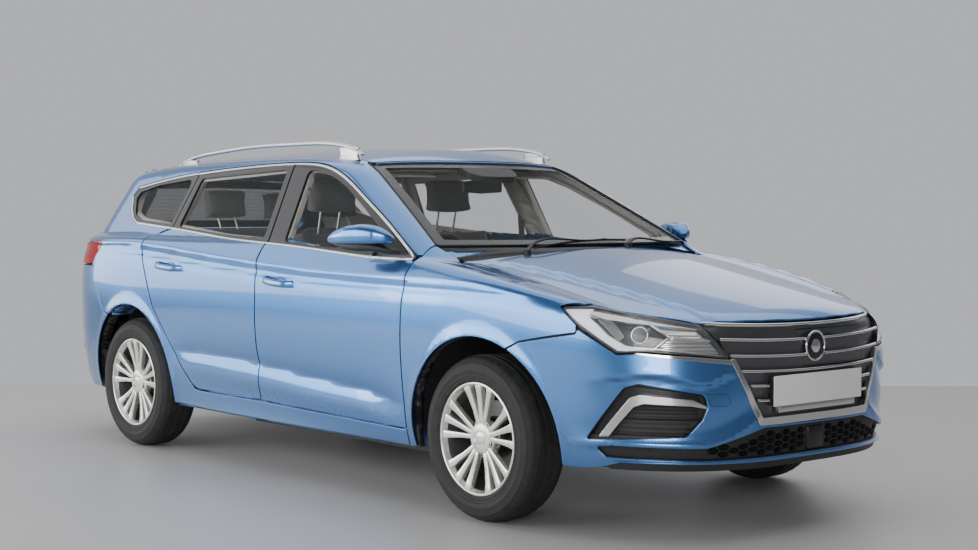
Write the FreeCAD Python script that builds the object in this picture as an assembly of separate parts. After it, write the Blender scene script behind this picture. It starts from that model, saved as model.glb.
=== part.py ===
import FreeCAD, Part
import math
import os

# A compact electric station wagon, in millimetres. +X points to the nose, +Y to the
# car's left, +Z up. The origin is on the ground under the middle of the car's length.

Vector = FreeCAD.Vector

# ---------------------------------------------------------------- driving dimensions
LENGTH = 4544.0
WIDTH = 1810.0
WHEELBASE = 2665.0
FRONT_AXLE_X = 1317.0
REAR_AXLE_X = FRONT_AXLE_X - WHEELBASE
AXLE_Z = 322.0
TRACK_HALF = 780.0
TYRE_RADIUS = 322.0
TYRE_WIDTH = 205.0
RIM_RADIUS = 218.5
KINGPIN_Y = 720.0
ARCH_RADIUS = 395.0
LINER_RADIUS = 402.0
LINER_THICKNESS = 6.0
ARCH_INNER_Y = 490.0
FRONT_LINER_Y = 440.0
STRUT_RADIUS = 46.0
FLOOR_CLEARANCE = 51.0

NOSE_X = LENGTH / 2
TAIL_X = -LENGTH / 2
SIDE_Y = WIDTH / 2
FAR = 3000.0

BELT_Z = 1035.0
CANT_Z = 1400.0
SHELL_TOP_Z = 1530.0
GREENHOUSE_FOOT_Z = 980.0
BODY_FOOT_Z = 240.0

SKIN = 10.0
SKIN_GAP = 7.0
DOOR_THICKNESS = 100.0
DOOR_FRAME_THICKNESS = 42.0
SIDE_FRAME_THICKNESS = 110.0
PILLAR_THICKNESS = 45.0
ROOF_THICKNESS = 30.0
HOOD_THICKNESS = 30.0
FENDER_THICKNESS = 30.0
BUMPER_THICKNESS = 45.0
TAILGATE_THICKNESS = 60.0
GLASS_DEPTH = 12.0
GLASS_THICKNESS = 4.0
SHUT_GAP = 6.0

# Lower body by height: z, half width, nose x, tail x.
LOWER_LEVELS = (
    (240.0, 845.0, 2235.0, -2200.0),
    (500.0, 884.0, NOSE_X, -2262.0),
    (700.0, SIDE_Y, 2262.0, TAIL_X),
    (930.0, 903.0, 2200.0, -2235.0),
    (BELT_Z, 850.0, 2150.0, -2185.0),
)

# Plan of the greenhouse, left half: name, x and y at the belt, x and y at the cant rail.
GREENHOUSE_PLAN = (
    ("screen centre", 1130.0, 0.0, 360.0, 0.0),
    ("screen end", 1000.0, 620.0, 270.0, 500.0),
    ("front corner", 925.0, 745.0, 205.0, 588.0),
    ("side front", 770.0, 808.0, 90.0, 630.0),
    ("side middle", -350.0, 838.0, -450.0, 655.0),
    ("side rear", -1400.0, 815.0, -1420.0, 620.0),
    ("rear corner", -1860.0, 715.0, -1745.0, 555.0),
    ("back end", -2050.0, 490.0, -1870.0, 410.0),
    ("back centre", -2115.0, 0.0, -1935.0, 0.0),
)

# Hood and deck height on the centre line: x, z. The surface falls away to each side.
HOOD_CROWN = (
    (-2400.0, 1130.0), (900.0, 1130.0), (1000.0, 1056.0), (1200.0, 1030.0),
    (1400.0, 996.0), (1600.0, 956.0), (1800.0, 914.0), (2000.0, 864.0),
    (2150.0, 824.0), (2230.0, 796.0), (2300.0, 760.0),
)
HOOD_CROWN_RADIUS = 3430.0

# Roof height on the centre line: x, z.
ROOF_CROWN = (
    (1300.0, 1330.0), (360.0, 1446.0), (0.0, 1486.0), (-400.0, 1496.0),
    (-1000.0, 1488.0), (-1500.0, 1462.0), (-1900.0, 1417.0), (-2400.0, 1350.0),
)
ROOF_CROWN_RADIUS = 2400.0

# Door skins as seen from the side: x, z, then how far the inner box and the body's
# aperture stand in from the edge that starts at this corner.
FRONT_DOOR = (
    (876.0, 315.0, 45.0, 30.0),
    (872.0, 620.0, 45.0, 30.0),
    (880.0, 800.0, 45.0, 30.0),
    (903.0, 940.0, 60.0, 45.0),
    (960.0, 998.0, 26.0, 12.0),
    (885.0, 1024.0, 26.0, 12.0),
    (606.0, 1165.0, 26.0, 12.0),
    (419.0, 1262.0, 26.0, 12.0),
    (249.0, 1343.0, 26.0, 12.0),
    (131.0, 1384.0, 26.0, 12.0),
    (-30.0, 1411.0, 26.0, 12.0),
    (-224.0, 1417.0, 100.0, 86.0),
    (-175.0, 1045.0, 100.0, 86.0),
    (-182.0, 600.0, 100.0, 86.0),
    (-175.0, 335.0, 40.0, 25.0),
)
REAR_DOOR = (
    (-183.0, 337.0, 50.0, 30.0),
    (-190.0, 600.0, 50.0, 30.0),
    (-183.0, 1045.0, 28.0, 14.0),
    (-232.0, 1417.0, 26.0, 12.0),
    (-1050.0, 1383.0, 26.0, 12.0),
    (-1100.0, 1104.0, 26.0, 12.0),
    (-1200.0, 1075.0, 26.0, 12.0),
    (-1222.0, 1000.0, 45.0, 30.0),
    (-1193.0, 923.0, 45.0, 30.0),
    (-1124.0, 767.0, 45.0, 30.0),
    (-1098.0, 719.0, 45.0, 30.0),
    (-748.0, 340.0, 40.0, 25.0),
)

# Window outlines as seen from the side: x, z.
FRONT_WINDOW = (
    (760.0, 1030.0), (600.0, 1125.0), (415.0, 1218.0), (240.0, 1300.0),
    (115.0, 1340.0), (-35.0, 1366.0), (-95.0, 1368.0), (-52.0, 1062.0),
    (250.0, 1034.0),
)
REAR_WINDOW = (
    (-216.0, 1066.0), (-263.0, 1370.0), (-1008.0, 1338.0), (-1050.0, 1118.0),
    (-600.0, 1080.0),
)
QUARTER_WINDOW = (
    (-1120.0, 1122.0), (-1080.0, 1348.0), (-1430.0, 1322.0), (-1625.0, 1288.0),
    (-1660.0, 1255.0), (-1590.0, 1180.0), (-1470.0, 1148.0),
)

DOOR_HINGE_BACK = 30.0
DOOR_HINGE_DEPTH = 12.0
FENDER_RELIEF = 38.0
PILLAR_RELIEF = 66.0
BELT_RELIEF = 84.0
BELT_RELIEF_Z = 1008.0
TIP_RELIEF = 125.0
TIP_RELIEF_Z = 925.0
RELIEF_TOP_Z = BELT_Z + 40.0
CORE_RELIEF = 68.0
CORE_RELIEF_TOP = 1005.0
BELT_CORE_RELIEF = 88.0
BELT_CORE_RELIEF_TOP = 1064.0
TIP_ROOM_X = (884.0, 1100.0)
TIP_ROOM_Y = 832.0
TIP_ROOM_Z = (925.0, 1060.0)
FRONT_HINGE_X = 872.0 - DOOR_HINGE_BACK
REAR_HINGE_X = -190.0 - DOOR_HINGE_BACK
HINGE_Y = SIDE_Y - 5.0 - DOOR_HINGE_DEPTH

# Openings seen from the front or the back, left half: y, z.
SCREEN_EDGE = ((735.0, 1035.0), (563.0, 1402.0), (300.0, 1424.0))
TAILGATE_EDGE = (
    (560.0, 612.0), (600.0, 700.0), (612.0, 900.0), (655.0, 1040.0), (520.0, 1392.0),
)
BACK_WINDOW_EDGE = ((520.0, 1085.0), (535.0, 1120.0), (440.0, 1350.0))
GRILLE_EDGE = ((300.0, 430.0), (412.0, 665.0), (492.0, 788.0))
INTAKE_EDGE = ((470.0, 306.0), (500.0, 345.0), (300.0, 414.0))
FOG_POCKET = (
    (800.0, 385.0), (765.0, 562.0), (733.0, 575.0), (520.0, 535.0), (512.0, 495.0),
    (535.0, 450.0), (580.0, 392.0),
)

# Panels seen from the side: x, z.
HEADLAMP_OUTLINE = (
    (1752.0, 851.0), (1867.0, 862.0), (2023.0, 838.0), (2141.0, 812.0), (2300.0, 770.0),
    (2300.0, 668.0), (2127.0, 676.0), (2011.0, 688.0), (1944.0, 686.0), (1899.0, 727.0),
    (1832.0, 781.0),
)
HEADLAMP_INNER = ((440.0, 660.0), (506.0, 800.0))
TAIL_LAMP_OUTLINE = (
    (-1724.0, 1030.0), (-1745.0, 1000.0), (-1805.0, 908.0), (-2400.0, 900.0),
    (-2400.0, 1012.0),
)
FENDER_OUTLINE = (
    (882.0, 300.0), (878.0, 620.0), (886.0, 800.0), (909.0, 940.0), (940.0, 975.0),
    (1060.0, 1060.0), (1600.0, 1000.0), (2060.0, 900.0), (2060.0, 760.0),
    (1838.0, 762.0), (1591.0, 716.0), (1500.0, 690.0), (1317.0, 560.0), (1050.0, 245.0),
    (890.0, 245.0),
)
BUMPER_SEAM = (
    (1500.0, 684.0), (1591.0, 710.0), (1838.0, 756.0), (2400.0, 756.0), (2400.0, 262.0),
    (1640.0, 262.0), (1500.0, 330.0),
)
REAR_BUMPER_SEAM = (
    (-1560.0, 640.0), (-1651.0, 669.0), (-1689.0, 721.0), (-1803.0, 903.0),
    (-2400.0, 895.0), (-2400.0, 255.0), (-1640.0, 255.0), (-1500.0, 330.0),
)
SIDE_FRAME_OUTLINE = (
    (874.0, 240.0), (870.0, 620.0), (880.0, 900.0), (940.0, 985.0), (1060.0, 1066.0),
    (900.0, 1300.0), (900.0, 1600.0), (-2100.0, 1600.0), (-2300.0, 1034.0),
    (-2300.0, 903.0), (-1800.0, 909.0), (-1685.5, 723.5), (-1647.5, 671.5),
    (-1560.0, 645.0), (-1348.0, 330.0), (-1080.0, 240.0),
)
ROOF_SEAM_Y = 545.0
ROOF_REAR_X = -1812.0

# Hood seen from above, left half: x, y.
HOOD_EDGE = (
    (1030.0, 712.0), (1080.0, 728.0), (1240.0, 734.0), (1450.0, 718.0), (1680.0, 694.0),
    (1860.0, 672.0), (2030.0, 625.0), (2118.0, 500.0), (2180.0, 300.0),
)
HOOD_REAR_X = 1225.0
HOOD_NOSE_X = 2212.0
HOOD_HINGE = (1000.0, 1042.0)
HOOD_LIFT = 6.0

TAILGATE_HINGE = (-1832.0, 1398.0)
TAILGATE_RELIEF = 48.0

TOW_EYE_Y = -462.0
TOW_EYE_Z = 522.0
TOW_EYE_RADIUS = 9.0
TOW_EYE_DOOR_HALF = 27.0

FLAP_Y = (-72.0, 330.0)
FLAP_Z = (606.0, 782.0)
FLAP_THICKNESS = 12.0
FLAP_HINGE = (2236.0, 322.0)

SEAT_Y = 360.0


# ---------------------------------------------------------------- plain solids
def box(x0, x1, y0, y1, z0, z1):
    """Return a box between two corners."""
    return Part.makeBox(x1 - x0, y1 - y0, z1 - z0, Vector(x0, y0, z0))


def rod(start, end, radius):
    """Return a round bar from one point to another."""
    axis = end.sub(start)
    return Part.makeCylinder(radius, axis.Length, start, axis)


def polygon(points):
    """Return a closed wire through 3-D points."""
    return Part.makePolygon(points + [points[0]])


def side_prism(outline, y0, y1):
    """Extrude an outline of x, z rows across the car."""
    points = [Vector(row[0], y0, row[1]) for row in outline]
    return Part.Face(polygon(points)).extrude(Vector(0, y1 - y0, 0))


def front_prism(outline, x0, x1):
    """Extrude an outline of y, z rows along the car."""
    points = [Vector(x0, row[0], row[1]) for row in outline]
    return Part.Face(polygon(points)).extrude(Vector(x1 - x0, 0, 0))


def plan_prism(outline, z0, z1):
    """Extrude an outline of x, y rows upwards."""
    points = [Vector(row[0], row[1], z0) for row in outline]
    return Part.Face(polygon(points)).extrude(Vector(0, 0, z1 - z0))


def both_halves(rows):
    """Close a left-half outline of y, z rows by its mirror image."""
    return [(y, z) for y, z in rows] + [(-y, z) for y, z in reversed(rows)]


def inset(outline, distances):
    """Move each edge of an outline inwards by its own distance."""
    count = len(outline)
    area = sum(
        outline[i][0] * outline[(i + 1) % count][1]
        - outline[(i + 1) % count][0] * outline[i][1]
        for i in range(count)
    )
    turn = 1.0 if area > 0 else -1.0
    lines = []
    for i in range(count):
        ax, az = outline[i][:2]
        bx, bz = outline[(i + 1) % count][:2]
        length = math.hypot(bx - ax, bz - az)
        nx = -(bz - az) / length * turn
        nz = (bx - ax) / length * turn
        lines.append((ax + nx * distances[i], az + nz * distances[i], bx - ax, bz - az))
    corners = []
    for i in range(count):
        ax, az, adx, adz = lines[i - 1]
        bx, bz, bdx, bdz = lines[i]
        cross = adx * bdz - adz * bdx
        along = ((bx - ax) * bdz - (bz - az) * bdx) / cross
        corners.append((ax + adx * along, az + adz * along))
    return corners


def grown(outline, distance):
    """Return an outline moved outwards all round."""
    return inset(outline, [-distance] * len(outline))


def mirrored(shape):
    """Return the shape's mirror image on the other side of the car."""
    return shape.mirror(Vector(0, 0, 0), Vector(0, 1, 0))


def pair(shape):
    """Return a left piece with its mirror image on the right."""
    return Part.makeCompound([shape, mirrored(shape)])


def biggest(shape):
    """Return the largest solid of a shape."""
    return max(shape.Solids, key=lambda solid: solid.Volume)


def revolve_across(profile, centre_x, centre_z, y0):
    """Turn a profile of radius, y rows about the line across the car at x, z."""
    points = [Vector(centre_x, y0 + y, centre_z + radius) for radius, y in profile]
    face = Part.Face(polygon(points))
    return face.revolve(Vector(centre_x, 0, centre_z), Vector(0, 1, 0), 360)


# ---------------------------------------------------------------- body surfaces
def arc_loop(stations, z):
    """Join nine half-plan stations and their mirror images by arcs at one height."""
    left = [Vector(x, y, z) for x, y in stations]
    right = [Vector(x, -y, z) for x, y in stations]
    edges = [Part.Arc(right[1], left[0], left[1]).toShape()]
    for start in (1, 3, 5):
        edges.append(Part.Arc(left[start], left[start + 1], left[start + 2]).toShape())
    edges.append(Part.Arc(left[7], left[8], right[7]).toShape())
    for start in (7, 5, 3):
        edges.append(Part.Arc(right[start], right[start - 1], right[start - 2]).toShape())
    return Part.Wire(edges)


def lower_stations(half_width, nose_x, tail_x):
    """Return the half plan of the lower body at one level."""
    return (
        (nose_x, 0.0), (nose_x - 14.0, 300.0), (nose_x - 200.0, half_width - 212.0),
        (nose_x - 600.0, half_width - 34.0), (0.0, half_width),
        (tail_x + 640.0, half_width - 28.0), (tail_x + 180.0, half_width - 165.0),
        (tail_x + 36.0, 500.0), (tail_x, 0.0),
    )


def lower_solid(depth):
    """Return the lower body moved inwards by a depth, open-ended below when inset."""
    levels = list(LOWER_LEVELS)
    if depth > 0:
        first = levels[0]
        last = levels[-1]
        levels[0] = (BODY_FOOT_Z - 60.0,) + first[1:]
        levels[-1] = (BELT_Z - min(depth, 35.0),) + last[1:]
    wires = [
        arc_loop(lower_stations(width - depth, nose - depth, tail + depth), z)
        for z, width, nose, tail in levels
    ]
    return Part.makeLoft(wires, True, True)


def greenhouse_solid(depth):
    """Return the cabin's upper part moved inwards by a depth."""
    wires = []
    for z in (GREENHOUSE_FOOT_Z - min(depth, 60.0), SHELL_TOP_Z):
        share = (z - BELT_Z) / (CANT_Z - BELT_Z)
        stations = []
        for name, belt_x, belt_y, cant_x, cant_y in GREENHOUSE_PLAN:
            x = belt_x + (cant_x - belt_x) * share
            y = belt_y + (cant_y - belt_y) * share
            x -= math.copysign(depth, x + 350.0) if abs(x + 350.0) > 900.0 - y else 0.0
            stations.append((x, max(y - depth, 0.0)))
        wires.append(arc_loop(stations, z))
    return Part.makeLoft(wires, True, True)


def crown_solid(rows, radius, drop):
    """Return all that lies under a crowned surface, lowered by a drop."""
    half = 1000.0
    fall = radius - math.sqrt(radius ** 2 - half ** 2)
    wires = []
    for x, z in rows:
        top = z - drop
        arc = Part.Arc(
            Vector(x, -half, top - fall), Vector(x, 0, top), Vector(x, half, top - fall)
        ).toShape()
        left = Part.makeLine(Vector(x, half, top - fall), Vector(x, half, -100))
        floor = Part.makeLine(Vector(x, half, -100), Vector(x, -half, -100))
        right = Part.makeLine(Vector(x, -half, -100), Vector(x, -half, top - fall))
        wires.append(Part.Wire([arc, left, floor, right]))
    return Part.makeLoft(wires, True, True)


SOLIDS = {}


def under_hood(drop):
    """Return what lies under the hood surface lowered by a drop."""
    key = ("hood", drop)
    if key not in SOLIDS:
        SOLIDS[key] = crown_solid(HOOD_CROWN, HOOD_CROWN_RADIUS, drop)
    return SOLIDS[key]


def under_roof(drop):
    """Return what lies under the roof surface lowered by a drop."""
    key = ("roof", drop)
    if key not in SOLIDS:
        SOLIDS[key] = crown_solid(ROOF_CROWN, ROOF_CROWN_RADIUS, drop)
    return SOLIDS[key]


def body(low_depth, high_depth, roof_drop):
    """Return the whole car body moved inwards by depths for its lower and upper part."""
    key = ("body", low_depth, high_depth, roof_drop)
    if key not in SOLIDS:
        low = lower_solid(low_depth).common(under_hood(low_depth))
        high = greenhouse_solid(high_depth).common(under_roof(roof_drop))
        SOLIDS[key] = low.fuse(high)
    return SOLIDS[key]


def shell(depths, cavity):
    """Return the body between its outer surface and an inner one."""
    return body(*depths).cut(body(*cavity))


OUTSIDE = (0.0, 0.0, 0.0)
UNDER_SKIN = (SKIN, SKIN, SKIN)
SKIN_CLEAR = (SKIN + SKIN_GAP, SKIN + SKIN_GAP, SKIN + SKIN_GAP)
DOOR_CAVITY = (DOOR_THICKNESS, DOOR_FRAME_THICKNESS, DOOR_FRAME_THICKNESS)
CABIN_CAVITY = (SIDE_FRAME_THICKNESS, PILLAR_THICKNESS, ROOF_THICKNESS)
SIDE_OUTER_Y = SIDE_Y + 100.0
SIDE_INNER_Y = 300.0
DOOR_INNER_Y = 572.0


# ---------------------------------------------------------------- doors
def door_box(outline):
    """Return the outline of a door's inner box."""
    return inset(outline, [row[2] for row in outline])


def door_aperture(outline):
    """Return the outline of the body's opening behind a door."""
    return inset(outline, [row[3] for row in outline])


def handle(front_x, rear_x, z):
    """Return a door's pull handle."""
    bar = box(rear_x, front_x, HINGE_Y + 22.0, HINGE_Y + 50.0, z - 14.0, z + 14.0)
    return bar.makeFillet(9.0, [e for e in bar.Edges if abs(e.Length - (front_x - rear_x)) < 1])


# Doors by name: skin outline, window, handle front x, rear x and height, hinge line's x.
DOOR_ROWS = (
    ("front", FRONT_DOOR, FRONT_WINDOW, (118.0, -93.0, 879.0), FRONT_HINGE_X),
    ("rear", REAR_DOOR, REAR_WINDOW, (-835.0, -1038.0, 919.0), REAR_HINGE_X),
)


def core_room(hinge_x):
    """Return the room that a left door's inner box leaves so that it can swing past its pillar."""
    return [
        hinge_cylinder(hinge_x, CORE_RELIEF, BODY_FOOT_Z, CORE_RELIEF_TOP),
        hinge_cylinder(hinge_x, BELT_CORE_RELIEF, CORE_RELIEF_TOP - SHUT_GAP, BELT_CORE_RELIEF_TOP),
    ]


def tip_room():
    """Return the room inside the front door's forward tip, where the pillar's foot stands."""
    return box(*TIP_ROOM_X, SIDE_INNER_Y, TIP_ROOM_Y, *TIP_ROOM_Z)


def left_door(outline, window, grip, hinge_x):
    """Return a left door: skin, inner box and handle, with its window cut."""
    half = side_prism(outline, DOOR_INNER_Y, SIDE_OUTER_Y)
    skin = body(*OUTSIDE).common(half).cut(body(*UNDER_SKIN))
    inner = side_prism(door_box(outline), DOOR_INNER_Y, SIDE_OUTER_Y)
    core = body(SKIN - 2.0, SKIN - 2.0, SKIN - 2.0).common(inner).cut(body(*DOOR_CAVITY))
    door = skin.fuse(core.cut(core_room(hinge_x)))
    door = door.cut([side_prism(window, SIDE_INNER_Y, SIDE_OUTER_Y), tip_room()])
    return biggest(door.fuse(handle(*grip)))


def left_glass(window):
    """Return a left side window's glass, filling its opening."""
    near = (GLASS_DEPTH, GLASS_DEPTH, GLASS_DEPTH)
    far_depth = GLASS_DEPTH + GLASS_THICKNESS
    pane = shell(near, (far_depth, far_depth, far_depth))
    return biggest(pane.common(side_prism(window, SIDE_INNER_Y, SIDE_OUTER_Y)))


def left_mirror():
    """Return the left door mirror: sail plate, arm and housing."""
    housing = plan_prism(
        ((640.0, 872.0), (735.0, 872.0), (742.0, 905.0), (700.0, 990.0), (640.0, 1008.0),
         (612.0, 1000.0), (604.0, 900.0)), 1022.0, 1142.0)
    housing = housing.makeFillet(16.0, housing.Edges)
    arm = box(655.0, 725.0, 824.0, 890.0, 1030.0, 1058.0)
    return housing.fuse(arm)


# ---------------------------------------------------------------- body side and panels
def wheel_cylinder(axle_x, radius, y0, y1):
    """Return a cylinder across the car about a wheel's axle line."""
    return Part.makeCylinder(radius, y1 - y0, Vector(axle_x, y0, AXLE_Z), Vector(0, 1, 0))


def hinge_cylinder(x, radius, z0, z1):
    """Return an upright cylinder about a left door's hinge line."""
    return Part.makeCylinder(radius, z1 - z0, Vector(x, HINGE_Y, z0))


def tip_relief():
    """Return the room that the front door's forward tip swings through."""
    return hinge_cylinder(FRONT_HINGE_X, TIP_RELIEF, TIP_RELIEF_Z, RELIEF_TOP_Z)


def hinge_reliefs():
    """Return the room that the doors' leading edges swing through."""
    return [
        hinge_cylinder(FRONT_HINGE_X, PILLAR_RELIEF, BODY_FOOT_Z, RELIEF_TOP_Z),
        hinge_cylinder(REAR_HINGE_X, PILLAR_RELIEF, BODY_FOOT_Z, RELIEF_TOP_Z),
        hinge_cylinder(REAR_HINGE_X, BELT_RELIEF, BELT_RELIEF_Z, RELIEF_TOP_Z),
        tip_relief(),
    ]


def screen_prism(shrink):
    """Return the windscreen's opening, as seen from the front."""
    rows = both_halves(SCREEN_EDGE)
    return front_prism(grown(rows, -shrink), 0.0, 1400.0)


def tailgate_prism(shrink):
    """Return the tailgate's opening, as seen from behind."""
    rows = both_halves(TAILGATE_EDGE)
    return front_prism(grown(rows, -shrink), -2600.0, -1500.0)


def left_side_frame():
    """Return the left body side: pillars, sill, roof rail and rear quarter."""
    half = side_prism(SIDE_FRAME_OUTLINE, SIDE_INNER_Y, SIDE_OUTER_Y)
    frame = shell(OUTSIDE, CABIN_CAVITY).common(half)
    beyond_skin = body(*SKIN_CLEAR)
    cutters = []
    for name, outline, window, grip, hinge_x in DOOR_ROWS:
        rebate = side_prism(grown(outline, SHUT_GAP), SIDE_INNER_Y, SIDE_OUTER_Y)
        cutters.append(rebate.cut(beyond_skin))
        cutters.append(side_prism(door_aperture(outline), SIDE_INNER_Y, SIDE_OUTER_Y))
    cutters.append(side_prism(QUARTER_WINDOW, SIDE_INNER_Y, SIDE_OUTER_Y))
    cutters.append(wheel_cylinder(REAR_AXLE_X, ARCH_RADIUS, SIDE_INNER_Y, SIDE_OUTER_Y))
    cutters.append(screen_prism(-2.0))
    cutters.append(tailgate_prism(-SHUT_GAP))
    cutters.append(box(-2400.0, 1200.0, 0.0, ROOF_SEAM_Y + 2.0, CANT_Z - 30.0, 1600.0))
    cutters.append(side_prism(TAIL_LAMP_OUTLINE, 560.0, SIDE_OUTER_Y))
    cutters.extend(hinge_reliefs())
    return biggest(frame.cut(cutters))


def roof_panel():
    """Return the roof skin between the side rails."""
    panel = shell(OUTSIDE, CABIN_CAVITY)
    panel = panel.common(box(ROOF_REAR_X, 500.0, -ROOF_SEAM_Y, ROOF_SEAM_Y, CANT_Z - 25.0, 1600.0))
    panel = panel.cut(screen_prism(-2.0))
    relief = Part.makeCylinder(
        TAILGATE_RELIEF, 1400.0, Vector(TAILGATE_HINGE[0], -700.0, TAILGATE_HINGE[1]), Vector(0, 1, 0))
    return biggest(panel.cut(relief))


def hood_outline(gap):
    """Return the hood's plan as a face edge list, moved outwards by a gap."""
    left = [Vector(x, y + gap, 0) for x, y in HOOD_EDGE]
    right = [Vector(x, -y - gap, 0) for x, y in HOOD_EDGE]
    nose = Part.Arc(left[-1].add(Vector(gap, 0, 0)), Vector(HOOD_NOSE_X + gap, 0, 0),
                    right[-1].add(Vector(gap, 0, 0))).toShape()
    rear = Part.Arc(right[0].sub(Vector(gap, 0, 0)), Vector(HOOD_REAR_X - gap, 0, 0),
                    left[0].sub(Vector(gap, 0, 0))).toShape()
    edges = [rear, Part.makeLine(left[0].sub(Vector(gap, 0, 0)), left[1])]
    for start in range(1, len(left) - 2):
        edges.append(Part.makeLine(left[start], left[start + 1]))
    edges.append(Part.makeLine(left[-2], left[-1].add(Vector(gap, 0, 0))))
    edges.append(nose)
    edges.append(Part.makeLine(right[-1].add(Vector(gap, 0, 0)), right[-2]))
    for start in range(len(right) - 2, 1, -1):
        edges.append(Part.makeLine(right[start], right[start - 1]))
    edges.append(Part.makeLine(right[1], right[0].sub(Vector(gap, 0, 0))))
    return Part.Wire(edges)


def hood_column(gap):
    """Return the hood's plan raised into a column."""
    column = Part.Face(hood_outline(gap)).extrude(Vector(0, 0, 600.0))
    column.translate(Vector(0, 0, 700.0))
    return column


def hood():
    """Return the hood."""
    solid = lower_solid(0.0).common(under_hood(0.0)).common(hood_column(0.0))
    solid = solid.cut(under_hood(HOOD_THICKNESS))
    return biggest(solid.cut(box(900.0, 2400.0, -800.0, 800.0, 600.0, 772.0)))


def left_fender():
    """Return the left front fender."""
    deep = (FENDER_THICKNESS, FENDER_THICKNESS, FENDER_THICKNESS)
    half = side_prism(FENDER_OUTLINE, SIDE_INNER_Y, SIDE_OUTER_Y)
    panel = lower_solid(0.0).common(under_hood(0.0)).common(half)
    panel = panel.cut([
        body(*deep), hood_column(SHUT_GAP), headlamp_prism(2.0),
        wheel_cylinder(FRONT_AXLE_X, ARCH_RADIUS, SIDE_INNER_Y, SIDE_OUTER_Y),
        greenhouse_solid(-3.0), tip_relief(),
        hinge_cylinder(FRONT_HINGE_X, FENDER_RELIEF, BODY_FOOT_Z, RELIEF_TOP_Z),
    ])
    return biggest(panel)


def headlamp_prism(gap):
    """Return the column that holds the left headlamp, seen from the side."""
    column = side_prism(grown(HEADLAMP_OUTLINE, gap), 380.0, SIDE_OUTER_Y)
    (y0, z0), (y1, z1) = HEADLAMP_INNER
    inner = front_prism(((200.0, 500.0), (y0 - gap, 500.0), (y0 - gap, z0), (y1 - gap, z1),
                         (y1 - gap, 1000.0), (200.0, 1000.0)), 1600.0, 2500.0)
    return column.cut(inner)


def left_headlamp():
    """Return the left headlamp unit."""
    deep = (60.0, 60.0, 60.0)
    lamp = lower_solid(0.0).common(under_hood(0.0)).common(headlamp_prism(0.0))
    return biggest(lamp.cut([body(*deep), hood_column(SHUT_GAP)]))


def left_tail_lamp():
    """Return the left tail lamp on the rear quarter."""
    lamp = lower_solid(0.0).common(side_prism(grown(TAIL_LAMP_OUTLINE, -2.0), 500.0, SIDE_OUTER_Y))
    return biggest(lamp.cut([lower_solid(45.0), tailgate_prism(-SHUT_GAP)]))


def front_bumper():
    """Return the painted front bumper with its openings."""
    cover = lower_solid(0.0).common(side_prism(BUMPER_SEAM, -SIDE_OUTER_Y, SIDE_OUTER_Y))
    cutters = [lower_solid(BUMPER_THICKNESS), hood_column(SHUT_GAP)]
    cutters.append(front_prism(both_halves(GRILLE_EDGE), 1900.0, 2500.0))
    cutters.append(front_prism(both_halves(INTAKE_EDGE), 1900.0, 2500.0))
    cutters.append(box(1900.0, 2400.0, TOW_EYE_Y - TOW_EYE_DOOR_HALF, TOW_EYE_Y + TOW_EYE_DOOR_HALF,
                       TOW_EYE_Z - TOW_EYE_DOOR_HALF, TOW_EYE_Z + TOW_EYE_DOOR_HALF))
    for side in (1, -1):
        lamp = headlamp_prism(2.0)
        fog = front_prism(FOG_POCKET, 1700.0, 2500.0)
        arch = wheel_cylinder(FRONT_AXLE_X, ARCH_RADIUS, SIDE_INNER_Y, SIDE_OUTER_Y)
        for cutter in (lamp, fog, arch):
            cutters.append(cutter if side > 0 else mirrored(cutter))
    return biggest(cover.cut(cutters))


def rear_bumper():
    """Return the painted rear bumper."""
    cover = lower_solid(0.0).common(side_prism(REAR_BUMPER_SEAM, -SIDE_OUTER_Y, SIDE_OUTER_Y))
    cutters = [lower_solid(BUMPER_THICKNESS), tailgate_prism(-SHUT_GAP)]
    for side in (1, -1):
        arch = wheel_cylinder(REAR_AXLE_X, ARCH_RADIUS, SIDE_INNER_Y, SIDE_OUTER_Y)
        cutters.append(arch if side > 0 else mirrored(arch))
    return biggest(cover.cut(cutters))


def flap_block(gap):
    """Return the charge flap's place in the nose."""
    return box(2150.0, 2300.0, FLAP_Y[0] - gap, FLAP_Y[1] + gap, FLAP_Z[0] - gap, FLAP_Z[1] + gap)


def nose_slice(outer, inner, prism):
    """Return the nose between two depths inside a prism."""
    return lower_solid(outer).common(prism).cut(lower_solid(inner))


def charge_flap():
    """Return the charge flap, a piece of the grille panel."""
    flap = nose_slice(0.0, FLAP_THICKNESS, flap_block(0.0))
    return biggest(flap.cut(hood_column(SHUT_GAP)))


def grille():
    """Return the closed upper grille panel with the flap's recess."""
    prism = front_prism(grown(both_halves(GRILLE_EDGE), -2.0), 1900.0, 2500.0)
    panel = nose_slice(4.0, 40.0, prism)
    recess = flap_block(SHUT_GAP).cut(lower_solid(FLAP_THICKNESS + 14.0))
    socket = Part.makeCylinder(46.0, 200.0, Vector(2100.0, 110.0, 692.0), Vector(1, 0, 0))
    swing = Part.makeCylinder(24.0, 200.0, Vector(FLAP_HINGE[0], FLAP_HINGE[1], FLAP_Z[0] - 6.0))
    return biggest(panel.cut([recess, hood_column(SHUT_GAP), socket, swing]))


def charge_socket():
    """Return the charging inlet behind the flap."""
    inlet = Part.makeCylinder(44.0, 60.0, Vector(2170.0, 110.0, 692.0), Vector(1, 0, 0))
    # Contacts: y, z, radius.
    pins = ((-16.0, 12.0, 5.0), (0.0, 16.0, 5.0), (16.0, 12.0, 5.0), (-20.0, -6.0, 6.0),
            (20.0, -6.0, 6.0), (-9.0, -20.0, 4.0), (9.0, -20.0, 4.0))
    holes = [Part.makeCylinder(r, 30.0, Vector(2210.0, 110.0 + y, 692.0 + z), Vector(1, 0, 0))
             for y, z, r in pins]
    return inlet.cut(holes)


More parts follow.
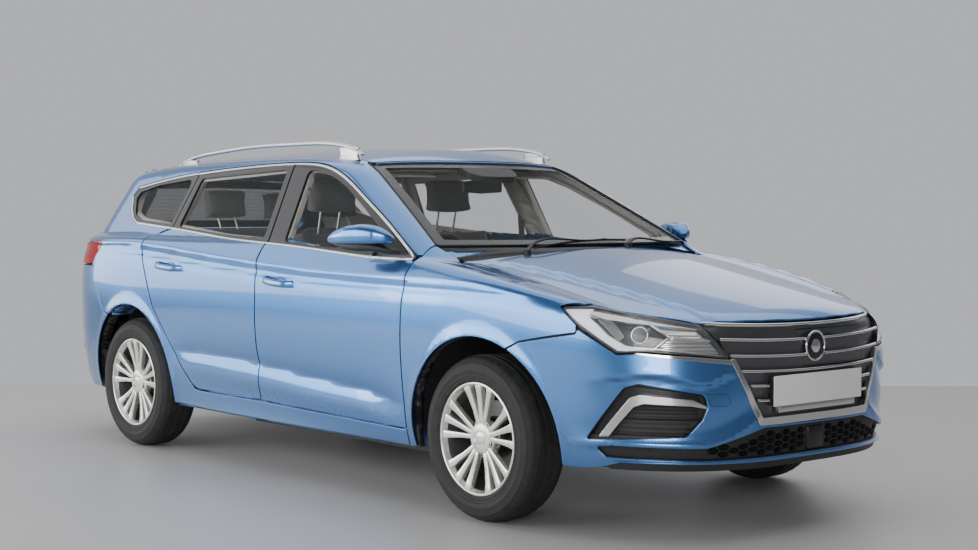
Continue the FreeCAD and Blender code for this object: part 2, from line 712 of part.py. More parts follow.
def lower_grille():
    """Return the intake mesh panel and the two fog pocket inserts."""
    mesh = nose_slice(22.0, 34.0, front_prism(grown(both_halves(INTAKE_EDGE), -2.0), 1900.0, 2500.0))
    insert = nose_slice(24.0, 38.0, front_prism(grown(FOG_POCKET, -2.0), 1700.0, 2500.0))
    return Part.makeCompound([biggest(mesh), biggest(insert), mirrored(biggest(insert))])


def tailgate():
    """Return the tailgate with its spoiler and window opening."""
    deep = (TAILGATE_THICKNESS, TAILGATE_THICKNESS, TAILGATE_THICKNESS)
    shape = shell(OUTSIDE, deep).common(tailgate_prism(0.0))
    roof_part = shell(OUTSIDE, deep).common(
        box(-2400.0, ROOF_REAR_X - SHUT_GAP, -ROOF_SEAM_Y + 26.0, ROOF_SEAM_Y - 26.0, 1370.0, 1600.0))
    spoiler = side_prism(
        ((-1850.0, 1400.0), (-1850.0, 1421.0), (-1920.0, 1414.0), (-1985.0, 1402.0),
         (-1988.0, 1392.0), (-1950.0, 1386.0), (-1900.0, 1362.0)), -500.0, 500.0)
    shape = shape.fuse([roof_part, spoiler])
    window = front_prism(both_halves(BACK_WINDOW_EDGE), -2600.0, -1500.0)
    rows = both_halves(((300.0, 908.0), (700.0, 908.0), (700.0, 1012.0), (300.0, 1012.0)))
    lamp_left = front_prism(rows[:4], -2600.0, -1900.0).cut(lower_solid(30.0))
    front_cut = box(ROOF_REAR_X - SHUT_GAP, 0.0, -800.0, 800.0, 300.0, 1700.0)
    return biggest(shape.cut([window, lamp_left, mirrored(lamp_left), front_cut]))


def back_glass():
    """Return the tailgate's window."""
    far_depth = 16.0
    pane = shell((GLASS_DEPTH,) * 3, (far_depth,) * 3)
    return biggest(pane.common(front_prism(both_halves(BACK_WINDOW_EDGE), -2600.0, -1700.0)))


def tailgate_lamps():
    """Return the inner tail lamps carried by the tailgate."""
    block = box(-2400.0, -1950.0, 302.0, 640.0, 910.0, 1010.0)
    lamp = nose_slice(0.0, 30.0, block).common(tailgate_prism(2.0))
    return pair(biggest(lamp))


def windscreen():
    """Return the windscreen."""
    pane = greenhouse_solid(1.0).common(under_roof(1.0))
    pane = pane.cut(greenhouse_solid(1.0 + GLASS_THICKNESS + 2.0))
    return biggest(pane.common(screen_prism(0.0)).common(box(100.0, 1300.0, -900.0, 900.0, 1036.0, 1600.0)))


def quarter_glass():
    """Return the fixed rear quarter windows."""
    return pair(left_glass(QUARTER_WINDOW))


def left_roof_rail():
    """Return one roof rail: a raised bar with turned-down ends."""
    # Side profile of the bar: x, z.
    top = ((180.0, 1428.0), (60.0, 1478.0), (-70.0, 1500.0), (-500.0, 1513.0), (-900.0, 1506.0),
           (-1250.0, 1470.0), (-1410.0, 1424.0))
    low = ((-1380.0, 1405.0), (-1230.0, 1440.0), (-900.0, 1480.0), (-500.0, 1490.0),
           (-70.0, 1476.0), (40.0, 1456.0), (150.0, 1408.0))
    bar = side_prism(top + low, 548.0, 578.0)
    feet = [box(x - 60.0, x + 60.0, 552.0, 574.0, 1395.0, z) for x, z in
            ((90.0, 1450.0), (-620.0, 1492.0), (-1300.0, 1440.0))]
    return bar.fuse(feet).cut(body(*OUTSIDE))


def cowl():
    """Return the cowl panel between the hood and the windscreen."""
    strip = lower_solid(0.0).common(under_hood(14.0)).cut(under_hood(40.0))
    strip = strip.common(box(900.0, 1300.0, -690.0, 690.0, 900.0, 1200.0))
    strip = strip.cut([hood_column(SHUT_GAP + 2.0), greenhouse_solid(8.0)])
    return biggest(strip)


def wipers():
    """Return the two windscreen wipers, parked."""
    # Each wiper: pivot x, y, z and tip x, y, z.
    rows = (((1120.0, -430.0, 1062.0), (1085.0, 180.0, 1096.0)),
            ((1152.0, 130.0, 1062.0), (1020.0, 610.0, 1078.0)))
    arms = []
    for start, end in rows:
        first, last = Vector(*start), Vector(*end)
        arm = rod(first, last, 7.0)
        arms.append(arm.fuse(Part.makeCylinder(13.0, 30.0, first.sub(Vector(0, 0, 22.0)))))
    return Part.makeCompound(arms)


# ---------------------------------------------------------------- floor and running gear
def floor_pan():
    """Return the floor, firewall and rear crossmember as one welded body."""
    # Side profile of the sheet's upper face: x, z.
    top = ((1075.0, 950.0), (1030.0, 520.0), (840.0, 300.0), (-720.0, 300.0), (-860.0, 430.0),
           (-1000.0, 590.0), (-2095.0, 590.0), (-2095.0, 612.0), (-2150.0, 612.0))
    low = ((-2150.0, 300.0), (-2120.0, 300.0), (-2120.0, 560.0), (-985.0, 560.0),
           (-840.0, 405.0), (-705.0, 270.0), (855.0, 270.0), (1058.0, 505.0), (1105.0, 950.0))
    sheet = side_prism(top + low, -735.0, 735.0)
    sheet = sheet.common(lower_solid(FLOOR_CLEARANCE)).common(under_hood(FLOOR_CLEARANCE))
    cutters = []
    for axle, inner_y in ((FRONT_AXLE_X, FRONT_LINER_Y), (REAR_AXLE_X, ARCH_INNER_Y)):
        for y0, y1 in ((inner_y - 10.0, 1000.0), (-1000.0, 10.0 - inner_y)):
            cutters.append(wheel_cylinder(axle, LINER_RADIUS + LINER_THICKNESS + 4.0, y0, y1))
    return biggest(sheet.cut(cutters))


def wheel_liners():
    """Return the four wheelhouse liners."""
    # Each liner: axle x, inner y and how far it keeps inside the body's surface.
    rows = ((FRONT_AXLE_X, FRONT_LINER_Y, BUMPER_THICKNESS + 4.0),
            (REAR_AXLE_X, ARCH_INNER_Y, SIDE_FRAME_THICKNESS + 4.0))
    liners = []
    for axle, y0, depth in rows:
        outer = wheel_cylinder(axle, LINER_RADIUS + LINER_THICKNESS, y0, SIDE_Y)
        ring = outer.cut(wheel_cylinder(axle, LINER_RADIUS, y0, SIDE_Y))
        ring = ring.cut(box(axle - 500.0, axle + 500.0, 0.0, 1000.0, -200.0, 300.0))
        ring = ring.cut(left_strut(STRUT_RADIUS + 5.0))
        liners.append(biggest(ring.common(lower_solid(depth))))
    return Part.makeCompound(liners + [mirrored(liner) for liner in liners])


def left_strut(radius):
    """Return the left front strut's cylinder."""
    return rod(Vector(FRONT_AXLE_X, 575.0, 440.0), Vector(FRONT_AXLE_X - 10.0, 562.0, 800.0), radius)


def front_suspension():
    """Return the front subframe with its arms, struts and rails."""
    cross = box(1180.0, 1500.0, -340.0, 340.0, 205.0, 245.0)
    rails = [box(1080.0, 2060.0, y, y + 70.0, 470.0, 570.0) for y in (350.0, -420.0)]
    beam = box(2060.0, 2120.0, -485.0, 485.0, 455.0, 585.0)
    eye_start = Vector(2000.0, TOW_EYE_Y, TOW_EYE_Z)
    eye_end = Vector(2200.0, TOW_EYE_Y, TOW_EYE_Z)
    beam = beam.cut(rod(eye_start, eye_end, TOW_EYE_RADIUS))
    posts = [box(1440.0, 1500.0, y, y + 50.0, 240.0, 480.0) for y in (352.0, -402.0)]
    links = [box(1440.0, 1500.0, y, y + 110.0, 205.0, 245.0) for y in (300.0, -410.0)]
    solids = rails + [beam] + posts + links
    for side in (1.0, -1.0):
        solids.append(rod(Vector(FRONT_AXLE_X, side * 330.0, 214.0),
                          Vector(FRONT_AXLE_X, side * 690.0, 204.0), 14.0))
        strut = left_strut(STRUT_RADIUS)
        solids.append(strut if side > 0 else mirrored(strut))
        solids.append(box(FRONT_AXLE_X - 70.0, FRONT_AXLE_X + 50.0, min(side * 360.0, side * 620.0),
                          max(side * 360.0, side * 620.0), 770.0, 800.0))
        solids.append(box(FRONT_AXLE_X - 70.0, FRONT_AXLE_X + 50.0, min(side * 360.0, side * 400.0),
                          max(side * 360.0, side * 400.0), 560.0, 780.0))
    return cross.fuse(solids)


def rear_axle():
    """Return the rear axle: cross beam, trailing arms, springs, dampers and hubs."""
    beam = rod(Vector(-1240.0, -600.0, 300.0), Vector(-1240.0, 600.0, 300.0), 42.0)
    solids = []
    for side in (1.0, -1.0):
        arm_start = Vector(-930.0, side * 540.0, 236.0)
        arm_end = Vector(REAR_AXLE_X, side * 600.0, 318.0)
        solids.append(rod(arm_start, arm_end, 26.0))
        stub_start = Vector(REAR_AXLE_X, side * 590.0, AXLE_Z)
        stub_end = Vector(REAR_AXLE_X, side * 715.0, AXLE_Z)
        solids.append(rod(stub_start, stub_end, 48.0))
        solids.append(rod(Vector(-1250.0, side * 430.0, 300.0), Vector(-1250.0, side * 430.0, 555.0), 55.0))
        solids.append(rod(Vector(-1390.0, side * 560.0, 300.0), Vector(-1420.0, side * 545.0, 555.0), 24.0))
    return beam.fuse(solids)


def drive_unit():
    """Return the drive unit with its two half shafts."""
    case = box(1150.0, 1640.0, -330.0, 330.0, 262.0, 620.0)
    case = case.makeFillet(30.0, case.Edges)
    shafts = []
    for side in (1.0, -1.0):
        shafts.append(rod(Vector(FRONT_AXLE_X, side * 320.0, AXLE_Z),
                          Vector(FRONT_AXLE_X, side * 640.0, AXLE_Z), 14.0))
        shafts.append(rod(Vector(FRONT_AXLE_X, side * 560.0, AXLE_Z),
                          Vector(FRONT_AXLE_X, side * 642.0, AXLE_Z), 38.0))
    return case.fuse(shafts)


def battery_pack():
    """Return the traction battery under the floor."""
    tray = box(-720.0, 800.0, -560.0, 560.0, 165.0, 268.0)
    return tray.makeFillet(20.0, [e for e in tray.Edges if abs(e.Length - 103.0) < 1.0])


def left_knuckle():
    """Return the left steering knuckle with its brake caliper."""
    plate = box(FRONT_AXLE_X - 34.0, FRONT_AXLE_X + 34.0, 694.0, 716.0, 226.0, 424.0)
    hub = rod(Vector(FRONT_AXLE_X, 690.0, AXLE_Z), Vector(FRONT_AXLE_X, 722.0, AXLE_Z), 56.0)
    arm = box(FRONT_AXLE_X - 26.0, FRONT_AXLE_X + 26.0, 545.0, 710.0, 388.0, 426.0)
    caliper = box(FRONT_AXLE_X - 160.0, FRONT_AXLE_X - 60.0, 694.0, 722.0, 280.0, 366.0)
    link = box(FRONT_AXLE_X - 70.0, FRONT_AXLE_X, 696.0, 716.0, 300.0, 344.0)
    return plate.fuse([hub, arm, caliper, link])


# ---------------------------------------------------------------- wheels
# Tyre section: radius, y from the wheel's middle.
TYRE_PROFILE = (
    (216.0, -84.0), (222.0, -90.0), (250.0, -100.0), (272.0, -102.5), (296.0, -98.0),
    (314.0, -82.0), (TYRE_RADIUS, -56.0), (TYRE_RADIUS, 56.0), (314.0, 82.0),
    (296.0, 98.0), (272.0, 102.5), (250.0, 100.0), (222.0, 90.0), (216.0, 84.0),
)
# Rim barrel section: radius, y from the wheel's middle.
BARREL_PROFILE = (
    (RIM_RADIUS, -92.0), (RIM_RADIUS, -88.0), (215.9, -84.0), (215.9, 84.0), (RIM_RADIUS, 88.0),
    (RIM_RADIUS + 1.0, 93.0), (210.0, 94.0), (196.0, 74.0), (192.0, -20.0), (206.0, -88.0),
)
HUB_PROFILE = ((0.0, 48.0), (0.0, 76.0), (30.0, 76.0), (70.0, 66.0), (78.0, 56.0), (78.0, 44.0))
DISC_PROFILE = (
    (0.0, -52.0), (0.0, 50.0), (74.0, 50.0), (74.0, -36.0), (142.0, -36.0), (142.0, -52.0),
)
SPOKE_GROUPS = 5
SPOKES_IN_GROUP = 3
SPOKE_SPREAD = 19.0


def tyre(axle_x):
    """Return a left tyre."""
    return revolve_across(TYRE_PROFILE, axle_x, AXLE_Z, TRACK_HALF)


def rim(axle_x):
    """Return a left rim with its spokes, hub and brake disc."""
    solid = revolve_across(BARREL_PROFILE, axle_x, AXLE_Z, TRACK_HALF)
    solids = [revolve_across(HUB_PROFILE, axle_x, AXLE_Z, TRACK_HALF),
              revolve_across(DISC_PROFILE, axle_x, AXLE_Z, TRACK_HALF)]
    for group in range(SPOKE_GROUPS):
        for place in range(SPOKES_IN_GROUP):
            angle = group * 360.0 / SPOKE_GROUPS + (place - 1) * SPOKE_SPREAD
            spoke = side_prism(((-11.0, 50.0), (11.0, 50.0), (8.0, 208.0), (-8.0, 208.0)),
                               TRACK_HALF + 46.0, TRACK_HALF + 72.0)
            spoke.rotate(Vector(0, 0, 0), Vector(0, 1, 0), angle)
            spoke.translate(Vector(axle_x, 0, AXLE_Z))
            solids.append(spoke)
    return solid.fuse(solids)


# ---------------------------------------------------------------- cabin
def seat_solids(x, y, half_width):
    """Return one front seat: base, cushion, back and headrest."""
    base = box(x - 250.0, x + 210.0, y - half_width + 40.0, y + half_width - 40.0, 302.0, 390.0)
    cushion = box(x - 260.0, x + 270.0, y - half_width, y + half_width, 385.0, 520.0)
    cushion = cushion.makeFillet(40.0, cushion.Edges)
    back = side_prism(((x - 300.0, 470.0), (x - 165.0, 470.0), (x - 265.0, 1090.0), (x - 375.0, 1090.0)),
                      y - half_width + 10.0, y + half_width - 10.0)
    back = back.makeFillet(35.0, back.Edges)
    posts = []
    for offset in (-65.0, 65.0):
        foot = Vector(x - 325.0, y + offset, 1060.0)
        head = Vector(x - 345.0, y + offset, 1200.0)
        posts.append(rod(foot, head, 7.0))
    head = box(x - 395.0, x - 305.0, y - 140.0, y + 140.0, 1175.0, 1350.0)
    head = head.makeFillet(38.0, head.Edges)
    return base.fuse([cushion, back, head] + posts)


def front_seats():
    """Return the two front seats."""
    return pair(seat_solids(10.0, SEAT_Y, 255.0))


def rear_bench():
    """Return the rear bench with its three headrests."""
    cushion = box(-1110.0, -620.0, -640.0, 640.0, 440.0, 560.0)
    # Side profile of the room that the floor's kick-up takes: x, z.
    kick_up = ((-1300.0, 200.0), (-1300.0, 600.0), (-1004.0, 600.0), (-864.0, 440.0), (-720.0, 200.0))
    back = side_prism(((-1140.0, 604.0), (-1000.0, 604.0), (-946.0, 544.0), (-922.0, 560.0),
                       (-1165.0, 1120.0), (-1290.0, 1120.0)), -600.0, 600.0)
    solids = [back]
    for y in (-SEAT_Y, 0.0, SEAT_Y):
        head = box(-1345.0, -1245.0, y - 130.0, y + 130.0, 1150.0, 1300.0)
        solids.append(head.makeFillet(34.0, head.Edges))
        for offset in (-60.0, 60.0):
            solids.append(rod(Vector(-1240.0, y + offset, 1100.0), Vector(-1280.0, y + offset, 1180.0), 7.0))
    cutters = [side_prism(kick_up, -700.0, 700.0)]
    for y0, y1 in ((ARCH_INNER_Y - 10.0, 1000.0), (-1000.0, 10.0 - ARCH_INNER_Y)):
        cutters.append(wheel_cylinder(REAR_AXLE_X, LINER_RADIUS + LINER_THICKNESS + 8.0, y0, y1))
    return biggest(cushion.fuse(solids).cut(cutters))


def dashboard():
    """Return the dashboard with the centre console and the steering column."""
    block = side_prism(((985.0, 930.0), (900.0, 990.0), (640.0, 1000.0), (500.0, 935.0), (490.0, 800.0),
                        (560.0, 600.0), (640.0, 560.0), (985.0, 640.0)), -700.0, 700.0)
    console = box(-230.0, 640.0, -95.0, 95.0, 302.0, 560.0)
    column = rod(Vector(560.0, -SEAT_Y, 855.0), Vector(447.0, -SEAT_Y, 917.0), 32.0)
    return block.fuse([console, column])


STEER_CENTRE = (420.0, -SEAT_Y, 932.0)
STEER_AXIS = (-0.8767, 0.0, 0.4810)


def steering_wheel():
    """Return the steering wheel."""
    centre = Vector(*STEER_CENTRE)
    axis = Vector(*STEER_AXIS)
    ring = Part.makeTorus(175.0, 15.0, centre, axis)
    hub = Part.makeCylinder(58.0, 44.0, centre.sub(axis * 22.0), axis)
    across = Vector(0, 1, 0)
    down = axis.cross(across)
    solids = [hub]
    for direction in (across, across * -1, down if down.z < 0 else down * -1):
        solids.append(rod(centre.add(direction * 40.0), centre.add(direction * 172.0), 10.0))
    return ring.fuse(solids)


# ---------------------------------------------------------------- export
def build():
    """Return every node's shape by name."""
    nodes = {
        "floor_pan": floor_pan(),
        "roof_panel": roof_panel(),
        "fenders": pair(left_fender()),
        "front_bumper": front_bumper(),
        "rear_bumper": rear_bumper(),
        "grille": grille(),
        "charge_socket": charge_socket(),
        "charge_flap": charge_flap(),
        "lower_grille": lower_grille(),
        "headlamps": pair(left_headlamp()),
        "tail_lamps": pair(left_tail_lamp()),
        "windscreen": windscreen(),
        "quarter_glass": quarter_glass(),
        "roof_rails": pair(left_roof_rail()),
        "cowl": cowl(),
        "wipers": wipers(),
        "wheel_liners": wheel_liners(),
        "front_suspension": front_suspension(),
        "rear_axle": rear_axle(),
        "drive_unit": drive_unit(),
        "battery_pack": battery_pack(),
        "front_seats": front_seats(),
        "rear_bench": rear_bench(),
        "dashboard": dashboard(),
        "steering_wheel": steering_wheel(),
        "hood": hood(),
        "tailgate": tailgate(),
        "tailgate_glass": back_glass(),
        "tailgate_lamps": tailgate_lamps(),
    }
    left_pieces = {"side_frame": left_side_frame(), "knuckle": left_knuckle(), "door_mirror": left_mirror()}
    for name, outline, window, grip, hinge_x in DOOR_ROWS:
        left_pieces[name + "_door"] = left_door(outline, window, grip, hinge_x)
        left_pieces[name + "_door_glass"] = left_glass(window)
    for name, axle_x in (("front", FRONT_AXLE_X), ("rear", REAR_AXLE_X)):
        left_pieces[name + "_tyre"] = tyre(axle_x)
        left_pieces[name + "_rim"] = rim(axle_x)
    for name, shape in left_pieces.items():
        nodes[name + "_left"] = shape
        nodes[name + "_right"] = mirrored(shape)
    return nodes


def main():
    """Write one STEP file per node."""
    os.makedirs("parts", exist_ok=True)
    for name, shape in build().items():
        shape.exportStep("parts/" + name + ".step")


if __name__ == "__main__":
    main()
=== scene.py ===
"""Looks of the electric station wagon: sheet metal, glass, lamps, wheels and cabin on the CAD frame."""

import logging
import math
from dataclasses import dataclass, field
from enum import Enum
from typing import Callable, Iterable, Sequence

import bpy
import numpy as np
from mathutils import Matrix, Vector
from mathutils.geometry import delaunay_2d_cdt


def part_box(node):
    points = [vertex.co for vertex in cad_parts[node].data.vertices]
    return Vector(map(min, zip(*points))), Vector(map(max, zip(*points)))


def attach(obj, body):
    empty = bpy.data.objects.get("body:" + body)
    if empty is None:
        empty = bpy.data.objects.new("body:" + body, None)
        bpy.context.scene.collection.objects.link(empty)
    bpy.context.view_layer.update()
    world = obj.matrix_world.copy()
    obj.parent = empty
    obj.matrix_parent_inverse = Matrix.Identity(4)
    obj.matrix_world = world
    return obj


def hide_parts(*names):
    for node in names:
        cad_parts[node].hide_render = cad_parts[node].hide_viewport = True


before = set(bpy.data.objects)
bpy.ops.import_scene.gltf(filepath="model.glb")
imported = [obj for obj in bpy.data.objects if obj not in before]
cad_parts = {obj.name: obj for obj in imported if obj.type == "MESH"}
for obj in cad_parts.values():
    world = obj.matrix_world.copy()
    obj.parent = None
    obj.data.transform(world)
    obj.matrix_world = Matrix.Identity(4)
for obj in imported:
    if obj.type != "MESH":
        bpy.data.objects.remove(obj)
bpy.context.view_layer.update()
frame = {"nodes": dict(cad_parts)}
LOG = logging.getLogger("wagon")
Outline = list[tuple[float, float]]
Array = np.ndarray

SIDES = ((1.0, "left"), (-1.0, "right"))
FRONT_AXLE_X = sum(corner[0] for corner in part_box("front_tyre_left")) / 2
REAR_AXLE_X = sum(corner[0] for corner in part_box("rear_tyre_left")) / 2
AXLE_Z = sum(corner[2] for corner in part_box("front_tyre_left")) / 2
TRACK_HALF = sum(corner[1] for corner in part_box("front_tyre_left")) / 2
TYRE_RADIUS = (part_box("front_tyre_left")[1][2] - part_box("front_tyre_left")[0][2]) / 2
ARCH_RADIUS = 0.395


class Chart(Enum):
    """The direction in which a flat outline is laid on the body."""

    SIDE = "side"
    TOP = "top"
    NOSE = "nose"
    TAIL = "tail"
    FRONT = "front"
    BACK = "back"
    SHOULDER = "shoulder"


# ------------------------------------------------------------------ body surface
@dataclass
class Curve:
    """A smooth curve through a few rows of position and value.

    Args:
        rows: Positions in rising order, each with its value.
    """

    rows: Sequence[tuple[float, float]]
    at: Array = field(init=False)
    value: Array = field(init=False)
    bend: Array = field(init=False)

    def __post_init__(self) -> None:
        """Solve the natural cubic spline once."""
        table = np.array(sorted(self.rows), dtype=float)
        self.at, self.value = table[:, 0], table[:, 1]
        count = len(self.at)
        step = np.diff(self.at)
        matrix = np.eye(count)
        right = np.zeros(count)
        for i in range(1, count - 1):
            matrix[i, i - 1:i + 2] = step[i - 1], 2 * (step[i - 1] + step[i]), step[i]
            right[i] = 6 * ((self.value[i + 1] - self.value[i]) / step[i]
                            - (self.value[i] - self.value[i - 1]) / step[i - 1])
        self.bend = np.linalg.solve(matrix, right)

    def __call__(self, where: Array | float) -> Array:
        """Return the curve's value at each position, held straight past its ends."""
        where = np.asarray(where, dtype=float)
        inside = np.clip(where, self.at[0], self.at[-1])
        i = np.clip(np.searchsorted(self.at, inside) - 1, 0, len(self.at) - 2)
        step = self.at[i + 1] - self.at[i]
        a = (self.at[i + 1] - inside) / step
        b = 1 - a
        smooth = ((a ** 3 - a) * self.bend[i] + (b ** 3 - b) * self.bend[i + 1]) * step ** 2 / 6
        return a * self.value[i] + b * self.value[i + 1] + smooth


def blend_max(a: Array, b: Array, reach: float) -> Array:
    """Return the larger of two fields with the edge between them rounded."""
    near = np.maximum(reach - np.abs(a - b), 0.0) / reach
    return np.maximum(a, b) + near * near * reach / 4


def blend_min(a: Array, b: Array, reach: float) -> Array:
    """Return the smaller of two fields with the corner between them filled."""
    return -blend_max(-a, -b, reach)


def step_up(value: Array, start: float, end: float) -> Array:
    """Return 0 before start, 1 after end and a smooth rise between."""
    share = np.clip((value - start) / (end - start), 0.0, 1.0)
    return share * share * (3 - 2 * share)


@dataclass
class BodyForm:
    """The car's outer surface as one smooth field, negative inside.

    Its tables hold sections of the body: position along the car or height, then value.
    """

    front_plan_x: float = 0.90
    rear_plan_x: float = -0.90
    front_power: float = 3.2
    rear_power: float = 4.7
    side_y: float = 0.9045
    belt_z: float = 1.035
    nose: Curve = field(default_factory=lambda: Curve((
        (0.18, 2.190), (0.24, 2.232), (0.30, 2.257), (0.43, 2.264), (0.55, 2.262),
        (0.70, 2.250), (0.79, 2.226), (0.88, 2.17), (1.05, 2.02))))
    tail: Curve = field(default_factory=lambda: Curve((
        (0.18, 2.150), (0.26, 2.215), (0.40, 2.255), (0.58, 2.268), (0.66, 2.262),
        (0.80, 2.262), (0.95, 2.236), (1.10, 2.150))))
    side_profile: Curve = field(default_factory=lambda: Curve((
        (0.18, -0.082), (0.24, -0.056), (0.30, -0.040), (0.38, -0.026), (0.48, -0.015),
        (0.60, -0.006), (0.72, 0.0), (0.82, -0.0015), (0.92, -0.005), (1.02, -0.010))))
    shoulder: Curve = field(default_factory=lambda: Curve((
        (-2.10, 1.012), (-1.61, 1.026), (-1.17, 1.016), (-0.72, 0.986), (-0.19, 0.955),
        (0.16, 0.938), (0.55, 0.927), (0.90, 0.922), (1.36, 0.914), (1.75, 0.880),
        (2.20, 0.80))))
    lower_crease: Curve = field(default_factory=lambda: Curve((
        (-1.00, 0.500), (-0.86, 0.512), (-0.70, 0.521), (-0.47, 0.513), (-0.16, 0.500),
        (0.12, 0.480), (0.45, 0.460), (0.65, 0.446), (0.87, 0.410), (1.00, 0.395))))
    brow: Curve = field(default_factory=lambda: Curve((
        (0.38, 0.612), (0.454, 0.600), (0.527, 0.572), (0.600, 0.588), (0.700, 0.600), (0.80, 0.57))))
    ledge: Curve = field(default_factory=lambda: Curve((
        (0.28, 0.470), (0.346, 0.437), (0.430, 0.392), (0.520, 0.360), (0.60, 0.356), (0.90, 0.352))))
    hood_line: Curve = field(default_factory=lambda: Curve((
        (0.60, 1.075), (1.00, 1.056), (1.20, 1.030), (1.40, 0.996), (1.60, 0.957),
        (1.80, 0.915), (2.00, 0.868), (2.15, 0.824), (2.23, 0.790), (2.30, 0.740))))
    roof_line: Curve = field(default_factory=lambda: Curve((
        (0.60, 1.392), (0.36, 1.446), (0.0, 1.4835), (-0.40, 1.4945), (-1.00, 1.486),
        (-1.50, 1.468), (-1.90, 1.422), (-2.20, 1.370))))

    def side_offset(self, x: Array, z: Array) -> Array:
        """Return how far the body side stands from the widest line, creases included."""
        rise = z - self.shoulder(x)
        above = -0.60 * rise - 0.002
        side = blend_min(self.side_profile(z), above, 0.010)
        under = np.exp(-((rise + 0.030) / 0.026) ** 2) * 0.0060
        gap = z - self.lower_crease(x)
        strength = step_up(-x, -0.96, -0.60) * step_up(x, -1.02, -0.72)
        valley = np.exp(-np.sqrt(gap ** 2 + 0.004 ** 2) / 0.045)
        swell = np.exp(-((gap + 0.075) / 0.05) ** 2) * 0.006
        side = side - under - strength * (0.017 * valley - swell)
        return side - 0.009 * (np.maximum(x, -0.3 * x) / 1.3) ** 2

    def arch_flare(self, x: Array, z: Array) -> Array:
        """Return the raised lip round the wheel arches."""
        lip = np.zeros_like(x)
        for axle, height in ((FRONT_AXLE_X, 0.007), (REAR_AXLE_X, 0.008)):
            away = np.hypot(x - axle, z - AXLE_Z) - ARCH_RADIUS
            lip = lip + height * np.exp(-(np.maximum(away, 0.0) / 0.030) ** 2)
        return lip

    def bumper_folds(self, x: Array, y: Array, z: Array) -> Array:
        """Return how far the front bumper swells at the folds over and under its fog pockets."""
        reach = np.abs(y)
        ahead = step_up(x, 1.72, 1.90)
        over = z - self.brow(reach)
        brow = np.tanh(over / 0.007) * np.exp(-np.abs(over) / 0.060)
        brow = 0.0065 * brow * step_up(reach, 0.40, 0.50) * step_up(-reach, -0.80, -0.72)
        under = z - self.ledge(reach)
        ledge = np.exp(-(under / 0.016) ** 2) - 0.7 * np.exp(-((under - 0.055) / 0.040) ** 2)
        ledge = 0.0060 * ledge * step_up(reach, 0.30, 0.40)
        return ahead * (brow + ledge)

    def lower(self, x: Array, y: Array, z: Array) -> Array:
        """Return the field of the body below the windows."""
        half = self.side_y + self.side_offset(x, z) + self.arch_flare(x, z)
        front = self.nose(z) - self.front_plan_x
        rear = self.tail(z) + self.rear_plan_x
        ahead = np.maximum(x - self.front_plan_x, 0.0) / front
        behind = np.maximum(self.rear_plan_x - x, 0.0) / rear
        power = np.where(x > 0, self.front_power, self.rear_power)
        across = np.abs(y) / half
        ring = (ahead ** power + behind ** power + across ** power) ** (1 / power)
        side = (ring - 1) * 0.9 - self.bumper_folds(x, y, z)
        reach = np.abs(y)
        fall = np.where(reach < 0.66, y * y / (2 * 3.43), 0.0635 - 0.03 * (reach - 0.66))
        ridge = step_up(0.62 - 0.17 * (x - 1.05) / 1.1 - np.abs(y), -0.016, 0.016)
        swell = 0.009 * ridge * step_up(x, 1.02, 1.25)
        top = np.where(x > 0.62, z - (self.hood_line(x) - fall + swell), z - 1.062)
        return blend_max(side, top * 0.97, 0.045)

    def cabin(self, x: Array, y: Array, z: Array) -> Array:
        """Return the field of the windows, pillars and roof."""
        rise = np.maximum(z - self.belt_z, -0.05)
        bow = 0.030 * ((x + 0.35) / 1.1) ** 2
        side = (np.abs(y) - (0.840 - 0.50 * rise - bow)) * 0.89
        screen_x = 1.130 - rise * 2.109 - 0.345 * y * y + 0.10 * rise * (0.40 - rise)
        screen = (x - screen_x) * 0.428
        back_x = -2.115 + rise * 0.49 + 0.20 * y * y
        back = (back_x - x) * 0.90
        roof = z - (self.roof_line(x) - y * y / (2 * 2.90))
        walls = blend_max(blend_max(side, screen, 0.045), back, 0.16)
        return blend_max(walls, roof * 0.99, 0.040)

    def field(self, points: Array) -> Array:
        """Return the body's field at each point."""
        x, y, z = points[:, 0], points[:, 1], points[:, 2]
        return blend_min(self.lower(x, y, z), self.cabin(x, y, z), 0.012)

    def normals(self, points: Array) -> Array:
        """Return the outward unit normal at each point."""
        small = 0.0006
        slope = np.stack([
            self.field(points + step) - self.field(points - step) for step in np.eye(3) * small
        ], axis=1)
        return slope / np.linalg.norm(slope, axis=1, keepdims=True)

    def land(self, origins: Array, directions: Array, near: float, far: float) -> Array:
        """Return where rays from inside meet the surface.

        Args:
            origins: Where each ray starts.
            directions: Each ray's unit direction.
            near: A distance along the rays that is inside the body.
            far: A distance along the rays that is outside the body.

        Returns:
            The meeting points.
        """
        low = np.full(len(origins), near)
        high = np.full(len(origins), far)
        for _ in range(34):
            middle = (low + high) / 2
            outside = self.field(origins + directions * middle[:, None]) > 0
            high = np.where(outside, middle, high)
            low = np.where(outside, low, middle)
        return origins + directions * ((low + high) / 2)[:, None]


FORM = BodyForm()
NOSE_AXIS_X = 1.30
TAIL_AXIS_X = -1.30
NOSE_RADIUS = 0.95
SHOULDER_AXIS = (0.35, 0.70)
SHOULDER_RADIUS = 0.50


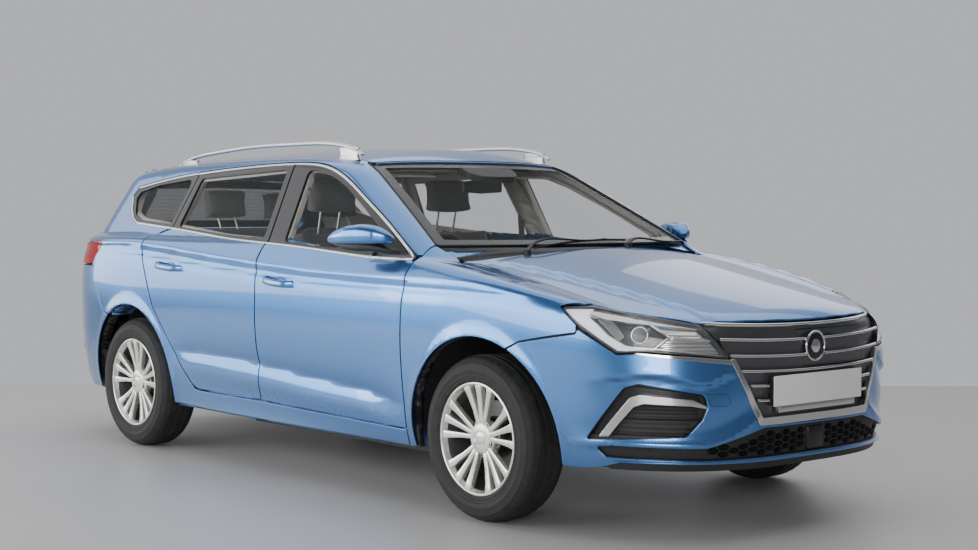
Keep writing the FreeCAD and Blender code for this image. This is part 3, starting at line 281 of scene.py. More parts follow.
def lay(chart: Chart, flat: Array) -> Array:
    """Return the body points that flat chart points lie on."""
    u, v = flat[:, 0], flat[:, 1]
    zero, one = np.zeros_like(u), np.ones_like(u)
    if chart is Chart.SIDE:
        return FORM.land(np.stack([u, zero + 0.2, v], 1), np.stack([zero, one, zero], 1), 0.0, 1.0)
    if chart is Chart.TOP:
        return FORM.land(np.stack([u, v, zero + 0.60], 1), np.stack([zero, zero, one], 1), 0.0, 1.0)
    if chart is Chart.FRONT:
        return FORM.land(np.stack([zero, u, v], 1), np.stack([one, zero, zero], 1), 0.0, 2.6)
    if chart is Chart.BACK:
        return FORM.land(np.stack([zero - 1.3, u, v], 1), np.stack([-one, zero, zero], 1), 0.0, 1.2)
    if chart is Chart.SHOULDER:
        turn = v / SHOULDER_RADIUS
        start = np.stack([u, zero + SHOULDER_AXIS[0], zero + SHOULDER_AXIS[1]], 1)
        return FORM.land(start, np.stack([zero, np.cos(turn), np.sin(turn)], 1), 0.0, 1.0)
    turn = u / NOSE_RADIUS
    sign = 1.0 if chart is Chart.NOSE else -1.0
    middle = NOSE_AXIS_X if chart is Chart.NOSE else TAIL_AXIS_X
    start = np.stack([zero + middle, zero, v], 1)
    return FORM.land(start, np.stack([sign * np.cos(turn), np.sin(turn), zero], 1), 0.0, 1.4)


def flatten(chart: Chart, points: Array) -> Array:
    """Return the chart points of body points, the reverse of lay."""
    x, y, z = points[:, 0], points[:, 1], points[:, 2]
    if chart is Chart.SIDE:
        return np.stack([x, z], 1)
    if chart is Chart.TOP:
        return np.stack([x, y], 1)
    if chart in (Chart.FRONT, Chart.BACK):
        return np.stack([y, z], 1)
    if chart is Chart.SHOULDER:
        turn = np.arctan2(z - SHOULDER_AXIS[1], y - SHOULDER_AXIS[0])
        return np.stack([x, turn * SHOULDER_RADIUS], 1)
    sign = 1.0 if chart is Chart.NOSE else -1.0
    middle = NOSE_AXIS_X if chart is Chart.NOSE else TAIL_AXIS_X
    return np.stack([np.arctan2(y, sign * (x - middle)) * NOSE_RADIUS, z], 1)


# ------------------------------------------------------------------ flat outlines
def rounded(outline: Outline, radius: float | Sequence[float], spacing: float = 0.008) -> Array:
    """Return a closed outline with its corners rounded and its edges divided.

    Args:
        outline: Corners in order.
        radius: One corner radius, or one for each corner.
        spacing: The longest step along the result.

    Returns:
        Points round the outline, the last one not repeated.
    """
    corners = np.array(outline, dtype=float)
    count = len(corners)
    radii = [radius] * count if isinstance(radius, (int, float)) else list(radius)
    path: list[Array] = []
    for i in range(count):
        here, last, following = corners[i], corners[i - 1], corners[(i + 1) % count]
        back, ahead = last - here, following - here
        back_length, ahead_length = np.linalg.norm(back), np.linalg.norm(ahead)
        back, ahead = back / back_length, ahead / ahead_length
        half = math.acos(float(np.clip(back @ ahead, -1, 1))) / 2
        reach = min(radii[i] / max(math.tan(half), 1e-6), 0.48 * back_length, 0.48 * ahead_length)
        if reach < 0.0006 or half > 1.50:
            path.append(here)
            continue
        turn = math.pi - 2 * half
        across = (back + ahead) / np.linalg.norm(back + ahead)
        centre = here + across * reach / math.cos(half)
        first, final = here + back * reach - centre, here + ahead * reach - centre
        for share in np.linspace(0, turn, max(3, int(math.degrees(turn) / 9) + 2)):
            path.append(centre + (first * math.sin(turn - share) + final * math.sin(share)) / math.sin(turn))
    return divided(spread(path), spacing)


def spread(path: Sequence[Array], least: float = 0.0009) -> Array:
    """Return a closed path without the points that crowd the one before them."""
    kept = [path[0]]
    for point in path[1:]:
        if np.linalg.norm(point - kept[-1]) > least:
            kept.append(point)
    if np.linalg.norm(kept[0] - kept[-1]) < least:
        kept.pop()
    return np.array(kept)


def divided(path: Array, spacing: float, closed: bool = True) -> Array:
    """Return a path with its long edges split into equal steps."""
    result = []
    count = len(path)
    for i in range(count if closed else count - 1):
        a, b = path[i], path[(i + 1) % count]
        steps = max(1, int(math.ceil(np.linalg.norm(b - a) / spacing)))
        result.extend(a + (b - a) * k / steps for k in range(steps))
    if not closed:
        result.append(path[-1])
    return np.array(result)


def arc(centre: tuple[float, float], radius: float, start: float, end: float, steps: int = 24) -> Outline:
    """Return points along an arc between two angles in degrees."""
    turns = np.radians(np.linspace(start, end, steps))
    return [(centre[0] + radius * math.cos(t), centre[1] + radius * math.sin(t)) for t in turns]


def signed_area(loop: Array) -> float:
    """Return a loop's area, positive when it runs anticlockwise."""
    following = np.roll(loop, -1, axis=0)
    return float(np.sum(loop[:, 0] * following[:, 1] - following[:, 0] * loop[:, 1]) / 2)


def outwards(loop: Array) -> Array:
    """Return the unit direction out of a closed loop at each of its points."""
    edge = np.roll(loop, -1, axis=0) - loop
    edge /= np.maximum(np.linalg.norm(edge, axis=1, keepdims=True), 1e-9)
    side = np.stack([edge[:, 1], -edge[:, 0]], 1) * (1 if signed_area(loop) > 0 else -1)
    both = side + np.roll(side, 1, axis=0)
    length = np.maximum(np.linalg.norm(both, axis=1, keepdims=True), 0.6)
    return both / length


def inset(loop: Array, distance: float, radius: float = 0.02) -> Array:
    """Return a closed loop moved inwards, without the folds that its tight corners would make."""
    moved = loop - outwards(loop) * distance
    nearest = np.sqrt(np.min(np.sum((moved[:, None] - loop[None]) ** 2, axis=2), axis=1))
    return rounded([tuple(point) for point in spread(moved[nearest > 0.985 * distance], 0.003)], radius)


def inside(points: Array, loop: Array) -> Array:
    """Return which points lie within a closed loop."""
    x, y = points[:, 0][:, None], points[:, 1][:, None]
    a, b = loop, np.roll(loop, -1, axis=0)
    crosses = (a[:, 1] > y) != (b[:, 1] > y)
    rise = np.where(np.abs(b[:, 1] - a[:, 1]) < 1e-12, 1e-12, b[:, 1] - a[:, 1])
    left = x < (b[:, 0] - a[:, 0]) * (y - a[:, 1]) / rise + a[:, 0]
    return (np.sum(crosses & left, axis=1) % 2) == 1


def fill(loops: list[Array], spacing: float) -> tuple[Array, Array, list[Array]]:
    """Fill the space between an outer loop and its holes with triangles.

    Args:
        loops: The outer loop, then any holes.
        spacing: The grid's step.

    Returns:
        The points, the triangles, and each loop's point numbers.
    """
    low, high = loops[0].min(axis=0), loops[0].max(axis=0)
    across = np.arange(low[0] + spacing / 2, high[0], spacing)
    upward = np.arange(low[1] + spacing / 2, high[1], spacing)
    grid = np.stack(np.meshgrid(across, upward, indexing="ij"), -1).reshape(-1, 2)
    rim = np.concatenate(loops)
    keep = np.ones(len(grid), dtype=bool)
    for start in range(0, len(grid), 2000):
        part = grid[start:start + 2000]
        good = inside(part, loops[0])
        for hole in loops[1:]:
            good &= ~inside(part, hole)
        away = np.min(np.sum((part[:, None, :] - rim[None]) ** 2, axis=2), axis=1)
        keep[start:start + 2000] = good & (away > (0.45 * spacing) ** 2)
    points = np.concatenate([rim, grid[keep]])
    edges = []
    numbers = []
    first = 0
    for loop in loops:
        ring = np.arange(first, first + len(loop))
        numbers.append(ring)
        edges.extend((int(a), int(b)) for a, b in zip(ring, np.roll(ring, -1)))
        first += len(loop)
    made = delaunay_2d_cdt([Vector(p) for p in points], edges, [], 0, 1e-7)
    found = np.array([tuple(v) for v in made[0]])
    if len(found) != len(points):
        raise ValueError("an outline crosses itself")
    faces = np.array([f for f in made[2] if len(f) == 3], dtype=int)
    if any(len(which) != 1 for which in made[3]):
        raise ValueError("an outline crosses itself")
    source = np.array([which[0] for which in made[3]])
    faces = source[faces]
    middle = points[faces].mean(axis=1)
    good = inside(middle, loops[0])
    for hole in loops[1:]:
        good &= ~inside(middle, hole)
    return points, faces[good], numbers


# ------------------------------------------------------------------ sheet pieces
def smooth_mesh(name: str, points: Array, faces: Array, normals: Array,
                side: float = 1.0) -> bpy.types.Object:
    """Make an object from points and faces with its own shading normals.

    Args:
        name: The new object's name.
        points: The vertices.
        faces: Rows of vertex numbers.
        normals: A shading direction for each vertex.
        side: -1 to mirror everything across the car.

    Returns:
        The new object.
    """
    if side < 0:
        points, normals, faces = points * (1, -1, 1), normals * (1, -1, 1), faces[:, ::-1]
    mesh = bpy.data.meshes.new(name)
    mesh.from_pydata(points.tolist(), [], faces.tolist())
    mesh.polygons.foreach_set("use_smooth", [True] * len(mesh.polygons))
    lengths = np.maximum(np.linalg.norm(normals, axis=1, keepdims=True), 1e-9)
    mesh.normals_split_custom_set_from_vertices((normals / lengths).tolist())
    piece = bpy.data.objects.new(name, mesh)
    bpy.context.scene.collection.objects.link(piece)
    return piece


@dataclass
class Sheet:
    """A closed panel laid on the body: rolled edges, a wall thickness and smooth normals.

    Args:
        name: The piece's name.
        chart: How its outline is laid on the body.
        outline: Its outer loop in the chart.
        holes: Loops cut out of it.
        depth: How far its face lies under the body surface.
        thickness: Its wall thickness.
        roll: The radius of its rolled edge.
        spacing: The step of its grid.
        relief: An optional change of depth over the face, as a function of body points.
    """

    name: str
    chart: Chart
    outline: Array
    holes: list[Array] = field(default_factory=list)
    depth: float = 0.0
    thickness: float = 0.006
    roll: float = 0.002
    spacing: float = 0.019
    relief: Callable[[Array], Array] | None = None

    def face_points(self, flat: Array) -> tuple[Array, Array]:
        """Return the face's points and normals over chart points."""
        points = lay(self.chart, flat)
        normals = FORM.normals(points)
        sunk = self.depth + (self.relief(points) if self.relief else 0.0)
        return points - normals * np.reshape(sunk, (-1, 1)), normals

    def shaped_normals(self, flat: Array, normals: Array) -> Array:
        """Return the face's own normals where a relief changes its shape."""
        if self.relief is None:
            return normals
        step = 0.0008
        ahead = self.face_points(flat + (step, 0))[0] - self.face_points(flat - (step, 0))[0]
        aside = self.face_points(flat + (0, step))[0] - self.face_points(flat - (0, step))[0]
        own = np.cross(ahead, aside)
        own /= np.linalg.norm(own, axis=1, keepdims=True)
        return own * np.sign(np.sum(own * normals, axis=1, keepdims=True))

    def build(self, name: str = "", side: float = 1.0) -> bpy.types.Object:
        """Make the panel.

        Args:
            name: The new object's name.
            side: 1 for the outline as given, -1 for its mirror image across the car.

        Returns:
            The new object.
        """
        loops = [self.outline] + self.holes
        senses = [1.0] + [-1.0] * len(self.holes)
        pulled = [loop - outwards(loop) * self.roll * s for loop, s in zip(loops, senses)]
        flat, faces, rings = fill(pulled, self.spacing)
        top, normal = self.face_points(flat)
        own = self.shaped_normals(flat, normal)
        count = len(flat)
        vertices = [top, top - normal * self.thickness]
        shading = [own, -own]
        triangles = [self.facing(faces, top, normal)]
        triangles.append(triangles[0][:, ::-1] + count)
        for loop, sense, ring in zip(loops, senses, rings):
            out = outwards(loop) * sense
            inner, edge_normal = self.face_points(loop - out * 0.0001)
            outer, _ = self.face_points(loop)
            away = outer - inner
            away -= edge_normal * np.sum(away * edge_normal, axis=1, keepdims=True)
            away /= np.maximum(np.linalg.norm(away, axis=1, keepdims=True), 1e-12)
            middle, _ = self.face_points(loop - out * self.roll * 0.3)
            bands = [
                (middle - edge_normal * self.roll * 0.3, edge_normal * 0.7 + away * 0.7),
                (outer - edge_normal * self.roll, away),
                (outer - edge_normal * self.thickness, away),
            ]
            base = sum(len(block) for block in vertices)
            numbers = [ring] + [base + k * len(loop) + np.arange(len(loop)) for k in range(3)]
            numbers.append(ring + count)
            for place, direction in bands:
                vertices.append(place)
                shading.append(direction)
            for a, b in zip(numbers[:-1], numbers[1:]):
                a2, b2 = np.roll(a, -1), np.roll(b, -1)
                strip = np.concatenate([np.stack([a, b, b2], 1), np.stack([a, b2, a2], 1)])
                triangles.append(strip if self.runs_out(ring, top, normal, away) else strip[:, ::-1])
        return smooth_mesh(name or self.name, np.concatenate(vertices), np.concatenate(triangles),
                           np.concatenate(shading), side)

    def facing(self, faces: Array, points: Array, normals: Array) -> Array:
        """Return the faces, all turned to face along the normals."""
        a, b, c = (points[faces[:, k]] for k in range(3))
        turn = np.sum(np.cross(b - a, c - a) * normals[faces[:, 0]], axis=1)
        return np.where((turn < 0)[:, None], faces[:, ::-1], faces)

    def runs_out(self, ring: Array, points: Array, normals: Array, away: Array) -> bool:
        """Return whether rim strips made along a ring would face outwards."""
        edge = np.roll(points[ring], -1, axis=0) - points[ring]
        turn = np.sum(np.cross(-normals[ring], edge) * away, axis=1)
        return float(np.sum(turn)) > 0


@dataclass
class Strip:
    """A moulding of a few flat faces swept along a path on the body.

    Args:
        name: The piece's name.
        path: Body points in order.
        width: How wide the moulding is.
        height: How far it stands over the body.
        sink: How far its foot lies under the body.
        closed: Whether its ends meet.
        taper: How much narrower the ends are, from 0 to 1.
    """

    name: str
    path: Array
    width: float
    height: float
    sink: float = 0.004
    closed: bool = False
    taper: float = 0.0

    def build(self, name: str = "", side: float = 1.0) -> bpy.types.Object:
        """Make the moulding, or its mirror image where side is -1."""
        path = divided(self.path, 0.012, self.closed)
        ahead = np.roll(path, -1, axis=0) - np.roll(path, 1, axis=0)
        if not self.closed:
            ahead[0], ahead[-1] = path[1] - path[0], path[-1] - path[-2]
        ahead /= np.linalg.norm(ahead, axis=1, keepdims=True)
        up = FORM.normals(path)
        across = np.cross(ahead, up)
        across /= np.linalg.norm(across, axis=1, keepdims=True)
        up = np.cross(across, ahead)
        count = len(path)
        share = np.minimum(np.arange(count), np.arange(count)[::-1]) / max(1.0, 0.12 * count)
        narrow = 1 - self.taper * (1 - np.clip(share, 0, 1)) if not self.closed else np.ones(count)
        half = self.width / 2
        section = [(-1.0, -self.sink), (-1.0, self.height * 0.35), (-0.72, self.height * 0.85),
                   (-0.3, self.height), (0.3, self.height), (0.72, self.height * 0.85),
                   (1.0, self.height * 0.35), (1.0, -self.sink)]
        rings = [path + across * (half * a * narrow)[:, None] + up * b for a, b in section]
        tilt = [(-1.0, -0.6), (-1.0, 0.25), (-0.7, 0.7), (-0.15, 1.0), (0.15, 1.0), (0.7, 0.7),
                (1.0, 0.25), (1.0, -0.6)]
        shade = [across * a + up * b for a, b in tilt]
        size = len(section)
        faces = []
        stops = count if self.closed else count - 1
        for i in range(stops):
            j = (i + 1) % count
            for k in range(size):
                m = (k + 1) % size
                faces.append((k * count + i, k * count + j, m * count + j))
                faces.append((k * count + i, m * count + j, m * count + i))
        if not self.closed:
            for i, flip in ((0, False), (count - 1, True)):
                ring = [k * count + i for k in range(size)]
                fan = [(ring[0], ring[k], ring[k + 1]) for k in range(1, size - 1)]
                faces.extend(tuple(reversed(f)) if flip else f for f in fan)
        return smooth_mesh(name or self.name, np.concatenate(rings), np.array(faces)[:, ::-1],
                           np.concatenate(shade), side)


def on(chart: Chart, rows: Iterable[tuple[float, float]]) -> Array:
    """Return the body points under chart rows."""
    return lay(chart, np.array(list(rows), dtype=float))


def outline_on(chart: Chart, *parts: Array, radius: float | Sequence[float] = 0.006) -> Array:
    """Return a rounded chart outline through runs of body points."""
    flat = flatten(chart, np.concatenate(parts))
    return rounded([tuple(p) for p in flat], radius)


def both_halves(rows: Sequence[tuple[float, float]]) -> Outline:
    """Close the left half of an outline, from its middle round to its middle, by its mirror image."""
    across = [(-u, v) for u, v in reversed(rows) if abs(u) > 1e-9]
    return list(rows) + across


def nose_rows(points: Iterable[tuple[float, float, float]]) -> Outline:
    """Return the nose chart's rows of x, y, z points."""
    return [tuple(row) for row in flatten(Chart.NOSE, np.array(list(points), dtype=float))]


def tail_rows(points: Iterable[tuple[float, float, float]]) -> Outline:
    """Return the tail chart's rows of x, y, z points."""
    return [tuple(row) for row in flatten(Chart.TAIL, np.array(list(points), dtype=float))]


# ------------------------------------------------------------------ bench work
def clear() -> None:
    """Leave edit mode and deselect everything."""
    if bpy.context.object and bpy.context.object.mode != "OBJECT":
        bpy.ops.object.mode_set(mode="OBJECT")
    bpy.ops.object.select_all(action="DESELECT")


def pick(*pieces: bpy.types.Object) -> None:
    """Select only these pieces, the first one active."""
    clear()
    for piece in pieces:
        piece.select_set(True)
    bpy.context.view_layer.objects.active = pieces[0]


def edit(piece: bpy.types.Object, mode: str = "FACE", everything: bool = True) -> None:
    """Open a piece in edit mode with all or nothing selected."""
    pick(piece)
    bpy.ops.object.mode_set(mode="EDIT")
    bpy.ops.mesh.select_mode(type=mode)
    bpy.ops.mesh.select_all(action="SELECT" if everything else "DESELECT")


def settle(piece: bpy.types.Object, name: str) -> bpy.types.Object:
    """Put a piece's place, turn and size into its mesh and name it."""
    pick(piece)
    bpy.ops.object.transform_apply(location=True, rotation=True, scale=True)
    piece.name = name
    piece.data.name = name
    return piece


def modify(piece: bpy.types.Object, kind: str, **values: object) -> bpy.types.Object:
    """Add a modifier with these values and apply it."""
    pick(piece)
    modifier = piece.modifiers.new(kind.lower(), kind)
    for key, value in values.items():
        setattr(modifier, key, value)
    bpy.ops.object.modifier_apply(modifier=modifier.name)
    return piece


def soften(piece: bpy.types.Object, width: float, segments: int = 2, angle: float = 30.0) -> bpy.types.Object:
    """Round a piece's sharp edges and shade it smooth."""
    modify(piece, "BEVEL", width=width, segments=segments, limit_method="ANGLE",
           angle_limit=math.radians(angle), use_clamp_overlap=True)
    return shade(piece)


def shade(piece: bpy.types.Object, angle: float = 40.0) -> bpy.types.Object:
    """Shade a piece smooth except over sharp edges."""
    pick(piece)
    bpy.ops.object.shade_smooth_by_angle(angle=math.radians(angle))
    return piece


def merge(pieces: Sequence[bpy.types.Object], name: str) -> bpy.types.Object:
    """Join pieces into one."""
    pick(*pieces)
    if len(pieces) > 1:
        bpy.ops.object.join()
    pieces[0].name = name
    pieces[0].data.name = name
    return pieces[0]


def block(name: str, low: Sequence[float], high: Sequence[float], edge: float = 0.003,
          segments: int = 2) -> bpy.types.Object:
    """Make a box between two corners with rounded edges."""
    clear()
    middle = [(a + b) / 2 for a, b in zip(low, high)]
    bpy.ops.mesh.primitive_cube_add(size=1, location=middle, scale=[b - a for a, b in zip(low, high)])
    piece = settle(bpy.context.object, name)
    return soften(piece, edge, segments) if edge else piece


def bar(name: str, start: Sequence[float], end: Sequence[float], radius: float, edge: float = 0.0,
        vertices: int = 24, radius_end: float | None = None) -> bpy.types.Object:
    """Make a round bar from one point to another, tapered where radius_end is given."""
    clear()
    a, b = Vector(start), Vector(end)
    turn = (b - a).to_track_quat("Z", "Y").to_euler()
    bpy.ops.mesh.primitive_cone_add(vertices=vertices, radius1=radius,
                                    radius2=radius if radius_end is None else radius_end,
                                    depth=(b - a).length, location=(a + b) / 2, rotation=turn)
    piece = settle(bpy.context.object, name)
    return soften(piece, edge) if edge else shade(piece)


def ring(name: str, centre: Sequence[float], axis: Sequence[float], major: float, minor: float,
         major_steps: int = 64, minor_steps: int = 12) -> bpy.types.Object:
    """Make a torus about an axis."""
    clear()
    turn = Vector(axis).to_track_quat("Z", "Y").to_euler()
    bpy.ops.mesh.primitive_torus_add(location=centre, rotation=turn, major_radius=major,
                                     minor_radius=minor, major_segments=major_steps,
                                     minor_segments=minor_steps)
    return shade(settle(bpy.context.object, name))


def plate(name: str, corners: Sequence[Sequence[float]], push: Sequence[float], edge: float = 0.002,
          segments: int = 2) -> bpy.types.Object:
    """Make a flat polygon and extrude it.

    Args:
        name: The piece's name.
        corners: The polygon's corners in order.
        push: How far and which way it is extruded.
        edge: The width of its rounded edges.
        segments: How many faces round an edge.

    Returns:
        The new piece.
    """
    clear()
    bpy.ops.mesh.primitive_circle_add(vertices=len(corners), radius=1.0, fill_type="NGON")
    piece = bpy.context.object
    piece.data.vertices.foreach_set("co", [c for corner in corners for c in corner])
    piece.data.update()
    edit(piece)
    bpy.ops.mesh.extrude_region_move(TRANSFORM_OT_translate={"value": tuple(push)})
    bpy.ops.mesh.select_all(action="SELECT")
    bpy.ops.mesh.normals_make_consistent(inside=False)
    bpy.ops.object.mode_set(mode="OBJECT")
    piece = settle(piece, name)
    return soften(piece, edge, segments) if edge else shade(piece)


def turned(name: str, section: Sequence[tuple[float, float]], centre: Sequence[float],
           steps: int = 96, closed: bool = True) -> bpy.types.Object:
    """Turn a section about a line across the car.

    Args:
        name: The piece's name.
        section: Rows of radius and distance along the line.
        centre: A point of the line.
        steps: How many faces go round.
        closed: Whether the section's ends meet.

    Returns:
        The new piece.
    """
    clear()
    bpy.ops.mesh.primitive_circle_add(vertices=len(section), radius=1.0, fill_type="NOTHING")
    piece = bpy.context.object
    places = [(centre[0], centre[1] + y, centre[2] + r) for r, y in section]
    piece.data.vertices.foreach_set("co", [c for place in places for c in place])
    piece.data.update()
    if not closed:
        edit(piece, "EDGE", False)
        bpy.ops.object.mode_set(mode="OBJECT")
        ends = {0, len(section) - 1}
        for line in piece.data.edges:
            line.select = set(line.vertices) == ends
        bpy.ops.object.mode_set(mode="EDIT")
        bpy.ops.mesh.delete(type="EDGE")
        bpy.ops.object.mode_set(mode="OBJECT")
    edit(piece, "EDGE")
    bpy.ops.mesh.spin(steps=steps, angle=math.tau, center=tuple(centre), axis=(0, 1, 0))
    bpy.ops.mesh.select_all(action="SELECT")
    bpy.ops.mesh.remove_doubles(threshold=0.00005)
    bpy.ops.mesh.normals_make_consistent(inside=False)
    bpy.ops.object.mode_set(mode="OBJECT")
    return shade(settle(piece, name), 32.0)


def mirrored(piece: bpy.types.Object, name: str) -> bpy.types.Object:
    """Return a copy of a piece on the other side of the car, with its own mesh."""
    copy = piece.copy()
    copy.data = piece.data.copy()
    copy.name = copy.data.name = name
    bpy.context.scene.collection.objects.link(copy)
    copy.data.transform(Matrix.Scale(-1, 4, (0, 1, 0)))
    copy.data.flip_normals()
    return copy


def placed(piece: bpy.types.Object, name: str, place: Matrix) -> bpy.types.Object:
    """Return a moved copy of a piece with its own mesh."""
    copy = piece.copy()
    copy.data = piece.data.copy()
    copy.name = copy.data.name = name
    bpy.context.scene.collection.objects.link(copy)
    copy.data.transform(place)
    return copy


def about(centre: Sequence[float], axis: Sequence[float], angle: float) -> Matrix:
    """Return a turn about a line, in radians."""
    middle = Matrix.Translation(centre)
    return middle @ Matrix.Rotation(angle, 4, Vector(axis)) @ middle.inverted()


def repeated(piece: bpy.types.Object, name: str, places: Sequence[Matrix]) -> bpy.types.Object:
    """Join copies of a piece at several places and remove the first one."""
    copies = [placed(piece, f"{name}_{i}", place) for i, place in enumerate(places)]
    bpy.data.objects.remove(piece)
    return merge(copies, name)


def tucked(node: str, name: str, depth: float, cuts: int = 1) -> bpy.types.Object:
    """Return a copy of a CAD piece drawn in behind the panels laid over it.

    Args:
        node: The CAD piece.
        name: The copy's name.
        depth: How far its outside is kept under the body surface.
        cuts: How finely its faces are divided first.

    Returns:
        The copy.
    """
    source = frame["nodes"][node] if isinstance(frame["nodes"], dict) else bpy.data.objects[node]
    copy = source.copy()
    copy.data = source.data.copy()
    copy.parent = None
    copy.name = copy.data.name = name
    bpy.context.scene.collection.objects.link(copy)
    edit(copy)
    bpy.ops.mesh.remove_doubles(threshold=0.00002)
    if cuts:
        bpy.ops.mesh.subdivide(number_cuts=cuts)
    bpy.ops.object.mode_set(mode="OBJECT")
    count = len(copy.data.vertices)
    flat = np.empty(count * 3)
    copy.data.vertices.foreach_get("co", flat)
    points = flat.reshape(-1, 3)
    for _ in range(3):
        value = FORM.field(points)
        near = value > -depth
        if near.any():
            points[near] -= FORM.normals(points[near]) * (value[near] + depth)[:, None]
    copy.data.vertices.foreach_set("co", points.ravel())
    copy.data.update()
    return shade(copy, 30.0)


# ------------------------------------------------------------------ finishes
@dataclass(frozen=True)
class Finish:
    """A procedural surface: its colour, gloss, mottling and fine relief.

    Args:
        name: The material's name.
        slot: The record's material slot; not used.
        colour: Its base colour.
        rough: Its roughness.
        metal: How metallic it is.
        coat: The weight of a clear coat.
        mottle: How much its colour varies.
        mottle_scale: The scale of that variation.
        grain: The height of its fine relief in metres.
        grain_scale: The scale of that relief.
        wear: How much its roughness varies.
        clear: How much light it lets through.
        glow: How strongly it shines.
        sheen: The weight of a cloth sheen.
    """

    name: str
    slot: str
    colour: tuple[float, float, float]
    rough: float = 0.4
    metal: float = 0.0
    coat: float = 0.0
    mottle: float = 0.08
    mottle_scale: float = 9.0
    grain: float = 0.0
    grain_scale: float = 900.0
    wear: float = 0.06
    clear: float = 0.0
    glow: float = 0.0
    sheen: float = 0.0

    def tree(self) -> tuple[bpy.types.Material, bpy.types.NodeTree, bpy.types.Node, bpy.types.Node]:
        """Start the material and return it with its tree, shader and coordinates."""
        material = bpy.data.materials.new(self.name)
        material.use_nodes = True
        tree = material.node_tree
        shader = tree.nodes["Principled BSDF"]
        shader.inputs["Metallic"].default_value = self.metal
        shader.inputs["Coat Weight"].default_value = self.coat
        shader.inputs["Coat Roughness"].default_value = 0.03
        shader.inputs["Sheen Weight"].default_value = self.sheen
        shader.inputs["Transmission Weight"].default_value = self.clear
        if self.glow:
            shader.inputs["Emission Color"].default_value = (*self.colour, 1)
            shader.inputs["Emission Strength"].default_value = self.glow
        coordinates = tree.nodes.new("ShaderNodeTexCoord")
        return material, tree, shader, coordinates

    def noise(self, tree: bpy.types.NodeTree, coordinates: bpy.types.Node, scale: float,
              detail: float = 3.0) -> bpy.types.Node:
        """Add a noise read on object coordinates."""
        noise = tree.nodes.new("ShaderNodeTexNoise")
        noise.inputs["Scale"].default_value = scale
        noise.inputs["Detail"].default_value = detail
        tree.links.new(coordinates.outputs["Object"], noise.inputs["Vector"])
        return noise

    def ramp(self, tree: bpy.types.NodeTree, factor: bpy.types.NodeSocket, low: Sequence[float],
             high: Sequence[float], start: float = 0.3, end: float = 0.7) -> bpy.types.Node:
        """Add a colour ramp between two colours."""
        ramp = tree.nodes.new("ShaderNodeValToRGB")
        ramp.color_ramp.elements[0].position = start
        ramp.color_ramp.elements[0].color = (*low, 1)
        ramp.color_ramp.elements[1].position = end
        ramp.color_ramp.elements[1].color = (*high, 1)
        tree.links.new(factor, ramp.inputs["Fac"])
        return ramp

    def relief(self, tree: bpy.types.NodeTree, shader: bpy.types.Node, height: bpy.types.NodeSocket,
               distance: float) -> None:
        """Bump the shader by a height."""
        bump = tree.nodes.new("ShaderNodeBump")
        bump.inputs["Distance"].default_value = distance
        bump.inputs["Strength"].default_value = 1.0
        tree.links.new(height, bump.inputs["Height"])
        tree.links.new(bump.outputs["Normal"], shader.inputs["Normal"])

    def make(self) -> bpy.types.Material:
        """Return the material, made once."""
        known = bpy.data.materials.get(self.name)
        if known:
            return known
        material, tree, shader, coordinates = self.tree()
        broad = self.noise(tree, coordinates, self.mottle_scale)
        low = [c * (1 - self.mottle) for c in self.colour]
        high = [min(1.0, c * (1 + self.mottle)) for c in self.colour]
        tint = self.ramp(tree, broad.outputs["Fac"], low, high)
        tree.links.new(tint.outputs["Color"], shader.inputs["Base Color"])
        span = tree.nodes.new("ShaderNodeMapRange")
        span.inputs["To Min"].default_value = max(0.0, self.rough - self.wear)
        span.inputs["To Max"].default_value = min(1.0, self.rough + self.wear)
        tree.links.new(broad.outputs["Fac"], span.inputs["Value"])
        tree.links.new(span.outputs["Result"], shader.inputs["Roughness"])
        if self.grain:
            fine = self.noise(tree, coordinates, self.grain_scale, 2.0)
            self.relief(tree, shader, fine.outputs["Fac"], self.grain)
        return material


@dataclass(frozen=True)
class MetallicPaint(Finish):
    """Clear-coated paint with fine metal flakes, speckled darker grey-brown and rougher towards the bottom.
    """

    def make(self) -> bpy.types.Material:
        """Return the material, made once."""
        known = bpy.data.materials.get(self.name)
        if known:
            return known
        material, tree, shader, coordinates = self.tree()
        flakes = tree.nodes.new("ShaderNodeTexVoronoi")
        flakes.inputs["Scale"].default_value = 1500.0
        tree.links.new(coordinates.outputs["Object"], flakes.inputs["Vector"])
        low = [c * 0.90 for c in self.colour]
        high = [c * 1.12 for c in self.colour]
        tint = self.ramp(tree, flakes.outputs["Distance"], low, high, 0.1, 0.75)
        # Below about 0.46 m, noise specks mix the colour toward grey-brown and raise the roughness, more so
        # towards the bottom.
        split = tree.nodes.new("ShaderNodeSeparateXYZ")
        tree.links.new(coordinates.outputs["Object"], split.inputs["Vector"])
        height = tree.nodes.new("ShaderNodeMapRange")
        height.inputs["From Min"].default_value = 0.46
        height.inputs["From Max"].default_value = 0.24
        height.inputs["To Max"].default_value = 0.30
        tree.links.new(split.outputs["Z"], height.inputs["Value"])
        specks = self.noise(tree, coordinates, 38.0, 6.0)
        amount = tree.nodes.new("ShaderNodeMath")
        amount.operation = "MULTIPLY"
        tree.links.new(height.outputs["Result"], amount.inputs[0])
        tree.links.new(specks.outputs["Fac"], amount.inputs[1])
        low_speckle_mix = tree.nodes.new("ShaderNodeMix")
        low_speckle_mix.data_type = "RGBA"
        low_speckle_mix.inputs["B"].default_value = (0.16, 0.15, 0.135, 1)
        tree.links.new(amount.outputs["Value"], low_speckle_mix.inputs["Factor"])
        tree.links.new(tint.outputs["Color"], low_speckle_mix.inputs["A"])
        tree.links.new(low_speckle_mix.outputs["Result"], shader.inputs["Base Color"])
        span = tree.nodes.new("ShaderNodeMapRange")
        span.inputs["To Min"].default_value = self.rough
        span.inputs["To Max"].default_value = self.rough + 0.22
        tree.links.new(amount.outputs["Value"], span.inputs["Value"])
        tree.links.new(span.outputs["Result"], shader.inputs["Roughness"])
        return material


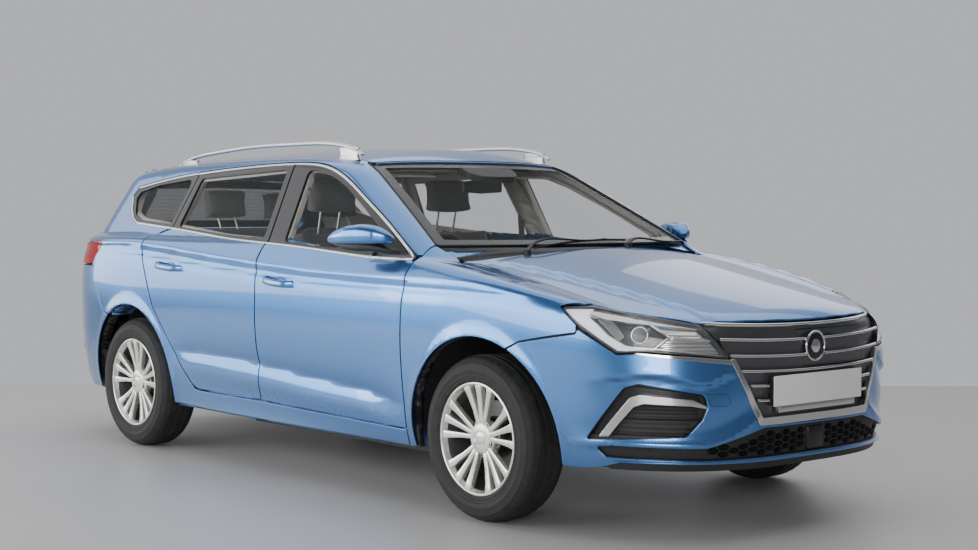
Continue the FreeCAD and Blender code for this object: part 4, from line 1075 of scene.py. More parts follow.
@dataclass(frozen=True)
class ClearGlass(Finish):
    """Tinted glass that lets the light straight through."""

    opacity: float = 0.3

    def make(self) -> bpy.types.Material:
        """Return the material, made once."""
        known = bpy.data.materials.get(self.name)
        if known:
            return known
        material, tree, shader, coordinates = self.tree()
        haze = self.noise(tree, coordinates, 14.0)
        low = [c * 0.94 for c in self.colour]
        tint = self.ramp(tree, haze.outputs["Fac"], low, self.colour)
        tree.links.new(tint.outputs["Color"], shader.inputs["Base Color"])
        shader.inputs["Roughness"].default_value = self.rough
        shader.inputs["Alpha"].default_value = self.opacity
        shader.inputs["IOR"].default_value = 1.5
        return material


@dataclass(frozen=True)
class WovenCloth(Finish):
    """Upholstery cloth with a fine over-and-under weave."""

    def make(self) -> bpy.types.Material:
        """Return the material, made once."""
        known = bpy.data.materials.get(self.name)
        if known:
            return known
        material, tree, shader, coordinates = self.tree()
        waves = []
        for direction in ("X", "Z"):
            wave = tree.nodes.new("ShaderNodeTexWave")
            wave.bands_direction = direction
            wave.inputs["Scale"].default_value = 130.0
            wave.inputs["Distortion"].default_value = 0.8
            wave.inputs["Detail"].default_value = 1.0
            tree.links.new(coordinates.outputs["Object"], wave.inputs["Vector"])
            waves.append(wave)
        weave = tree.nodes.new("ShaderNodeMath")
        weave.operation = "MAXIMUM"
        tree.links.new(waves[0].outputs["Fac"], weave.inputs[0])
        tree.links.new(waves[1].outputs["Fac"], weave.inputs[1])
        low = [c * 0.62 for c in self.colour]
        high = [c * 1.3 for c in self.colour]
        tint = self.ramp(tree, weave.outputs["Value"], low, high, 0.2, 0.9)
        tree.links.new(tint.outputs["Color"], shader.inputs["Base Color"])
        shader.inputs["Roughness"].default_value = self.rough
        self.relief(tree, shader, weave.outputs["Value"], 0.0006)
        return material


@dataclass(frozen=True)
class BrushedMetal(Finish):
    """Metal with fine lines along the car."""

    def make(self) -> bpy.types.Material:
        """Return the material, made once."""
        known = bpy.data.materials.get(self.name)
        if known:
            return known
        material, tree, shader, coordinates = self.tree()
        stretch = tree.nodes.new("ShaderNodeMapping")
        stretch.inputs["Scale"].default_value = (3.0, 90.0, 90.0)
        tree.links.new(coordinates.outputs["Object"], stretch.inputs["Vector"])
        lines = tree.nodes.new("ShaderNodeTexNoise")
        lines.inputs["Scale"].default_value = 12.0
        lines.inputs["Detail"].default_value = 4.0
        tree.links.new(stretch.outputs["Vector"], lines.inputs["Vector"])
        low = [c * (1 - self.mottle) for c in self.colour]
        tint = self.ramp(tree, lines.outputs["Fac"], low, self.colour)
        tree.links.new(tint.outputs["Color"], shader.inputs["Base Color"])
        span = tree.nodes.new("ShaderNodeMapRange")
        span.inputs["To Min"].default_value = max(0.02, self.rough - self.wear)
        span.inputs["To Max"].default_value = self.rough + self.wear
        tree.links.new(lines.outputs["Fac"], span.inputs["Value"])
        tree.links.new(span.outputs["Result"], shader.inputs["Roughness"])
        return material


PAINT = MetallicPaint("blue_metallic_paint", "body_paint", (0.080, 0.245, 0.585), 0.26, 0.85, 1.0)
BUMPER_PAINT = MetallicPaint("blue_bumper_paint", "bumper_paint", (0.080, 0.245, 0.585), 0.26, 0.85, 1.0)
BLACK_PLASTIC = Finish("grained_black_plastic", "black_plastic", (0.018, 0.018, 0.019), 0.52, grain=0.0004,
                       mottle=0.2)
GLOSS_BLACK = Finish("gloss_black", "gloss_black", (0.008, 0.008, 0.009), 0.12, coat=0.6, mottle=0.15)
GRILLE_GREY = Finish("dark_grille_grey", "gloss_black", (0.055, 0.057, 0.06), 0.34, coat=0.3, grain=0.0001,
                     mottle=0.15, mottle_scale=4.0)
CHROME = BrushedMetal("bright_chrome", "satin_rail", (0.86, 0.86, 0.85), 0.10, 1.0, mottle=0.06, wear=0.04)
SATIN = BrushedMetal("satin_aluminium", "satin_rail", (0.72, 0.72, 0.71), 0.30, 1.0, mottle=0.08, wear=0.05)
SIDE_GLASS = ClearGlass("tinted_side_glass", "glass", (0.10, 0.12, 0.115), 0.02, opacity=0.07)
SCREEN_GLASS = ClearGlass("windscreen_glass", "glass", (0.30, 0.33, 0.31), 0.02, opacity=0.03)
PRIVACY_GLASS = ClearGlass("back_window_glass", "glass", (0.045, 0.05, 0.05), 0.03, opacity=0.55)
LAMP_COVER = ClearGlass("clear_lamp_cover", "lamp", (0.82, 0.85, 0.88), 0.02, opacity=0.05)
LAMP_SILVER = BrushedMetal("lamp_reflector", "lamp", (0.80, 0.79, 0.77), 0.16, 1.0, mottle=0.1)
LAMP_DARK = Finish("lamp_bezel", "gloss_black", (0.03, 0.03, 0.033), 0.22, coat=0.4)
LENS = ClearGlass("projector_lens", "lamp", (0.30, 0.36, 0.44), 0.02, opacity=0.55)
DAYLIGHT = Finish("daylight_bar", "lamp", (0.88, 0.91, 0.95), 0.25, mottle=0.02, glow=0.45)
RED_COVER = ClearGlass("red_lamp_cover", "red_lamp", (0.42, 0.010, 0.012), 0.06, opacity=0.82)
RED_BAR = Finish("red_light_bar", "red_lamp", (0.70, 0.02, 0.015), 0.3, glow=0.5, mottle=0.05)
RUBBER = Finish("tyre_rubber", "tyre", (0.021, 0.021, 0.0215), 0.72, grain=0.0006, grain_scale=420.0,
                mottle=0.30, mottle_scale=26.0)
SEAL = Finish("black_rubber_seal", "black_plastic", (0.012, 0.012, 0.012), 0.6, mottle=0.2)
ALLOY = Finish("silver_alloy", "alloy", (0.86, 0.85, 0.80), 0.26, 0.70, 0.6, mottle=0.05, mottle_scale=30.0)
# A dark copy of the silver alloy: painted shade for the wheel's barrel inside the rim.
ALLOY_PAINTED_SHADE = Finish("shaded_alloy", "alloy", (0.16, 0.16, 0.165), 0.4, 0.7, mottle=0.2)
DISC = BrushedMetal("brake_disc", "iron", (0.32, 0.31, 0.30), 0.34, 1.0, mottle=0.3)
IRON = Finish("cast_iron", "iron", (0.075, 0.07, 0.066), 0.62, 0.6, grain=0.0008, grain_scale=200.0,
              mottle=0.3)
STEEL = Finish("coated_steel", "steel", (0.045, 0.046, 0.05), 0.5, 0.3, grain=0.0003, mottle=0.25)
# Near-black felt: the wheel liners' own colour, and painted shade in the handle cups, the bolt recesses and
# behind the intake mesh.
LINER_AND_PAINTED_SHADE = Finish("felted_liner", "black_plastic", (0.010, 0.010, 0.010), 0.9, grain=0.001, grain_scale=300.0,
               mottle=0.3)
SEAT_CLOTH = WovenCloth("dark_seat_cloth", "seat_cloth", (0.095, 0.094, 0.098), 0.85, sheen=0.25)
SEAT_SIDE = Finish("seat_side_cloth", "seat_cloth", (0.040, 0.040, 0.044), 0.7, grain=0.0006,
                   grain_scale=500.0, sheen=0.2, mottle=0.2)
HEADLINING = Finish("pale_headlining", "trim_plastic", (0.50, 0.475, 0.43), 0.9, grain=0.0006,
                    grain_scale=600.0, mottle=0.06)
SOFT_TRIM = Finish("soft_touch_trim", "trim_plastic", (0.038, 0.037, 0.038), 0.6, grain=0.0005,
                   grain_scale=700.0, mottle=0.18)
PLATE_WHITE = Finish("white_plate", "gloss_black", (0.90, 0.90, 0.90), 0.35, coat=0.3, mottle=0.03)
PLATE_YELLOW = Finish("yellow_plate", "gloss_black", (0.80, 0.55, 0.04), 0.35, coat=0.3, mottle=0.03)
SCREEN_DARK = Finish("dark_display", "gloss_black", (0.006, 0.007, 0.009), 0.08, coat=0.5)
MIRROR_FACE = BrushedMetal("mirror_face", "lamp", (0.85, 0.87, 0.88), 0.03, 1.0, mottle=0.02, wear=0.01)
AMBER = ClearGlass("amber_lens", "lamp", (0.75, 0.22, 0.02), 0.1, opacity=0.7)


def dress(piece: bpy.types.Object, finish: Finish, body: str, *nodes: str) -> bpy.types.Object:
    """Give a piece its finish, put it on its body and hide the CAD pieces it stands for.

    Args:
        piece: The new piece.
        finish: Its finish.
        body: The CAD body it rides on.
        nodes: The CAD pieces it stands for.

    Returns:
        The piece.
    """
    if not piece.data.materials:
        piece.data.materials.append(finish.make())
    else:
        piece.data.materials[0] = finish.make()
    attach(piece, body)
    if nodes:
        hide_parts(*nodes)
    LOG.info("piece %s on %s, %d faces", piece.name, body, len(piece.data.polygons))
    return piece


class Assembly:
    """A group of pieces that is built and dressed together."""

    def build(self) -> None:
        """Build and dress every piece of the group."""
        raise NotImplementedError


# ------------------------------------------------------------------ body panels
BELT = Curve(((-1.72, 1.139), (-1.40, 1.1185), (-1.10, 1.101), (-0.80, 1.080), (-0.50, 1.0605),
              (-0.20, 1.047), (0.10, 1.033), (0.40, 1.014), (0.65, 1.001), (0.90, 1.000)))
UPPER = Curve(((-1.655, 1.307), (-1.436, 1.338), (-1.25, 1.359), (-1.047, 1.376), (-0.65, 1.399),
               (-0.262, 1.411), (-0.056, 1.405), (0.105, 1.377), (0.223, 1.336), (0.400, 1.254),
               (0.600, 1.157), (0.736, 1.085), (0.868, 1.012)))


def along(curve: Curve, start: float, end: float, count: int = 12, shift: float = 0.0) -> Outline:
    """Return rows along a curve, raised by shift."""
    return [(float(x), float(curve(x)) + shift) for x in np.linspace(start, end, count)]


@dataclass
class Bodywork(Assembly):
    """The painted panels, laid as sheets on the body surface over the drawn-in CAD shells.

    Outlines are rows in the chart named by each method, left half only where the panel is
    the same on both sides.
    """

    gap: float = 0.0025
    door_front: tuple = ((0.873, 0.318), (0.869, 0.62), (0.877, 0.80), (0.893, 0.93), (0.898, 0.990))
    pillar_line: tuple = ((-0.1775, 1.0405), (-0.180, 0.60), (-0.1755, 0.338))
    rear_door_back: tuple = ((-1.100, 1.097), (-1.200, 1.073), (-1.222, 1.000), (-1.193, 0.923),
                             (-1.124, 0.767), (-1.098, 0.719), (-0.882, 0.470), (-0.748, 0.342))
    front_window: tuple = ((0.664, 1.032), (0.655, 1.080), (0.600, 1.110), (0.415, 1.208), (0.240, 1.296),
                           (0.115, 1.343), (-0.035, 1.374), (-0.097, 1.377), (-0.060, 1.058),
                           (0.250, 1.040))
    rear_window: tuple = ((-0.232, 1.066), (-0.272, 1.380), (-1.012, 1.348), (-1.040, 1.112),
                          (-0.600, 1.082))
    quarter_window: tuple = ((-1.128, 1.124), (-1.098, 1.345), (-1.430, 1.318), (-1.612, 1.286),
                             (-1.640, 1.255), (-1.570, 1.172), (-1.470, 1.140))
    hood_edge: tuple = ((2.212, 0.0), (2.210, 0.10), (2.196, 0.25), (2.168, 0.38), (2.122, 0.497),
                        (1.963, 0.618), (1.860, 0.675), (1.790, 0.703), (1.697, 0.722), (1.514, 0.755),
                        (1.330, 0.772), (1.200, 0.770), (1.110, 0.757), (1.045, 0.722))
    screen_foot: float = 1.052
    screen_side: tuple = ((0.729, 1.056), (0.563, 1.402))
    lamp_outline: tuple = ((1.718, 0.812, 0.848), (1.790, 0.706, 0.8540), (1.963, 0.621, 0.8215),
                           (2.118, 0.503, 0.7910), (2.209, 0.431, 0.667), (2.139, 0.563, 0.682),
                           (2.029, 0.679, 0.695), (1.936, 0.741, 0.687), (1.878, 0.771, 0.727),
                           (1.799, 0.800, 0.780))
    fog_outline: tuple = ((1.815, 0.776, 0.367), (1.958, 0.727, 0.563), (2.007, 0.699, 0.578),
                          (2.173, 0.526, 0.541), (2.179, 0.517, 0.497), (2.170, 0.532, 0.451),
                          (2.134, 0.577, 0.389), (1.842, 0.767, 0.371))
    intake: tuple = ((0.0, 0.411), (0.292, 0.411), (0.517, 0.345), (0.740, 0.350), (0.762, 0.342),
                     (0.739, 0.306), (0.517, 0.300), (0.210, 0.302))
    grille_side: tuple = ((0.318, 0.423), (0.433, 0.664))
    skirt_z: float = 0.258
    tail_lamp: tuple = ((-1.660, 0.873, 1.029), (-1.679, 0.872, 1.008), (-1.780, 0.871, 0.912),
                        (-1.865, 0.854, 0.906), (-2.120, 0.668, 0.905), (-2.080, 0.668, 1.016),
                        (-1.872, 0.838, 1.017))
    tailgate_edge: tuple = ((0.0, 0.612), (0.560, 0.612), (0.600, 0.700), (0.612, 0.900),
                            (0.652, 1.035), (0.530, 1.383), (0.0, 1.392))
    back_window: tuple = ((0.0, 1.088), (0.515, 1.088), (0.532, 1.12), (0.445, 1.352), (0.0, 1.362))
    roof_seam: float = 0.546

    def arch(self, axle: float, start: float, end: float) -> Array:
        """Return points round a wheel arch between two angles in degrees."""
        return on(Chart.SIDE, arc((axle, AXLE_Z), ARCH_RADIUS + 0.001, start, end))

    def screen_top(self, shift: float = 0.0, count: int = 9) -> Outline:
        """Return the left half of the windscreen's top edge in the top chart."""
        return [(0.325 + shift - 0.33 * y * y, y) for y in np.linspace(0.0, 0.533, count)]

    def screen_edge(self, shift: float = 0.0) -> Array:
        """Return points up the windscreen's left edge, moved outwards by shift."""
        (y0, z0), (y1, z1) = self.screen_side
        rows = [(y0 + (y1 - y0) * t + shift, z0 + (z1 - z0) * t) for t in np.linspace(0, 1, 8)]
        return on(Chart.FRONT, rows)

    def both(self, sheet: Sheet, finish: Finish, body: str, nodes: Sequence[str] = ()) -> None:
        """Build a left sheet and its mirror image, on bodies whose names end in the side."""
        for side, word in SIDES:
            names = [node.replace("SIDE", word) for node in nodes]
            piece = sheet.build(f"{sheet.name}_{word}", side)
            dress(piece, finish, body.replace("SIDE", word), *names)

    def build(self) -> None:
        """Build every painted panel and the shells behind them."""
        self.doors()
        self.side_frame()
        self.fenders()
        self.hood()
        self.front_bumper()
        self.rear_bumper()
        self.roof()
        self.tailgate()
        self.shells()

    def doors(self) -> None:
        """Build the door skins and the black frames round their windows."""
        front = list(self.door_front) + along(BELT, 0.885, -0.1775, 14, -0.004) + list(self.pillar_line)[1:]
        self.both(Sheet("front_door_skin", Chart.SIDE, rounded(front, 0.010), thickness=0.008),
                  PAINT, "front_door_SIDE")
        rear = along(BELT, -0.1855, -1.096, 12, -0.004) + list(self.rear_door_back)[1:]
        rear += [(-0.1835, 0.340), (-0.188, 0.60)]
        radii = [0.008] * 12 + [0.02, 0.04, 0.05, 0.1, 0.1, 0.12, 0.10, 0.01, 0.02]
        self.both(Sheet("rear_door_skin", Chart.SIDE, rounded(rear, radii), thickness=0.008),
                  PAINT, "rear_door_SIDE")
        frame_front = along(BELT, 0.884, -0.1785, 14, -0.003)
        frame_front += along(UPPER, -0.226, 0.872, 26, 0.003)
        self.both(Sheet("front_door_frame", Chart.SIDE, rounded(frame_front, 0.004),
                        [rounded(list(self.front_window), 0.022)], depth=0.004, thickness=0.012),
                  GLOSS_BLACK, "front_door_SIDE")
        frame_rear = along(BELT, -0.1865, -1.098, 12, -0.003)
        frame_rear += along(UPPER, -1.052, -0.234, 12, 0.003)
        self.both(Sheet("rear_door_frame", Chart.SIDE, rounded(frame_rear, 0.004),
                        [rounded(list(self.rear_window), 0.020)], depth=0.004, thickness=0.012),
                  GLOSS_BLACK, "rear_door_SIDE")

    def side_frame(self) -> None:
        """Build the sill, rear quarter, roof rail and windscreen pillar as one skin."""
        sill = on(Chart.SIDE, [(0.872, 0.246), (0.30, 0.248), (-0.30, 0.250), (-0.80, 0.252)])
        rear_arch = self.arch(REAR_AXLE_X, -10.0, 122.0)
        seam = on(Chart.SIDE, [(-1.632, 0.674), (-1.674, 0.724), (-1.783, 0.908)])
        lamp = on(Chart.TAIL, tail_rows(self.tail_lamp)[1::-1]) + 0.0
        lamp_top = on(Chart.TAIL, [tuple(np.add(r, (0, 0.004))) for r in
                                   (tail_rows(self.tail_lamp)[-1], tail_rows(self.tail_lamp)[-2])])
        gate = on(Chart.BACK, [(0.664, 1.038), (0.600, 1.22), (0.546, 1.372)])
        seam_top = on(Chart.TOP, [(x, self.roof_seam + 0.002) for x in np.linspace(-1.80, 0.20, 16)])
        screen = self.screen_edge(0.006)[::-1]
        foot = on(Chart.SIDE, [(0.905, 1.016)])
        top = on(Chart.SIDE, along(UPPER, 0.872, -1.655, 44, 0.006))
        quarter = on(Chart.SIDE, [(-1.690, 1.262), (-1.600, 1.165), (-1.520, 1.128)]
                     + along(BELT, -1.46, -1.150, 6, 0.0))
        door_back = on(Chart.SIDE, [(-1.140, 1.096), (-1.205, 1.079), (-1.229, 1.000), (-1.200, 0.921),
                                    (-1.131, 0.764), (-1.104, 0.715), (-0.888, 0.466), (-0.760, 0.338),
                                    (-0.700, 0.332)])
        bottom = on(Chart.SIDE, [(-0.18, 0.331), (0.872, 0.311)])
        loop = outline_on(Chart.SHOULDER, sill, rear_arch, seam, lamp, lamp_top, gate, seam_top, screen,
                          foot, top, quarter, door_back, bottom, radius=0.005)
        self.both(Sheet("body_side", Chart.SHOULDER, loop, thickness=0.008), PAINT, "car_body")
        border = along(BELT, -1.102, -1.50, 8, 0.002) + [(-1.600, 1.168), (-1.688, 1.262), (-1.655, 1.309)]
        border += along(UPPER, -1.60, -1.056, 10, 0.004)
        self.both(Sheet("quarter_border", Chart.SIDE, rounded(border, 0.008),
                        [rounded(list(self.quarter_window), 0.030)], depth=0.003, thickness=0.012),
                  GLOSS_BLACK, "car_body")

    def fenders(self) -> None:
        """Build the front fenders."""
        g = 0.005
        arch = self.arch(FRONT_AXLE_X, 190.6, 65.0)
        seam = on(Chart.SIDE, [(1.545, 0.712), (1.790, 0.756)])
        lamp = on(Chart.NOSE, nose_rows([(1.790, 0.803, 0.784), (1.713, 0.815, 0.8505),
                                         (1.786, 0.708, 0.8560)]))
        edge = [(x, y + g) for x, y in self.hood_edge[8:]]
        hood = on(Chart.TOP, edge)
        corner = on(Chart.TOP, [(1.010, 0.716)])
        screen = on(Chart.FRONT, [(0.737, 1.052)])
        foot = on(Chart.SIDE, [(0.908, 1.009), (0.904, 0.985), (0.899, 0.93), (0.883, 0.80), (0.8755, 0.62),
                               (0.879, 0.318), (0.879, 0.246)])
        loop = outline_on(Chart.SHOULDER, arch, seam, lamp, hood, corner, screen, foot, radius=0.006)
        self.both(Sheet("fender_skin", Chart.SHOULDER, loop, thickness=0.008), PAINT, "car_body")

    def hood(self) -> None:
        """Build the hood skin."""
        rows = list(self.hood_edge) + [(1.080, 0.600), (1.140, 0.380), (1.165, 0.18), (1.172, 0.0)]
        both = rows + [(x, -y) for x, y in reversed(rows) if y > 1e-9]
        radii = [0.0] * 4 + [0.03] + [0.06] * 8 + [0.03] + [0.05] * 3 + [0.0]
        radii = radii + radii[:0:-1][:len(both) - len(radii)]
        loop = rounded(both, radii)
        piece = Sheet("hood_skin", Chart.TOP, loop, thickness=0.010, roll=0.003, spacing=0.021).build()
        dress(piece, PAINT, "hood")

    def front_bumper(self) -> None:
        """Build the painted front bumper."""
        lamp = nose_rows(self.lamp_outline)
        left = [(0.0, 0.4175)]
        left += [tuple(r) for r in flatten(Chart.NOSE, on(Chart.FRONT, self.grille_side))]
        for u, v in lamp[5:9]:
            left.append((u, v - 0.006))
        left.append((lamp[9][0] + 0.004, lamp[9][1] - 0.010))
        left += [tuple(r) for r in flatten(Chart.NOSE, on(Chart.SIDE, [(1.790, 0.751), (1.545, 0.707)]))]
        left += [tuple(r) for r in flatten(Chart.NOSE, self.arch(FRONT_AXLE_X, 64.2, -9.0))]
        left += [(u, self.skirt_z) for u in np.linspace(left[-1][0] - 0.02, 0.92, 5)]
        left += [(0.86, 0.270)] + [(u, 0.288) for u in np.linspace(0.80, 0.0, 10)]
        holes = [rounded(self.half(self.intake), 0.008)]
        for sign in (1, -1):
            fog = [(sign * u, v) for u, v in nose_rows(self.fog_outline)]
            holes.append(rounded(fog, 0.026))
        sheet = Sheet("bumper_skin", Chart.NOSE, rounded(both_halves(left), 0.008), holes, thickness=0.007,
                      roll=0.003, spacing=0.014)
        dress(sheet.build(), BUMPER_PAINT, "car_body")

    def half(self, rows: Sequence[tuple[float, float]]) -> Outline:
        """Return a whole nose outline from the left half of a front one."""
        flat = flatten(Chart.NOSE, on(Chart.FRONT, rows))
        return both_halves([(u if abs(r[0]) > 1e-9 else 0.0, v) for (u, v), r in zip(flat, rows)])

    def rear_bumper(self) -> None:
        """Build the painted rear bumper and its black lower panel."""
        left = [(0.0, 0.604), (0.560, 0.604), (0.607, 0.698), (0.619, 0.897)]
        flat = [tuple(r) for r in flatten(Chart.TAIL, on(Chart.BACK, left))]
        flat[0] = (0.0, 0.604)
        flat += [tuple(r) for r in flatten(Chart.TAIL, on(Chart.SIDE, [(-1.776, 0.899), (-1.668, 0.718),
                                                                      (-1.628, 0.668)]))]
        flat += [tuple(r) for r in flatten(Chart.TAIL, self.arch(REAR_AXLE_X, 123.0, 189.0))]
        flat += [(u, 0.262) for u in np.linspace(flat[-1][0] - 0.02, 0.66, 10)]
        flat += [(0.645, 0.31), (0.60, 0.40), (0.0, 0.408)]
        loop = rounded(both_halves(flat), 0.010)
        dress(Sheet("rear_bumper_skin", Chart.TAIL, loop, thickness=0.007, roll=0.003).build(),
              BUMPER_PAINT, "car_body")
        lower = [(0.0, 0.403), (0.597, 0.395), (0.640, 0.31), (0.655, 0.258), (0.0, 0.252)]
        dress(Sheet("rear_valance", Chart.TAIL, rounded(both_halves(lower), 0.006), depth=0.004,
                    thickness=0.012).build(), BLACK_PLASTIC, "car_body")

    def roof(self) -> None:
        """Build the roof skin."""
        front = [(x + 0.008, y) for x, y in self.screen_top()]
        rows = front + [(x, self.roof_seam - 0.002) for x in np.linspace(0.20, -1.795, 20)] + [(-1.800, 0.0)]
        loop = rounded(rows + [(x, -y) for x, y in reversed(rows) if abs(y) > 1e-9], 0.004, 0.016)
        dress(Sheet("roof_skin", Chart.TOP, loop, thickness=0.008, spacing=0.030).build(), PAINT, "car_body")

    def tailgate(self) -> None:
        """Build the tailgate skin and its spoiler."""
        edge = rounded(both_halves(self.tailgate_edge), 0.02)
        window = rounded(both_halves(self.back_window), 0.04)
        dress(Sheet("tailgate_skin", Chart.BACK, edge, [window], thickness=0.010, roll=0.003).build(),
              PAINT, "tailgate")
        corners = [(-1.822, -0.49, 1.392), (-1.822, 0.49, 1.392), (-1.935, 0.475, 1.386),
                   (-1.982, 0.30, 1.388), (-1.986, 0.0, 1.389), (-1.982, -0.30, 1.388),
                   (-1.935, -0.475, 1.386)]
        spoiler = plate("roof_spoiler", corners, (0.0, 0.0, 0.020), 0.008, 3)
        places = spoiler.data.vertices
        for vertex in places:
            if vertex.co.z > 1.398:
                share = (-1.822 - vertex.co.x) / 0.165
                crown = 0.018 * (vertex.co.y / 0.5) ** 2
                vertex.co.z = 1.424 - 0.022 * share - crown
        dress(spoiler, PAINT, "tailgate")

    def shells(self) -> None:
        """Show the CAD panels' inner structure, drawn in behind the skins."""
        rows = [("hood", "hood", PAINT, 0.014), ("tailgate", "tailgate", PAINT, 0.016),
                ("fenders", "car_body", STEEL, 0.016), ("front_bumper", "car_body", BLACK_PLASTIC, 0.020),
                ("rear_bumper", "car_body", BLACK_PLASTIC, 0.020),
                ("roof_panel", "car_body", HEADLINING, 0.014)]
        for _, word in SIDES:
            rows.append((f"side_frame_{word}", "car_body", PAINT, 0.014))
            rows.append((f"front_door_{word}", f"front_door_{word}", PAINT, 0.016))
            rows.append((f"rear_door_{word}", f"rear_door_{word}", PAINT, 0.016))
        for node, body, finish, depth in rows:
            shell = tucked(node, f"{node}_shell", depth)
            dress(shell, finish, body, node)
            if "side_frame" in node or "door" in node:
                self.line_cabin(shell)

    def line_cabin(self, shell: bpy.types.Object) -> None:
        """Give the part of a shell round the windows its cabin trim."""
        shell.data.materials.append(HEADLINING.make())
        for face in shell.data.polygons:
            if face.center.z > 1.07:
                face.material_index = 1


# ------------------------------------------------------------------ glass
@dataclass
class Glazing(Assembly):
    """The windscreen, side, quarter and back windows with their black borders."""

    body: Bodywork

    def pane(self, name: str, outline: Sequence[tuple[float, float]], body: str, node: str,
             finish: Finish) -> None:
        """Build a side window a little larger than its opening, on both sides."""
        loop = rounded(list(outline), 0.022)
        loop = loop + outwards(loop) * 0.006
        sheet = Sheet(name, Chart.SIDE, loop, depth=0.009, thickness=0.004, roll=0.0008, spacing=0.02)
        self.body.both(sheet, finish, body, [node])

    def build(self) -> None:
        """Build every window."""
        b = self.body
        self.pane("front_door_window", b.front_window, "front_door_SIDE", "front_door_glass_SIDE", SIDE_GLASS)
        self.pane("rear_door_window", b.rear_window, "rear_door_SIDE", "rear_door_glass_SIDE", SIDE_GLASS)
        self.pane("quarter_window", b.quarter_window, "car_body", "quarter_glass", SIDE_GLASS)
        self.windscreen()
        self.back_window()

    def screen_loop(self, inset: float) -> Array:
        """Return the windscreen's outline in the top chart, moved inwards."""
        b = self.body
        foot = on(Chart.FRONT, [(y, b.screen_foot + 0.004) for y in np.linspace(0.0, 0.70, 12)])
        side = b.screen_edge(0.0)
        top = on(Chart.TOP, b.screen_top()[::-1])
        flat = flatten(Chart.TOP, np.concatenate([foot, side, top]))
        rows = [tuple(r) for r in flat]
        rows[0], rows[-1] = (rows[0][0], 0.0), (rows[-1][0], 0.0)
        whole = rows + [(x, -y) for x, y in reversed(rows[1:-1])]
        loop = rounded(whole, 0.03, 0.012)
        return loop - outwards(loop) * inset

    def windscreen(self) -> None:
        """Build the windscreen, its black border and the sensor cover."""
        sheet = Sheet("windscreen_pane", Chart.TOP, self.screen_loop(0.003), depth=0.002, thickness=0.005,
                      roll=0.001, spacing=0.025)
        dress(sheet.build(), SCREEN_GLASS, "car_body", "windscreen")
        inner = inset(self.screen_loop(0.0), 0.050, 0.03)
        border = Sheet("windscreen_border", Chart.TOP, self.screen_loop(0.006), [inner], depth=0.0082,
                       thickness=0.002, roll=0.0005, spacing=0.02)
        dress(border.build(), GLOSS_BLACK, "car_body")
        seal = Strip("windscreen_seal", on(Chart.TOP, [tuple(r) for r in self.screen_loop(-0.003)]), 0.010,
                     0.0012, 0.010, closed=True)
        dress(seal.build(), SEAL, "car_body")
        cover = [(0.305, -0.02), (0.31, 0.10), (0.345, 0.15), (0.42, 0.145), (0.455, 0.10), (0.462, 0.0)]
        cover[0] = (0.305, 0.0)
        rows = [(x, y) for x, y in cover] + [(x, -y) for x, y in reversed(cover) if abs(y) > 1e-9]
        dress(Sheet("sensor_cover", Chart.TOP, rounded(rows, 0.03), depth=0.0085, thickness=0.030).build(),
              BLACK_PLASTIC, "car_body")
        strip = Sheet("cowl_panel", Chart.TOP, rounded(
            [(1.135, -0.64), (1.215, -0.30), (1.235, 0.0), (1.215, 0.30), (1.135, 0.64), (1.00, 0.69),
             (1.09, 0.30), (1.105, 0.0), (1.09, -0.30), (1.00, -0.69)], 0.01), depth=0.022, thickness=0.008)
        dress(strip.build(), BLACK_PLASTIC, "car_body", "cowl")

    def back_window(self) -> None:
        """Build the tailgate's window with its border and heating lines."""
        loop = rounded(both_halves(self.body.back_window), 0.04)
        sheet = Sheet("tailgate_window", Chart.BACK, loop - outwards(loop) * 0.003, depth=0.003,
                      thickness=0.005, roll=0.001, spacing=0.02)
        dress(sheet.build(), PRIVACY_GLASS, "tailgate", "tailgate_glass")
        border = Sheet("tailgate_window_border", Chart.BACK, loop - outwards(loop) * 0.004,
                       [inset(loop, 0.045)], depth=0.009, thickness=0.002, roll=0.0005)
        dress(border.build(), GLOSS_BLACK, "tailgate")
        lines = []
        for i in range(9):
            z = 1.145 + 0.021 * i
            half = 0.485 - (z - 1.09) * 0.30
            path = on(Chart.BACK, [(y, z) for y in np.linspace(-half, half, 24)])
            lines.append(Strip(f"heating_line_{i}", path - FORM.normals(path) * 0.0085, 0.0012, 0.0003,
                               0.0002).build())
        dress(merge(lines, "heating_lines"), BLACK_PLASTIC, "tailgate")


def sunk(path: Array, depth: float) -> Array:
    """Return body points moved under the surface."""
    return path - FORM.normals(path) * depth


